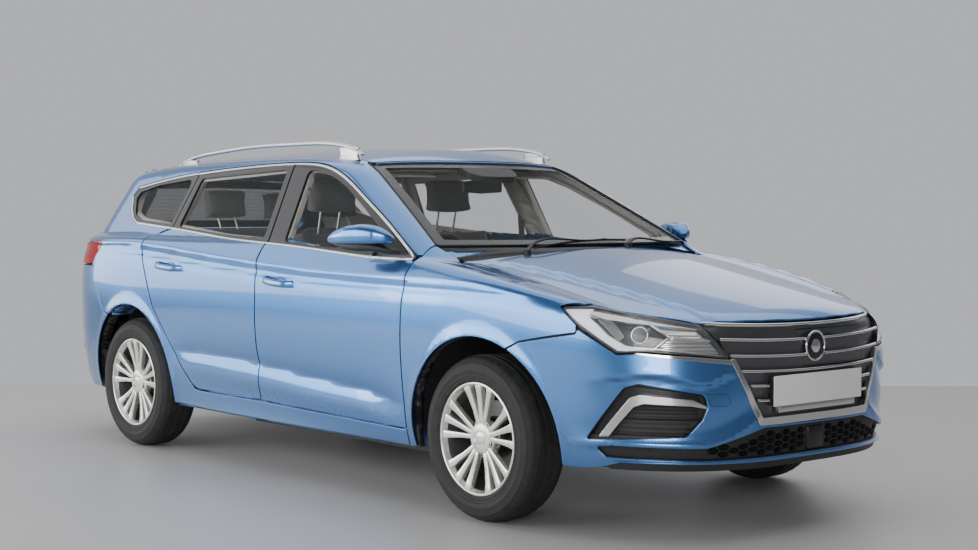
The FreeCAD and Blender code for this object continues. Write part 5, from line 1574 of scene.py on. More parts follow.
def swept(name: str, path: Sequence[Sequence[float]], sizes: Sequence[tuple[float, float]],
          up: Sequence[float] = (0, 0, 1), steps: int = 20, power: float = 2.0,
          count: int = 40) -> bpy.types.Object:
    """Make a smooth closed body with rounded sections along a path.

    Args:
        name: The piece's name.
        path: Points in order, joined by a smooth curve.
        sizes: A half width and a half height at each point.
        up: Which way the sections stand.
        steps: How many faces go round.
        power: How square the sections are, 2 for an ellipse.
        count: How many sections there are.

    Returns:
        The new piece.
    """
    points, halves = np.array(path, dtype=float), np.array(sizes, dtype=float)
    run = np.concatenate([[0], np.cumsum(np.linalg.norm(np.diff(points, axis=0), axis=1))])
    where = np.linspace(0, run[-1], count)
    line = np.stack([Curve(list(zip(run, points[:, k])))(where) for k in range(3)], 1)
    half = np.stack([np.interp(where, run, halves[:, k]) for k in range(2)], 1)
    ahead = np.gradient(line, axis=0)
    ahead /= np.linalg.norm(ahead, axis=1, keepdims=True)
    across = np.cross(ahead, np.array(up, dtype=float))
    across /= np.linalg.norm(across, axis=1, keepdims=True)
    top = np.cross(across, ahead)
    turns = np.linspace(0, math.tau, steps, endpoint=False)
    wide = np.sign(np.cos(turns)) * np.abs(np.cos(turns)) ** (2 / power)
    tall = np.sign(np.sin(turns)) * np.abs(np.sin(turns)) ** (2 / power)
    rings = (line[:, None] + across[:, None] * (half[:, :1] * wide)[..., None]
             + top[:, None] * (half[:, 1:] * tall)[..., None]).reshape(-1, 3)
    faces = []
    for i in range(count - 1):
        for k in range(steps):
            a, b = i * steps + k, i * steps + (k + 1) % steps
            faces.append((a, b, b + steps, a + steps))
    faces.append(tuple(range(steps))[::-1])
    faces.append(tuple(range((count - 1) * steps, count * steps)))
    mesh = bpy.data.meshes.new(name)
    mesh.from_pydata(rings.tolist(), [], faces)
    piece = bpy.data.objects.new(name, mesh)
    bpy.context.scene.collection.objects.link(piece)
    edit(piece)
    bpy.ops.mesh.normals_make_consistent(inside=False)
    bpy.ops.object.mode_set(mode="OBJECT")
    return shade(piece, 50.0)


# ------------------------------------------------------------------ nose
@dataclass
class Headlamps(Assembly):
    """The headlamps: a black border, a dark bowl, light bars, a lens and a clear cover.

    Points are on the body surface, on the left side.
    """

    body: Bodywork
    daylight: tuple = ((1.731, 0.808, 0.841), (1.806, 0.712, 0.852), (1.822, 0.772, 0.822),
                       (1.899, 0.757, 0.752), (1.960, 0.728, 0.716), (2.045, 0.662, 0.702),
                       (2.045, 0.662, 0.695), (1.940, 0.740, 0.696), (1.880, 0.770, 0.736),
                       (1.802, 0.800, 0.788))
    top_bar: tuple = ((1.815, 0.778, 0.834), (1.830, 0.690, 0.850), (1.960, 0.624, 0.824),
                      (2.112, 0.507, 0.791), (2.119, 0.505, 0.780), (1.960, 0.664, 0.802),
                      (1.840, 0.770, 0.819))
    hook: tuple = ((1.858, 0.762, 0.812), (1.896, 0.739, 0.815), (1.922, 0.732, 0.792),
                   (1.955, 0.725, 0.748), (1.945, 0.735, 0.732), (1.926, 0.742, 0.742))
    ribs: tuple = (((2.006, 0.642, 0.800), (2.085, 0.617, 0.751), (2.050, 0.662, 0.708)),
                   ((2.085, 0.617, 0.751), (2.176, 0.495, 0.736)),
                   ((1.945, 0.735, 0.712), (2.054, 0.657, 0.705), (2.199, 0.452, 0.678)))
    reflector: tuple = ((2.020, 0.645, 0.798), (2.115, 0.515, 0.780), (2.192, 0.462, 0.686),
                        (2.060, 0.655, 0.708), (2.092, 0.612, 0.751))
    bezel: tuple = ((1.930, 0.736, 0.797), (2.006, 0.640, 0.803), (2.070, 0.637, 0.756),
                    (2.050, 0.658, 0.713), (1.969, 0.720, 0.716), (1.948, 0.733, 0.750))

    def layer(self, name: str, points: Sequence[Sequence[float]], radius: float, depth: float,
              thickness: float, finish: Finish, relief: Callable[[Array], Array] | None = None) -> None:
        """Build one flat part of both lamps at a depth."""
        sheet = Sheet(name, Chart.NOSE, rounded(nose_rows(points), radius), depth=depth,
                      thickness=thickness, roll=0.0012, spacing=0.007, relief=relief)
        self.body.both(sheet, finish, "car_body")

    def build(self) -> None:
        """Build both headlamps."""
        loop = rounded(nose_rows(self.body.lamp_outline), 0.008, 0.006)
        self.body.both(Sheet("lamp_bowl", Chart.NOSE, inset(loop, 0.004, 0.006), depth=0.036,
                             thickness=0.004),
                       LAMP_DARK, "car_body", ["headlamps"])
        self.body.both(Sheet("lamp_border", Chart.NOSE, loop, [inset(loop, 0.0065, 0.006)], depth=0.0015,
                             thickness=0.042, roll=0.001, spacing=0.006), GLOSS_BLACK, "car_body")
        self.body.both(Sheet("lamp_cover", Chart.NOSE, inset(loop, 0.001, 0.006), depth=0.0005,
                             thickness=0.002, roll=0.0008), LAMP_COVER, "car_body")
        self.layer("lamp_daylight_bar", self.daylight, 0.004, 0.008, 0.020, DAYLIGHT)
        self.layer("lamp_top_bar", self.top_bar, 0.003, 0.010, 0.012, LAMP_SILVER)
        self.layer("lamp_hook", self.hook, 0.003, 0.012, 0.016, LAMP_SILVER)
        self.layer("lamp_bezel", self.bezel, 0.004, 0.026, 0.008, LAMP_DARK)
        self.layer("lamp_reflector", self.reflector, 0.004, 0.020, 0.010, LAMP_SILVER,
                   lambda p: 0.0035 * np.abs(((p[:, 2] * 70) % 1.0) - 0.5))
        ribs = []
        for i, points in enumerate(self.ribs):
            path = sunk(lay(Chart.NOSE, divided(np.array(nose_rows(points)), 0.01, False)), 0.012)
            ribs.append(Strip(f"lamp_rib_{i}", path, 0.0085, 0.004, 0.012).build())
        ribs = merge(ribs, "lamp_ribs_left")
        lens = self.lens()
        for side, word in SIDES:
            for piece, name, finish in ((ribs, "lamp_ribs", LAMP_SILVER), (lens[0], "lamp_lens", LENS),
                                        (lens[1], "lamp_lens_rim", LAMP_SILVER)):
                made = piece if side > 0 else mirrored(piece, f"{name}_{word}")
                dress(made, finish, "car_body")

    def lens(self) -> tuple[bpy.types.Object, bpy.types.Object]:
        """Build the left lamp's projector lens and its rim."""
        middle = lay(Chart.NOSE, np.array([np.mean(nose_rows(self.bezel), axis=0)]))
        out = FORM.normals(middle)[0]
        centre = middle[0] - out * 0.034
        clear()
        bpy.ops.mesh.primitive_uv_sphere_add(segments=32, ring_count=16, radius=0.027, location=centre)
        lens = shade(settle(bpy.context.object, "lamp_lens_left"), 60)
        return lens, ring("lamp_lens_rim_left", centre + out * 0.008, out, 0.029, 0.0028, 48, 10)


@dataclass
class Grille(Assembly):
    """The grille: sloping dark bands, bright bars, a bright frame, a charge flap and a disc."""

    body: Bodywork
    bar_heights: tuple = (0.780, 0.724, 0.666, 0.611, 0.558, 0.505)
    bar_ends: tuple = (0.488, 0.462, 0.430, 0.386, 0.348, 0.318)
    bar_rise: float = 0.014
    flap: tuple = ((-0.088, 0.7635), (0.326, 0.7635), (0.320, 0.622), (-0.052, 0.622))
    short_start: float = 0.270
    disc_radius: float = 0.058
    plate_half: float = 0.260

    def bands(self, points: Array) -> Array:
        """Return how deep the sloping bands lie."""
        z = points[:, 2] - self.bar_rise * (points[:, 1] / 0.46) ** 2
        marks = np.array(self.bar_heights[::-1])
        place = np.clip(np.searchsorted(marks, z), 1, len(marks) - 1)
        share = np.clip((marks[place] - z) / (marks[place] - marks[place - 1]), 0, 1)
        return 0.010 + 0.014 * share

    def row(self, z: float, start: float, end: float) -> Array:
        """Return body points along a bar."""
        ys = np.linspace(start, end, 30)
        return on(Chart.FRONT, [(y, z + self.bar_rise * (y / 0.46) ** 2) for y in ys])

    def build(self) -> None:
        """Build the grille and what is on it."""
        outline = both_halves([(0.0, 0.790), (0.30, 0.794), (0.498, 0.803), (0.430, 0.668), (0.312, 0.425),
                               (0.0, 0.425)])
        flap = rounded(list(self.flap), 0.006)
        panel = Sheet("grille_panel", Chart.FRONT, rounded(outline, 0.004), [flap + outwards(flap) * 0.0022],
                      thickness=0.010, roll=0.001, spacing=0.009, relief=self.bands)
        dress(panel.build(), GRILLE_GREY, "car_body", "grille")
        door = Sheet("charge_flap_skin", Chart.FRONT, flap, thickness=0.008, roll=0.001, spacing=0.009,
                     relief=self.bands)
        dress(door.build(), GRILLE_GREY, "charge_flap", "charge_flap")
        self.pocket(flap)
        self.bars()
        frame_rows = [(0.438, 0.667), (0.316, 0.4205), (-0.316, 0.4205), (-0.438, 0.667), (-0.417, 0.667),
                      (-0.301, 0.449), (0.301, 0.449), (0.417, 0.667)]
        frame_piece = Sheet("grille_frame", Chart.FRONT, rounded(frame_rows, [0.004, 0.012, 0.012, 0.004,
                            0.004, 0.008, 0.008, 0.004]), depth=-0.003, thickness=0.018, roll=0.002)
        dress(frame_piece.build(), CHROME, "car_body")
        strip = nose_rows([(2.000, 0.702, 0.6905), (2.139, 0.563, 0.6770), (2.214, 0.418, 0.6625),
                           (2.220, 0.407, 0.644), (2.145, 0.558, 0.6630), (2.010, 0.692, 0.6825),
                           (1.992, 0.708, 0.6860)])
        self.body.both(Sheet("lamp_under_strip", Chart.NOSE, rounded(strip, 0.003), depth=-0.0025,
                             thickness=0.010, roll=0.001, spacing=0.006), CHROME, "car_body")
        self.number_plate()
        self.disc()

    def pocket(self, flap: Array) -> None:
        """Build the dark box behind the charge flap."""
        hole = rounded([(0.110 + 0.047 * math.cos(t), 0.692 + 0.047 * math.sin(t))
                        for t in np.linspace(0, math.tau, 28, endpoint=False)], 0.004)
        back = Sheet("charge_pocket", Chart.FRONT, flap + outwards(flap) * 0.008, [hole], depth=0.046,
                     thickness=0.003)
        wall = Sheet("charge_pocket_wall", Chart.FRONT, flap + outwards(flap) * 0.010,
                     [flap + outwards(flap) * 0.003], depth=0.034, thickness=0.014, roll=0.0008)
        dress(merge([back.build(), wall.build()], "charge_pocket"), BLACK_PLASTIC, "car_body")

    def bars(self) -> None:
        """Build the bright bars, those on the flap apart from the others."""
        fixed, moving = [], []
        for number, (z, end) in enumerate(zip(self.bar_heights, self.bar_ends)):
            spans = [(-end, end)]
            if z < 0.60:
                spans = [(-end, -self.short_start), (self.short_start, end)]
            elif 0.63 < z < 0.75:
                lean = -0.088 + 0.036 * (0.7635 - z) / 0.1415
                spans = [(-end, lean - 0.002), (0.329, end)]
                for k, (a, b) in enumerate(((lean + 0.002, -0.052), (0.052, 0.321))):
                    moving.append(Strip(f"flap_bar_{number}_{k}", sunk(self.row(z, a, b), 0.008), 0.0105,
                                        0.010, 0.010).build())
            for k, (a, b) in enumerate(spans):
                fixed.append(Strip(f"bar_{number}_{k}", sunk(self.row(z, a, b), 0.008), 0.0115, 0.0105,
                                   0.010).build())
        dress(merge(fixed, "grille_bars"), CHROME, "car_body")
        dress(merge(moving, "flap_bars"), CHROME, "charge_flap")

    def number_plate(self) -> None:
        """Build the blank front number plate and its holder."""
        x = float(on(Chart.FRONT, [(0.0, 0.54)])[0, 0]) + 0.001
        half = self.plate_half
        face = block("front_plate", (x, -half, 0.487), (x + 0.004, half, 0.598), 0.0018, 3)
        dress(face, PLATE_WHITE, "car_body")
        holder = block("front_plate_holder", (x - 0.030, -half + 0.004, 0.489),
                       (x - 0.0003, half - 0.004, 0.596),
                       0.003)
        foot = block("front_plate_foot", (x - 0.022, -0.225, 0.462), (x - 0.001, 0.225, 0.489), 0.003)
        dress(holder, BLACK_PLASTIC, "car_body")
        dress(foot, SATIN, "car_body")

    def disc(self) -> None:
        """Build the plain disc in the middle of the grille."""
        x = float(on(Chart.FRONT, [(0.0, 0.695)])[0, 0])
        disc = bar("nose_disc", (x - 0.020, 0, 0.695), (x - 0.001, 0, 0.695), self.disc_radius - 0.002, 0.003,
                   64)
        dress(disc, GLOSS_BLACK, "charge_flap")
        edge = ring("nose_disc_rim", (x - 0.003, 0, 0.695), (1, 0, 0), self.disc_radius - 0.004, 0.0045, 72,
                    12)
        boss = bar("nose_disc_boss", (x - 0.010, 0, 0.695), (x + 0.0015, 0, 0.695), 0.026, 0.004, 48)
        dress(merge([edge, boss], "nose_disc_rim"), CHROME, "charge_flap")


@dataclass
class FrontOpenings(Assembly):
    """The lower intake's mesh, the fog pockets, the splitter and the tow cover."""

    body: Bodywork
    insert: tuple = ((1.900, 0.746, 0.385), (2.000, 0.699, 0.500), (2.146, 0.564, 0.493),
                     (2.168, 0.534, 0.451), (2.161, 0.544, 0.412), (2.131, 0.583, 0.385))
    boomerang: tuple = ((1.862, 0.761, 0.380), (1.979, 0.714, 0.530), (2.006, 0.699, 0.5385),
                        (2.150, 0.561, 0.523), (2.186, 0.507, 0.492), (2.185, 0.509, 0.487),
                        (2.147, 0.565, 0.499),
                        (2.021, 0.686, 0.506), (1.988, 0.706, 0.494), (1.898, 0.747, 0.380))

    def build(self) -> None:
        """Build the openings' parts."""
        self.mesh()
        self.fog_pockets()
        self.tow_cover()
        # The black chin below the splitter is painted shade for the dark, downward-facing underside of the
        # bumper's lip.
        chin = [(u, 0.2865 + 0.0) for u in np.linspace(0.0, 0.80, 8)] + [(0.86, 0.268)]
        chin += [(u, 0.259) for u in np.linspace(0.84, 0.0, 8)]
        dress(Sheet("chin", Chart.NOSE, rounded(both_halves(chin), 0.003), depth=0.004,
                    thickness=0.014).build(),
              BLACK_PLASTIC, "car_body")
        edge = lay(Chart.NOSE, np.array([(u, 0.2935) for u in np.linspace(-0.83, 0.83, 90)]))
        dress(Strip("splitter_edge", edge, 0.009, 0.007, 0.004, taper=0.6).build(), BUMPER_PAINT, "car_body")

    def mesh(self) -> None:
        """Build the six-sided mesh of the lower intake, its sensor block and its backing."""
        loop = rounded(self.body.half(self.body.intake), 0.008)
        wide = loop + outwards(loop) * 0.006
        holes = []
        pitch_u, pitch_v = 0.0400, 0.0270
        half_u, half_v = 0.0245, 0.0116
        safe = inset(loop, 0.004, 0.004)
        for column in range(-13, 14):
            for line in range(-1, 6):
                u = column * pitch_u
                v = 0.305 + (line + 0.5 * (column % 2)) * pitch_v
                cell = np.array([(u - half_u, v), (u - 0.5 * half_u, v - half_v),
                                 (u + 0.5 * half_u, v - half_v),
                                 (u + half_u, v), (u + 0.5 * half_u, v + half_v),
                                 (u - 0.5 * half_u, v + half_v)])
                if abs(u) > 0.06 and inside(cell, safe).all() and abs(u) < 0.50:
                    holes.append(rounded([tuple(c) for c in cell], 0.002, 0.02))
        face = Sheet("intake_mesh", Chart.NOSE, wide, holes, depth=0.016, thickness=0.022, roll=0.0008,
                     spacing=0.02)
        dress(face.build(), BLACK_PLASTIC, "car_body", "lower_grille")
        # The backing is a near-black felt sheet 50 mm behind the mesh, painted shade for the dark space
        # behind the intake.
        soft = rounded(self.body.half(self.body.intake), 0.03)
        deep = soft + outwards(soft) * 0.010
        dress(Sheet("intake_backing", Chart.NOSE, deep, depth=0.050, thickness=0.004).build(), LINER_AND_PAINTED_SHADE,
              "car_body")
        rim = Sheet("intake_rim", Chart.NOSE, wide, [inset(loop, 0.002, 0.004)], depth=0.006, thickness=0.030,
                    roll=0.001)
        dress(rim.build(), GLOSS_BLACK, "car_body")
        x = float(on(Chart.FRONT, [(0.0, 0.35)])[0, 0])
        dress(block("radar_block", (x - 0.045, -0.046, 0.311), (x - 0.010, 0.046, 0.398), 0.006, 3),
              GLOSS_BLACK,
              "car_body")

    def tow_cover(self) -> None:
        """Build the seam of the towing eye's cover, on the right side only."""
        rows = nose_rows([(2.174, 0.525, 0.541), (2.211, 0.450, 0.541), (2.216, 0.437, 0.513),
                          (2.211, 0.450, 0.498), (2.185, 0.503, 0.500), (2.175, 0.523, 0.536)])
        path = lay(Chart.NOSE, divided(rounded(rows, 0.008), 0.004))
        seam = Strip("tow_cover_seam", path, 0.0016, 0.0002, 0.002, closed=True).build("tow_cover_seam", -1)
        dress(seam, SEAL, "car_body")

    def fog_pockets(self) -> None:
        """Build the fog pockets with their bright hooked bars and slatted inserts."""
        outer = rounded(nose_rows(self.body.fog_outline), 0.026)
        insert = rounded(nose_rows(self.insert), 0.022)
        surround = Sheet("fog_surround", Chart.NOSE, outer + outwards(outer) * 0.004,
                         depth=0.034, thickness=0.006)
        wall = Sheet("fog_wall", Chart.NOSE, outer + outwards(outer) * 0.003, [inset(outer, 0.002, 0.01)],
                     depth=0.003, thickness=0.030, roll=0.001, spacing=0.006)
        slats = Sheet("fog_insert", Chart.NOSE, insert, depth=0.026, thickness=0.012, spacing=0.0050,
                      relief=lambda p: 0.007 * (((p[:, 2] * 72.0) % 1.0) ** 1.5))
        hook = Sheet("fog_hook", Chart.NOSE,
                     rounded(nose_rows(self.boomerang), [0.003, 0.02, 0.02, 0.02, 0.002,
                     0.002, 0.02, 0.02, 0.02, 0.003]), depth=0.008, thickness=0.020, roll=0.0015,
                     spacing=0.006)
        self.body.both(surround, GLOSS_BLACK, "car_body")
        self.body.both(wall, GLOSS_BLACK, "car_body")
        self.body.both(slats, BLACK_PLASTIC, "car_body")
        self.body.both(hook, CHROME, "car_body")


# ------------------------------------------------------------------ tail
@dataclass
class Tail(Assembly):
    """The tail lamps, plate, reflectors and handle of the rear."""

    body: Bodywork

    def build(self) -> None:
        """Build the rear lamps and fittings."""
        rows = tail_rows(self.body.tail_lamp)
        loop = rounded(rows, 0.008)
        self.body.both(Sheet("tail_lamp_cover", Chart.TAIL, loop, depth=0.0, thickness=0.004, roll=0.003),
                       RED_COVER, "car_body")
        self.body.both(Sheet("tail_lamp_bowl", Chart.TAIL, inset(loop, 0.002), depth=0.016, thickness=0.008),
                       LAMP_DARK, "car_body", ["tail_lamps"])
        self.light_bar("tail_lamp_bar", Chart.TAIL, inset(loop, 0.018, 0.01), "car_body")
        gate = [(0.655, 0.905), (0.668, 1.012), (0.46, 1.008), (0.315, 0.975), (0.300, 0.925), (0.34, 0.907)]
        loop = rounded(gate, 0.016)
        self.body.both(Sheet("gate_lamp_cover", Chart.BACK, loop, depth=-0.005, thickness=0.012, roll=0.003),
                       RED_COVER, "tailgate", ["tailgate_lamps"])
        self.light_bar("gate_lamp_bar", Chart.BACK, inset(loop, 0.016, 0.01), "tailgate")
        self.fittings()

    def light_bar(self, name: str, chart: Chart, loop: Array, body: str) -> None:
        """Build a bright line round a lamp, on both sides."""
        path = sunk(lay(chart, loop), -0.0015 if chart is Chart.BACK else 0.004)
        for side, word in SIDES:
            dress(Strip(name, path, 0.005, 0.0015, 0.003, closed=True).build(f"{name}_{word}", side), RED_BAR,
                  body)

    def fittings(self) -> None:
        """Build the number plate, reflectors, bright strip, disc and handle."""
        centre = on(Chart.BACK, [(0.0, 0.795)])[0]
        low, high = on(Chart.BACK, [(0.0, 0.742), (0.0, 0.850)])
        lean = math.atan2(high[0] - low[0], high[2] - low[2])
        face = block("rear_plate", (-0.003, -0.26, -0.0555), (0.001, 0.26, 0.0555), 0.0018, 3)
        base = block("rear_plate_base", (0.001, -0.275, -0.066), (0.016, 0.275, 0.066), 0.004)
        for piece, finish in ((face, PLATE_YELLOW), (base, BLACK_PLASTIC)):
            piece.data.transform(Matrix.Translation(Vector(centre) + Vector((-0.005, 0, 0)))
                                 @ Matrix.Rotation(lean, 4, "Y"))
            dress(piece, finish, "tailgate")
        trim = on(Chart.BACK, [(y, 0.884 + 0.0 * y) for y in np.linspace(-0.30, 0.30, 30)])
        dress(Strip("tailgate_trim", trim, 0.018, 0.010, 0.004).build(), CHROME, "tailgate")
        touch = [(0.09, 0.862), (-0.09, 0.862), (-0.085, 0.875), (0.085, 0.875)]
        dress(Sheet("tailgate_handle", Chart.BACK, rounded(touch, 0.004), depth=-0.006,
                    thickness=0.010).build(),
              BLACK_PLASTIC, "tailgate")
        out = FORM.normals(on(Chart.BACK, [(0.0, 0.960)]))[0]
        spot = on(Chart.BACK, [(0.0, 0.960)])[0]
        disc = bar("tail_disc", spot - out * 0.004, spot + out * 0.005, 0.045, 0.003, 56)
        dress(disc, GLOSS_BLACK, "tailgate")
        edge = ring("tail_disc_rim", spot + out * 0.005, out, 0.042, 0.0035, 64, 10)
        boss = bar("tail_disc_boss", spot, spot + out * 0.008, 0.020, 0.002, 40)
        dress(merge([edge, boss], "tail_disc_rim"), CHROME, "tailgate")
        for side, word in SIDES:
            mark = [(0.60, 0.452), (0.78, 0.452), (0.79, 0.470), (0.61, 0.476)]
            mirror = Sheet("rear_reflector", Chart.TAIL, rounded(mark, 0.004), depth=-0.002, thickness=0.008,
                           roll=0.001)
            dress(mirror.build(f"rear_reflector_{word}", side), RED_COVER, "car_body")


# ------------------------------------------------------------------ side fittings
@dataclass
class SideFittings(Assembly):
    """Bright window strips, handles, door mirrors and roof rails."""

    body: Bodywork
    handles: tuple = (("front", -0.094, 0.108, 0.8875, 0.8715), ("rear", -1.042, -0.842, 0.9255, 0.9125))

    def build(self) -> None:
        """Build the fittings of both sides."""
        self.strips()
        self.door_handles()
        self.mirrors()
        self.rails()

    def strip(self, name: str, rows: Outline, body: str, nodes: Sequence[str] = ()) -> None:
        """Build a bright strip on both sides."""
        path = on(Chart.SIDE, rows)
        for side, word in SIDES:
            piece = Strip(name, path, 0.0125, 0.0035, 0.006).build(f"{name}_{word}", side)
            dress(piece, CHROME, body.replace("SIDE", word), *nodes)

    def strips(self) -> None:
        """Build the strips under and over the side windows."""
        self.strip("front_belt_strip", along(BELT, 0.878, -0.1785, 24), "front_door_SIDE")
        self.strip("rear_belt_strip", along(BELT, -0.187, -1.094, 20), "rear_door_SIDE")
        self.strip("front_upper_strip", along(UPPER, 0.866, -0.2245, 40, -0.006), "front_door_SIDE")
        self.strip("rear_upper_strip", along(UPPER, -0.2345, -1.046, 24, -0.006), "rear_door_SIDE")
        tail = along(BELT, -1.106, -1.50, 12) + [(-1.565, 1.1460), (-1.625, 1.189), (-1.680, 1.258)]
        self.strip("quarter_strip", tail, "car_body")
        self.strip("quarter_upper_strip", along(UPPER, -1.058, -1.640, 16, -0.004), "car_body")

    def door_handles(self) -> None:
        """Build the bar handles and the cups behind them, each cup a painted shadow: a near-black ellipse
        under a smaller, lower paint ellipse.
        """
        for word_end, start, end, z0, z1 in self.handles:
            middle, height = (start + end) / 2 + 0.012, (z0 + z1) / 2 - 0.003
            loop = [(middle + 0.052 * math.cos(t), height + 0.0225 * math.sin(t))
                    for t in np.linspace(0, math.tau, 33)[:-1]]
            # Painted shadow: a flat near-black ellipse with a smaller, lower paint ellipse over it leaves a
            # dark crescent at the top of the cup.
            for depth, grow, finish in ((-0.0006, 1.0, LINER_AND_PAINTED_SHADE), (-0.0012, 0.86, BUMPER_PAINT)):
                cup = Sheet(f"{word_end}_handle_cup_{len(finish.name)}", Chart.SIDE,
                            (np.array(loop) - (middle, height)) * grow + (middle,
                                                                          height - 0.0015 * (1 - grow)),
                            depth=depth, thickness=0.0012, roll=0.0003, spacing=0.006)
                self.body.both(cup, finish, f"{word_end}_door_SIDE")
            ends = on(Chart.SIDE, [(start, z0), (start + 0.02, z0), (end - 0.02, z1), (end, z1)])
            push = np.array([[0, -0.004, 0], [0, 0.022, 0], [0, 0.022, 0], [0, -0.004, 0]])
            path = ends + push
            grip = swept(f"{word_end}_handle_left", path, [(0.010, 0.016), (0.0085, 0.0155), (0.0085, 0.0155),
                                                           (0.010, 0.016)], power=2.8)
            line = swept(f"{word_end}_handle_line_left", path + [[0, 0.0088, 0.0]] * 4,
                         [(0.0004, 0.001)] + [(0.0016, 0.0028)] * 2 + [(0.0004, 0.001)])
            for side, word in SIDES:
                for piece, name, finish in ((grip, "handle", PAINT), (line, "handle_line", CHROME)):
                    made = piece if side > 0 else mirrored(piece, f"{word_end}_{name}_{word}")
                    dress(made, finish, f"{word_end}_door_{word}")

    def mirrors(self) -> None:
        """Build the door mirrors."""
        shell = swept("mirror_cap_left", [(0.792, 0.868, 1.074), (0.772, 0.885, 1.082), (0.735, 0.910, 1.091),
                                          (0.680, 0.934, 1.094), (0.610, 0.955, 1.090), (0.545, 0.972, 1.081),
                                          (0.515, 0.982, 1.075), (0.503, 0.986, 1.072)],
                      [(0.012, 0.012), (0.032, 0.026), (0.046, 0.040), (0.050, 0.046), (0.044, 0.042),
                       (0.030, 0.030), (0.016, 0.016), (0.004, 0.004)], power=2.9, steps=36, count=60)
        for vertex in shell.data.vertices:
            if vertex.co.z < 1.062:
                vertex.co.z = 1.062 - 0.45 * (1.062 - vertex.co.z)
        foot = swept("mirror_foot_left", [(0.800, 0.842, 1.026), (0.775, 0.868, 1.030), (0.735, 0.902, 1.042),
                                          (0.670, 0.932, 1.047), (0.600, 0.952, 1.050),
                                          (0.535, 0.968, 1.056)],
                     [(0.014, 0.010), (0.026, 0.013), (0.036, 0.017), (0.043, 0.020), (0.036, 0.017),
                      (0.010, 0.006)], power=2.8, steps=28)
        turn_light = swept("mirror_light_left", [(0.762, 0.938, 1.070), (0.720, 0.960, 1.071),
                                                 (0.640, 0.985, 1.070), (0.590, 0.992, 1.068)],
                           [(0.003, 0.003), (0.004, 0.0040), (0.004, 0.0040), (0.003, 0.003)])
        face = swept("mirror_glass_left",
                     [(0.560, 0.912, 1.081), (0.556, 0.925, 1.081), (0.545, 0.942, 1.080),
                                           (0.536, 0.952, 1.079)],
                     [(0.004, 0.012), (0.004, 0.030), (0.004, 0.028), (0.004, 0.010)], power=2.6)
        sail = Sheet("mirror_sail", Chart.SIDE, rounded([(0.655, 1.018), (0.652, 1.112), (0.720, 1.079),
                                                         (0.800, 1.032), (0.820, 1.016)], 0.004),
                     depth=0.001, thickness=0.010)
        self.body.both(sail, BLACK_PLASTIC, "front_door_SIDE")
        parts = ((shell, "mirror_cap", PAINT), (foot, "mirror_foot", BLACK_PLASTIC),
                 (turn_light, "mirror_light", AMBER), (face, "mirror_glass", MIRROR_FACE))
        for side, word in SIDES:
            for piece, name, finish in parts:
                made = piece if side > 0 else mirrored(piece, f"{name}_{word}")
                nodes = [f"door_mirror_{word}"] if name == "mirror_cap" else []
                dress(made, finish, f"front_door_{word}", *nodes)

    def rails(self) -> None:
        """Build the roof rails."""
        line = [(0.178, 0.566, 1.440), (0.130, 0.564, 1.463), (0.030, 0.563, 1.486), (-0.072, 0.563, 1.4965),
                (-0.320, 0.563, 1.5015), (-0.669, 0.563, 1.4985), (-1.089, 0.563, 1.474),
                (-1.300, 0.563, 1.446),
                (-1.408, 0.565, 1.412)]
        sizes = [(0.010, 0.004), (0.014, 0.009), (0.015, 0.010), (0.015, 0.010), (0.015, 0.010),
                 (0.015, 0.010),
                 (0.015, 0.010), (0.015, 0.009), (0.010, 0.004)]
        rail = swept("roof_rail_left", line, sizes, power=2.6, count=90)
        feet = []
        for number, (x, top, reach) in enumerate(((0.075, 1.474, 0.085), (-1.30, 1.442, 0.090))):
            base = float(lay(Chart.TOP, np.array([[x, 0.563]]))[0, 2]) - 0.006
            feet.append(swept(f"rail_foot_{number}", [(x, 0.563, base), (x, 0.563, (base + top) / 2),
                                                      (x, 0.563, top)],
                              [(reach, 0.012), (reach * 0.8, 0.010), (reach * 0.9, 0.011)], (0, 1, 0),
                              power=3.0, count=12))
        foot = merge(feet, "rail_feet_left")
        for side, word in SIDES:
            for piece, name, finish in ((rail, "roof_rail", SATIN), (foot, "rail_feet", SATIN)):
                made = piece if side > 0 else mirrored(piece, f"{name}_{word}")
                dress(made, finish, "car_body", *(["roof_rails"] if name == "roof_rail" else []))


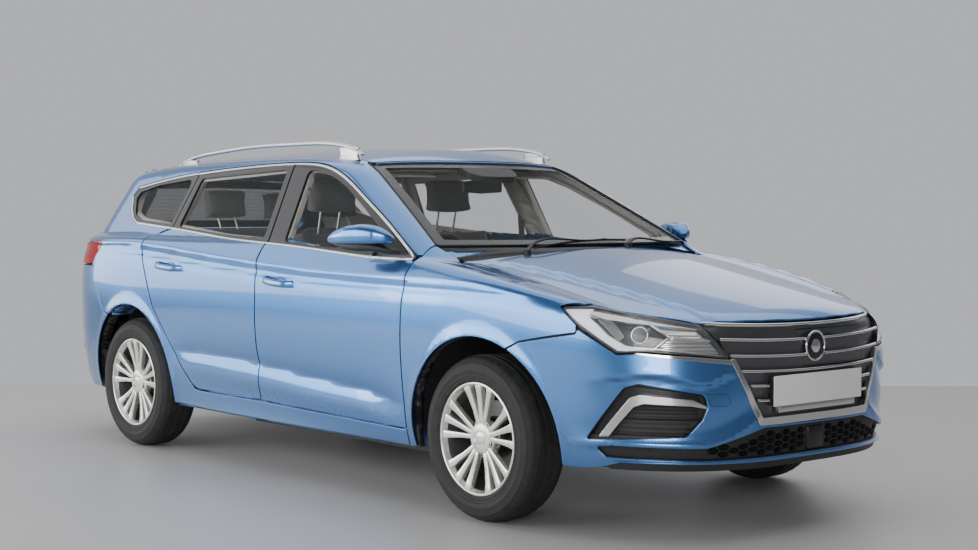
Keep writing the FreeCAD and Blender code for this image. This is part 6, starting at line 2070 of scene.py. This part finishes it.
# ------------------------------------------------------------------ wheels
@dataclass
class Wheels(Assembly):
    """The tyres, alloy wheels, bolts and brake discs, built once and copied to each corner."""

    lip_radius: float = 0.2180
    spoke_root: float = 0.050
    spoke_tip: float = 0.2035
    groups: int = 5
    spread: float = 19.0
    bolt_circle: float = 0.054
    lugs: int = 52
    steps: int = 156

    def build(self) -> None:
        """Build the four wheels."""
        centre = (0.0, 0.0, 0.0)
        # The wheel's barrel takes the dark copy of the alloy, painted shade.
        parts = ((self.tyre(centre), "tyre", RUBBER, "tyre"), (self.rim(centre), "rim", ALLOY, "rim"),
                 (self.well(centre), "rim_well", ALLOY_PAINTED_SHADE, ""), (self.bolts(), "wheel_bolts", STEEL, ""),
                 (self.recesses(), "bolt_recesses", LINER_AND_PAINTED_SHADE, ""), (self.disc(centre), "brake_disc", DISC, ""))
        for end, axle in (("front", FRONT_AXLE_X), ("rear", REAR_AXLE_X)):
            for side, word in SIDES:
                shift = Matrix.Translation((axle, side * TRACK_HALF, AXLE_Z))
                flip = Matrix.Identity(4) if side > 0 else Matrix.Rotation(math.pi, 4, "Z")
                for piece, name, finish, node in parts:
                    made = placed(piece, f"{end}_{name}_{word}", shift @ flip)
                    nodes = [f"{end}_{node}_{word}"] if node else []
                    dress(made, finish, f"{end}_wheel_{word}", *nodes)
        for piece, *_ in parts:
            bpy.data.objects.remove(piece)

    def tyre(self, centre: Sequence[float]) -> bpy.types.Object:
        """Build a tyre with a ribbed wall, round grooves and lugs across its tread."""
        r = TYRE_RADIUS
        wall = [(0.2162, 0.0845), (0.2190, 0.0905), (0.2235, 0.0950), (0.2290, 0.0968), (0.2300, 0.0988),
                (0.2330, 0.0988), (0.2345, 0.0972), (0.2420, 0.0990), (0.2432, 0.1004), (0.2450, 0.1004),
                (0.2462, 0.0998), (0.2580, 0.1016), (0.2600, 0.1026), (0.2650, 0.1028), (0.2668, 0.1018),
                (0.2780, 0.1006), (0.2880, 0.0978), (0.2894, 0.0986), (0.2912, 0.0984), (0.2925, 0.0962),
                (0.3010, 0.0905), (0.3075, 0.0835), (0.3125, 0.0760), (r - 0.0060, 0.0690),
                (r - 0.0028, 0.0600)]
        tread = []
        for inner, outer in ((0.0470, 0.0540), (0.0150, 0.0230)):
            tread += [(r - 0.0012, outer + 0.0008), (r - 0.0075, outer - 0.0012),
                      (r - 0.0075, inner + 0.0012),
                      (r - 0.0004, inner - 0.0008)]
        half = wall + tread
        section = half + [(a, -b) for a, b in reversed(half)]
        piece = turned("tyre_master", section, centre, self.steps)
        places = np.empty(len(piece.data.vertices) * 3)
        piece.data.vertices.foreach_get("co", places)
        points = places.reshape(-1, 3)
        radius = np.hypot(points[:, 0], points[:, 2])
        turn = np.arctan2(points[:, 2], points[:, 0]) / math.tau
        across = np.abs(points[:, 1])
        shoulder = (across > 0.053) & (radius > 0.300)
        slot = ((turn * self.lugs + across * 3.0 + 0.05) % 1.0) < 0.26
        middle = (across < 0.048) & (radius > r - 0.002)
        fine = ((turn * self.lugs + points[:, 1] * 14.0) % 1.0) < 0.26
        drop = np.where(shoulder & slot, 0.0042 * np.clip((across - 0.050) / 0.01, 0, 1), 0.0)
        drop = np.where(middle & fine, 0.0022, drop)
        points[:, [0, 2]] *= (1 - drop / np.maximum(radius, 0.01))[:, None]
        piece.data.vertices.foreach_set("co", points.ravel())
        return shade(piece, 28.0)

    def rim(self, centre: Sequence[float]) -> bpy.types.Object:
        """Build the bright lip, the spokes and the hub cap."""
        lip = turned("lip", [(0.2060, 0.0835), (0.2095, 0.0925), (0.2135, 0.0945), (self.lip_radius, 0.0930),
                             (self.lip_radius, 0.0885), (0.2120, 0.0845), (0.2040, 0.0700), (0.2000, 0.0700)],
                     centre, 144)
        hub = turned("hub", [(0.0, 0.030), (0.0, 0.0795), (0.018, 0.0785), (0.0265, 0.0755), (0.0285, 0.0715),
                             (0.0300, 0.0715), (0.0330, 0.0750), (0.046, 0.0735), (0.062, 0.0700),
                             (0.0705, 0.0640), (0.0735, 0.0560), (0.0735, 0.030)], centre, 90, closed=True)
        groups = []
        for group in range(self.groups):
            for place in (-1, 0, 1):
                turn = 90.0 + group * 360.0 / self.groups + place * self.spread
                root = turn - place * self.spread * 0.18
                groups.append(self.spoke(math.radians(root), math.radians(turn), place))
        return merge([lip, hub, *groups], "rim_master")

    def spoke(self, root: float, tip: float, place: int) -> bpy.types.Object:
        """Build one spoke from an angle at the hub to an angle at the lip."""
        rows = ((self.spoke_root, root, 0.0085, 0.0705), (0.115, (root + tip) / 2, 0.0100, 0.0745),
                (0.170, root * 0.2 + tip * 0.8, 0.0130, 0.0815),
                (self.spoke_tip + 0.004, tip, 0.0170, 0.0885))
        edges = []
        for sign in (1, -1):
            side = []
            for radius, angle, half, y in rows:
                out = Vector((math.cos(angle), 0, math.sin(angle)))
                aside = Vector((-math.sin(angle), 0, math.cos(angle)))
                side.append(out * radius + aside * half * sign + Vector((0, y, 0)))
            edges.append(side)
        clear()
        mesh = bpy.data.meshes.new("spoke")
        corners = [tuple(p) for p in edges[0] + edges[1]]
        count = len(rows)
        mesh.from_pydata(corners, [], [(k, k + 1, count + k + 1, count + k) for k in range(count - 1)])
        piece = bpy.data.objects.new(f"spoke_{place}", mesh)
        bpy.context.scene.collection.objects.link(piece)
        edit(piece)
        bpy.ops.mesh.extrude_region_move(TRANSFORM_OT_translate={"value": (0, -0.026, 0)})
        bpy.ops.mesh.select_all(action="SELECT")
        bpy.ops.mesh.normals_make_consistent(inside=False)
        bpy.ops.object.mode_set(mode="OBJECT")
        modify(piece, "SUBSURF", levels=1, render_levels=1, subdivision_type="SIMPLE")
        modify(piece, "BEVEL", width=0.0036, segments=2, limit_method="ANGLE", angle_limit=math.radians(40))
        return shade(piece, 35.0)

    def well(self, centre: Sequence[float]) -> bpy.types.Object:
        """Build the wheel's barrel."""
        section = [(0.2085, 0.0880), (0.2030, 0.0700), (0.1965, 0.0500), (0.1930, -0.0200), (0.2040, -0.0880),
                   (0.2175, -0.0905), (0.2178, -0.0860), (0.2080, -0.0800), (0.1975, -0.0200),
                   (0.2010, 0.0500),
                   (0.2130, 0.0840)]
        return turned("well_master", section, centre, 120)

    def bolts(self) -> bpy.types.Object:
        """Build the wheel bolts."""
        bolt = bar("bolt", (self.bolt_circle, 0.050, 0), (self.bolt_circle, 0.0716, 0), 0.0072, 0.0012, 6)
        places = [Matrix.Rotation(-math.tau * (k + 0.5) / 5 - math.pi / 2, 4, "Y") for k in range(5)]
        return repeated(bolt, "bolts_master", places)

    def recesses(self) -> bpy.types.Object:
        """Build the cups round the wheel bolts, coloured near-black felt as painted shade."""
        # The cups are near-black felt: painted shade inside the bolt recesses.
        cup = bar("cup", (self.bolt_circle, 0.050, 0), (self.bolt_circle, 0.0722, 0), 0.0128, 0.0, 28)
        edit(cup, "FACE", False)
        bpy.ops.object.mode_set(mode="OBJECT")
        for face in cup.data.polygons:
            face.select = face.normal.y > 0.9
        bpy.ops.object.mode_set(mode="EDIT")
        bpy.ops.mesh.inset(thickness=0.0012)
        bpy.ops.mesh.extrude_region_move(TRANSFORM_OT_translate={"value": (0, -0.006, 0)})
        bpy.ops.object.mode_set(mode="OBJECT")
        places = [Matrix.Rotation(-math.tau * (k + 0.5) / 5 - math.pi / 2, 4, "Y") for k in range(5)]
        return repeated(shade(cup, 30), "recesses_master", places)

    def disc(self, centre: Sequence[float]) -> bpy.types.Object:
        """Build the brake disc with its hat and vents."""
        section = [(0.050, 0.040), (0.076, 0.040), (0.080, 0.034), (0.082, -0.030), (0.139, -0.030),
                   (0.1415, -0.0325), (0.1415, -0.038), (0.132, -0.040), (0.132, -0.046), (0.1415, -0.048),
                   (0.1415, -0.053), (0.139, -0.055), (0.060, -0.055), (0.050, -0.050)]
        return turned("disc_master", section, centre, 96)


# ------------------------------------------------------------------ wipers
@dataclass
class Wipers(Assembly):
    """The two windscreen wipers and their nozzles."""

    blades: tuple = (((1.118, -0.430), (1.093, -0.385), (1.068, 0.180)),
                     ((1.142, 0.130), (1.112, 0.175), (1.010, 0.600)))
    lift: float = 0.014

    def build(self) -> None:
        """Build the wipers."""
        arms, rubbers = [], []
        for number, (pivot, near, tip) in enumerate(self.blades):
            base = self.over(pivot, 0.004)
            start, end = self.over(near, self.lift + 0.012), self.over(tip, self.lift + 0.010)
            middle = (start * 0.45 + end * 0.55)
            cap = bar(f"wiper_cap_{number}", base - (0, 0, 0.018), base + (0, 0, 0.014), 0.016, 0.004, 28)
            arms.append(cap)
            arms.append(swept(f"wiper_arm_{number}",
                              [base + (0, 0, 0.008), start, middle, middle * 0.5 + end * 0.5],
                              [(0.012, 0.005), (0.009, 0.0045), (0.007, 0.004), (0.005, 0.003)], power=3.0))
            blade = [self.over(tuple((1 - t) * np.array(near) + t * np.array(tip)), 0.010)
                     for t in np.linspace(0.03, 1.0, 8)]
            rubbers.append(swept(f"wiper_blade_{number}", blade, [(0.007, 0.0045)] * 8, power=2.4, count=30))
        dress(merge(arms, "wiper_arms"), BLACK_PLASTIC, "car_body", "wipers")
        dress(merge(rubbers, "wiper_blades"), SEAL, "car_body")

    def over(self, place: tuple[float, float], height: float) -> Array:
        """Return a point over the windscreen or cowl."""
        point = lay(Chart.TOP, np.array([place]))
        return (point + FORM.normals(point) * height)[0]


# ------------------------------------------------------------------ cabin
@dataclass
class Cabin(Assembly):
    """The dashboard's fittings, steering wheel, mirror, belts and lining."""

    wheel_centre: tuple = (0.420, -0.360, 0.932)
    wheel_axis: tuple = (-0.8767, 0.0, 0.481)
    wheel_radius: float = 0.175

    def build(self) -> None:
        """Build what is seen through the windows."""
        self.dash()
        self.steering()
        self.overhead()
        self.belts()

    def dash(self) -> None:
        """Build the dashboard's pad, display, vents and hood, over the CAD dashboard."""
        pad = swept("dash_pad", [(0.800, -0.66, 0.975), (0.780, -0.36, 1.000), (0.770, 0.0, 0.992),
                                 (0.780, 0.36, 0.992), (0.800, 0.66, 0.975)],
                    [(0.150, 0.030), (0.185, 0.038), (0.190, 0.036), (0.185, 0.036), (0.150, 0.030)],
                    power=3.2, steps=32, count=60)
        dress(pad, SOFT_TRIM, "car_body")
        hood = swept("dial_hood", [(0.640, -0.53, 1.000), (0.630, -0.36, 1.045), (0.640, -0.19, 1.000)],
                     [(0.075, 0.012), (0.090, 0.014), (0.075, 0.012)], power=2.6, count=30)
        dress(hood, SOFT_TRIM, "car_body")
        dress(block("dial_screen", (0.592, -0.48, 0.955), (0.602, -0.24, 1.030), 0.004), SCREEN_DARK,
              "car_body")
        screen = block("touch_screen", (0.572, -0.125, 0.925), (0.588, 0.125, 1.060), 0.006, 3)
        dress(screen, SCREEN_DARK, "car_body")
        vents = []
        for y in (-0.60, -0.165, 0.165, 0.60):
            for k in range(4):
                vents.append(block(f"vent_{y}_{k}", (0.592, y - 0.035, 0.905 + 0.011 * k),
                                   (0.604, y + 0.035, 0.909 + 0.011 * k), 0.001, 1))
        dress(merge(vents, "dash_vents"), GLOSS_BLACK, "car_body")
        trim = block("dash_trim", (0.586, -0.66, 0.884), (0.600, 0.66, 0.894), 0.003)
        dress(trim, SATIN, "car_body")
        dial = bar("drive_selector", (0.20, 0.0, 0.555), (0.20, 0.0, 0.585), 0.032, 0.005, 48)
        dress(dial, SATIN, "car_body")

    def steering(self) -> None:
        """Build the steering wheel."""
        centre, axis = Vector(self.wheel_centre), Vector(self.wheel_axis)
        turn = axis.to_track_quat("Z", "X").to_matrix().to_4x4()
        place = Matrix.Translation(centre) @ turn
        rim = ring("steering_rim", (0, 0, 0), (0, 0, 1), self.wheel_radius, 0.0150, 96, 18)
        spokes = []
        for angle in (0.0, math.pi, -math.pi / 2):
            end = (math.cos(angle) * 0.168, math.sin(angle) * 0.168, 0.0)
            near = (math.cos(angle) * 0.045, math.sin(angle) * 0.045, -0.018)
            spokes.append(swept(f"steering_spoke_{len(spokes)}", [near, end],
                                [(0.020, 0.008), (0.011, 0.007)],
                                power=3.0, count=12))
        hub = bar("steering_hub", (0, 0, -0.045), (0, 0, 0.012), 0.068, 0.018, 48)
        hub.data.transform(Matrix.Diagonal((1.0, 0.82, 1.0, 1.0)))
        rim.data.transform(place)
        core = merge([*spokes, hub], "steering_core")
        core.data.transform(place)
        dress(rim, SOFT_TRIM, "steering_wheel", "steering_wheel")
        dress(core, BLACK_PLASTIC, "steering_wheel")

    def overhead(self) -> None:
        """Build the headlining, the mirror and the sun visors."""
        rows = [(0.270, 0.0), (0.262, 0.22), (0.180, 0.48), (-1.76, 0.50), (-1.78, 0.0)]
        loop = rounded(rows + [(x, -y) for x, y in reversed(rows[1:-1])], 0.05, 0.03)
        dress(Sheet("headlining", Chart.TOP, loop, depth=0.062, thickness=0.006, spacing=0.04).build(),
              HEADLINING, "car_body")
        mirror = swept("cabin_mirror", [(0.335, -0.115, 1.300), (0.328, 0.0, 1.303), (0.335, 0.115, 1.300)],
                       [(0.008, 0.024), (0.014, 0.034), (0.008, 0.024)], power=3.0, steps=28)
        stalk = swept("mirror_stalk", [(0.338, 0.0, 1.325), (0.370, 0.0, 1.375)],
                      [(0.010, 0.010), (0.014, 0.012)],
                      (0, 1, 0), count=8)
        dress(merge([mirror, stalk], "cabin_mirror"), BLACK_PLASTIC, "car_body")
        for side, word in SIDES:
            visor = block(f"sun_visor_{word}", (0.055, side * 0.36 - 0.17, 1.395),
                          (0.235, side * 0.36 + 0.17, 1.405),
                          0.005)
            for vertex in visor.data.vertices:
                vertex.co.z -= 0.25 * max(0.0, vertex.co.x - 0.02)
            dress(visor, HEADLINING, "car_body")

    def belts(self) -> None:
        """Build the front belts on the centre pillars."""
        for side, word in SIDES:
            path = [(-0.215, side * 0.735, 1.17), (-0.225, side * 0.755, 1.00), (-0.225, side * 0.765, 0.70),
                    (-0.215, side * 0.765, 0.42)]
            belt = swept(f"front_belt_{word}", path, [(0.023, 0.001)] * 4, (0, side, 0), power=4.0, steps=12)
            dress(belt, SEAT_SIDE, "car_body")


# ------------------------------------------------------------------ seats
PAD_CUTS = 7
CLOTH_PRESSURE = 4.0
CLOTH_QUALITY = 4
CLOTH_FRAMES = 20


@dataclass
class Pad:
    """A stuffed seat part: a crowned block that is filled like a cushion.

    Args:
        name: The part's name.
        low: Its lowest corner.
        high: Its highest corner.
        lean: How far it leans back, in degrees about its lower rear edge.
        bolster: How much its sides rise over its middle.
        crown: How much its middle swells.
        voxel: The size of its cloth faces.
        swell: The most that a point may move.
    """

    name: str
    low: tuple[float, float, float]
    high: tuple[float, float, float]
    lean: float = 0.0
    bolster: float = 0.0
    crown: float = 0.010
    voxel: float = 0.0104
    swell: float = 0.010

    def build(self) -> bpy.types.Object:
        low, high = np.array(self.low), np.array(self.high)
        piece = block(self.name, self.low, self.high, 0.0)
        edit(piece)
        bpy.ops.mesh.subdivide(number_cuts=PAD_CUTS)
        bpy.ops.object.mode_set(mode="OBJECT")
        places = np.empty(len(piece.data.vertices) * 3)
        piece.data.vertices.foreach_get("co", places)
        points = places.reshape(-1, 3)
        middle, half = (low + high) / 2, (high - low) / 2
        share = (points - middle) / half
        front = 2 if half[2] < half[0] else 0
        other = 0 if front == 2 else 2
        outer = share[:, front] > 0.9
        side = np.clip((np.abs(share[:, 1]) - 0.58) / 0.42, 0, 1)
        push = self.bolster * np.sin(side * math.pi * 0.75) + self.crown * (1 - share[:, 1] ** 2) * (
            1 - share[:, other] ** 2)
        points[:, front] += np.where(outer, push, 0.0)
        waist = 1 - 0.05 * (1 - share[:, other] ** 2)
        points[:, 1] = middle[1] + (points[:, 1] - middle[1]) * waist
        piece.data.vertices.foreach_set("co", points.ravel())
        modify(piece, "BEVEL", width=0.022, segments=2, limit_method="ANGLE", angle_limit=math.radians(50))
        modify(piece, "SUBSURF", levels=1, render_levels=1)
        if self.lean:
            piece.data.transform(about((self.low[0], middle[1], self.low[2]), (0, 1, 0),
                                       math.radians(-self.lean)))
        self.fill(piece)
        piece = shade(piece, 70.0)
        return piece

    def fill(self, piece: bpy.types.Object) -> None:
        """Fill the part with air so that its cloth draws tight, and cap how far it swells."""
        modify(piece, "REMESH", mode="VOXEL", voxel_size=self.voxel)
        count = len(piece.data.vertices)
        before = np.empty(count * 3)
        piece.data.vertices.foreach_get("co", before)
        pick(piece)
        cloth = piece.modifiers.new("cloth", "CLOTH")
        cloth.settings.use_pressure = True
        cloth.settings.uniform_pressure_force = CLOTH_PRESSURE
        cloth.settings.effector_weights.gravity = 0.0
        cloth.settings.quality = CLOTH_QUALITY
        for number in range(1, CLOTH_FRAMES + 1):
            bpy.context.scene.frame_set(number)
        bpy.ops.object.modifier_apply(modifier=cloth.name)
        bpy.context.scene.frame_set(1)
        after = np.empty(count * 3)
        piece.data.vertices.foreach_get("co", after)
        move = (after - before).reshape(-1, 3)
        reach = np.linalg.norm(move, axis=1, keepdims=True)
        move *= np.minimum(1.0, self.swell / np.maximum(reach, 1e-9))
        piece.data.vertices.foreach_set("co", (before.reshape(-1, 3) + move).ravel())


@dataclass
class Seats(Assembly):
    """The front seats and the rear bench with padded cushions, backs and headrests."""

    front_y: float = 0.360

    def build(self) -> None:
        """Build the seats."""
        y = self.front_y
        pads = (Pad("seat_cushion", (-0.205, y - 0.235, 0.400), (0.270, y + 0.235, 0.505), 0, 0.022),
                Pad("seat_back", (-0.290, y - 0.225, 0.515), (-0.185, y + 0.225, 1.085), 12.0, 0.026),
                Pad("seat_headrest", (-0.385, y - 0.125, 1.185), (-0.305, y + 0.125, 1.335), 4.0, 0.0, 0.006))
        self.place(pads, "seat_cushion", "front_seats")
        self.front_fittings()
        self.bench()

    def place(self, pads: tuple[Pad, ...], cushion: str, node: str) -> None:
        """Place each pad on both sides. The named cushion stands for the seats' CAD node."""
        for pad in pads:
            left = pad.build()
            for side, word in SIDES:
                made = placed(left, f"{pad.name}_{word}", Matrix.Scale(side, 4, (0, 1, 0)))
                if side < 0:
                    made.data.flip_normals()
                nodes = [node] if pad.name == cushion else []
                dress(made, SEAT_CLOTH, "car_body", *nodes)
            if pad.name == "bench_headrest":
                middle = placed(left, "bench_headrest_middle", Matrix.Translation((0, -0.360, -0.012)))
                dress(middle, SEAT_CLOTH, "car_body")
            bpy.data.objects.remove(left)

    def front_fittings(self) -> None:
        """Build the front seats' bases, side covers and headrest posts."""
        y = self.front_y
        base = block("seat_base_left", (-0.215, y - 0.225, 0.300), (0.250, y + 0.225, 0.398), 0.020, 3)
        shell = block("seat_shell_left", (-0.330, y - 0.215, 0.52), (-0.292, y + 0.215, 1.06), 0.016, 3)
        shell.data.transform(about((-0.290, y, 0.515), (0, 1, 0), math.radians(-12.0)))
        body = merge([base, shell], "seat_base_left")
        posts = merge([bar(f"post_{k}", (-0.385, y + k * 0.055, 1.06), (-0.352, y + k * 0.055, 1.20), 0.006)
                       for k in (-1, 1)], "headrest_posts_left")
        for side, word in SIDES:
            for piece, name, finish in ((body, "seat_base", SEAT_SIDE), (posts, "headrest_posts", SATIN)):
                made = piece if side > 0 else mirrored(piece, f"{name}_{word}")
                dress(made, finish, "car_body")

    def bench(self) -> None:
        """Build the rear bench."""
        pads = (Pad("bench_cushion", (-0.955, 0.012, 0.455), (-0.640, 0.620, 0.560), 0, 0.012),
                Pad("bench_back", (-1.075, 0.012, 0.560), (-0.980, 0.585, 1.100), 12.0, 0.014),
                Pad("bench_headrest", (-1.330, 0.245, 1.150), (-1.265, 0.475, 1.285), 6.0, 0.0, 0.006))
        self.place(pads, "bench_cushion", "rear_bench")
        tray = block("bench_base", (-0.960, -0.62, 0.330), (-0.660, 0.62, 0.452), 0.02)
        dress(tray, SEAT_SIDE, "car_body")
        posts = [bar(f"bench_post_{y}_{k}", (-1.245, y + k * 0.05, 1.075), (-1.297, y + k * 0.05, 1.17),
                     0.006)
                 for y in (-0.36, 0.0, 0.36) for k in (-1, 1)]
        dress(merge(posts, "bench_posts"), SATIN, "car_body")


# ------------------------------------------------------------------ underbody
@dataclass
class Underbody(Assembly):
    """Finishes for the CAD pieces that stay in view."""

    finishes: tuple = (("floor_pan", STEEL), ("wheel_liners", LINER_AND_PAINTED_SHADE), ("front_suspension", STEEL),
                       ("rear_axle", STEEL), ("drive_unit", SATIN), ("battery_pack", STEEL),
                       ("dashboard", SOFT_TRIM), ("charge_socket", BLACK_PLASTIC), ("knuckle_left", IRON),
                       ("knuckle_right", IRON))

    def build(self) -> None:
        """Give every carried-over CAD piece its finish."""
        for node, finish in self.finishes:
            piece = frame["nodes"][node]
            piece.data.materials.clear()
            piece.data.materials.append(finish.make())


# ------------------------------------------------------------------ studio
@dataclass
class Studio(Assembly):
    """The pale floor, the soft lights and the camera."""

    camera_place: tuple = (6.0898, -4.9490, 1.2175)
    yaw: float = 2.42709586
    pitch: float = 0.0423685
    roll: float = 0.00184217
    lens: float = 60.64
    floor_far: float = 11.1
    floor_depth: float = 24.0
    backdrop: tuple = (0.545, 0.552, 0.588, 1)
    surround: tuple = (0.13, 0.135, 0.15, 1)

    def build(self) -> None:
        """Build the floor, lights and camera."""
        clear()
        bpy.ops.mesh.primitive_plane_add(size=1, location=(0, 0, 0))
        bpy.context.object.scale = (self.floor_depth, 60.0, 1.0)
        bpy.context.object.rotation_euler = (0, 0, self.yaw)
        shift = self.floor_far - self.floor_depth / 2
        bpy.context.object.location = (self.camera_place[0] + shift * math.cos(self.yaw),
                                       self.camera_place[1] + shift * math.sin(self.yaw), 0.0)
        floor = settle(bpy.context.object, "studio_floor")
        floor.data.materials.append(Finish("studio_floor", "", (0.56, 0.55, 0.54), 0.45, mottle=0.04,
                                           mottle_scale=0.7).make())
        self.light("overhead", (-0.5, 1.0, 6.0), (-0.2, 0.0, 0.0), (11.0, 8.0), 300.0)
        self.light("near_side", (-2.0, -7.0, 2.2), (-0.2, -0.6, 0.6), (8.0, 3.0), 360.0)
        self.light("near_rear", (-9.5, -6.0, 1.7), (-0.5, -0.9, 0.6), (7.0, 2.2), 170.0)
        self.light("near_ceiling", (-8.6, -4.6, 5.6), (-0.5, -0.8, 1.0), (6.0, 4.5), 130.0)
        self.light("behind_camera", (8.5, -9.0, 2.6), (1.8, -0.6, 0.5), (5.0, 2.6), 470.0)
        self.light("far_side", (-1.0, 8.5, 4.6), (0.0, 0.5, 0.8), (9.0, 3.0), 80.0)
        self.world()
        self.camera()

    def world(self) -> None:
        """Surround the car with a grey room that is palest behind it."""
        world = bpy.data.worlds.new("studio")
        world.use_nodes = True
        tree = world.node_tree
        coordinates = tree.nodes.new("ShaderNodeTexCoord")
        facing = tree.nodes.new("ShaderNodeVectorMath")
        facing.operation = "DOT_PRODUCT"
        facing.inputs[1].default_value = (math.cos(self.yaw), math.sin(self.yaw), 0.0)
        ramp = tree.nodes.new("ShaderNodeValToRGB")
        ramp.color_ramp.elements[0].position = 0.35
        ramp.color_ramp.elements[0].color = self.surround
        ramp.color_ramp.elements[1].position = 0.88
        ramp.color_ramp.elements[1].color = self.backdrop
        tree.links.new(coordinates.outputs["Generated"], facing.inputs[0])
        tree.links.new(facing.outputs["Value"], ramp.inputs["Fac"])
        tree.links.new(ramp.outputs["Color"], tree.nodes["Background"].inputs["Color"])
        tree.nodes["Background"].inputs["Strength"].default_value = 1.0
        bpy.context.scene.world = world

    def light(self, name: str, place: Sequence[float], target: Sequence[float],
              size: tuple[float, float], power: float) -> None:
        """Hang a soft light that faces a point."""
        data = bpy.data.lights.new(name, "AREA")
        data.shape = "RECTANGLE"
        data.size, data.size_y = size
        data.energy = power
        lamp = bpy.data.objects.new(name, data)
        turn = (Vector(target) - Vector(place)).to_track_quat("-Z", "Y")
        lamp.matrix_world = Matrix.Translation(place) @ turn.to_matrix().to_4x4()
        bpy.context.scene.collection.objects.link(lamp)

    def camera(self) -> None:
        """Set the camera."""
        ahead = Vector((math.cos(self.yaw) * math.cos(self.pitch), math.sin(self.yaw) * math.cos(self.pitch),
                        -math.sin(self.pitch)))
        side = ahead.cross(Vector((0, 0, 1))).normalized()
        up = side.cross(ahead)
        c, s = math.cos(self.roll), math.sin(self.roll)
        side, up = c * side + s * up, c * up - s * side
        data = bpy.data.cameras.new("camera")
        data.lens = self.lens
        data.sensor_width = 36.0
        camera = bpy.data.objects.new("camera", data)
        turn = Matrix((side, up, -ahead)).transposed().to_4x4()
        camera.matrix_world = Matrix.Translation(self.camera_place) @ turn
        bpy.context.scene.collection.objects.link(camera)
        bpy.context.scene.camera = camera


def main() -> None:
    """Build the car in order and note the size of its model."""
    logging.basicConfig(level=logging.INFO, format="%(message)s")
    bodywork = Bodywork()
    for group in (bodywork, Glazing(bodywork), Headlamps(bodywork), Grille(bodywork),
                  FrontOpenings(bodywork), Tail(bodywork), SideFittings(bodywork), Wheels(), Wipers(),
                  Cabin(), Seats(), Underbody(), Studio()):
        LOG.info("building %s", type(group).__name__)
        group.build()
    clear()


if __name__ == "__main__":
    main()
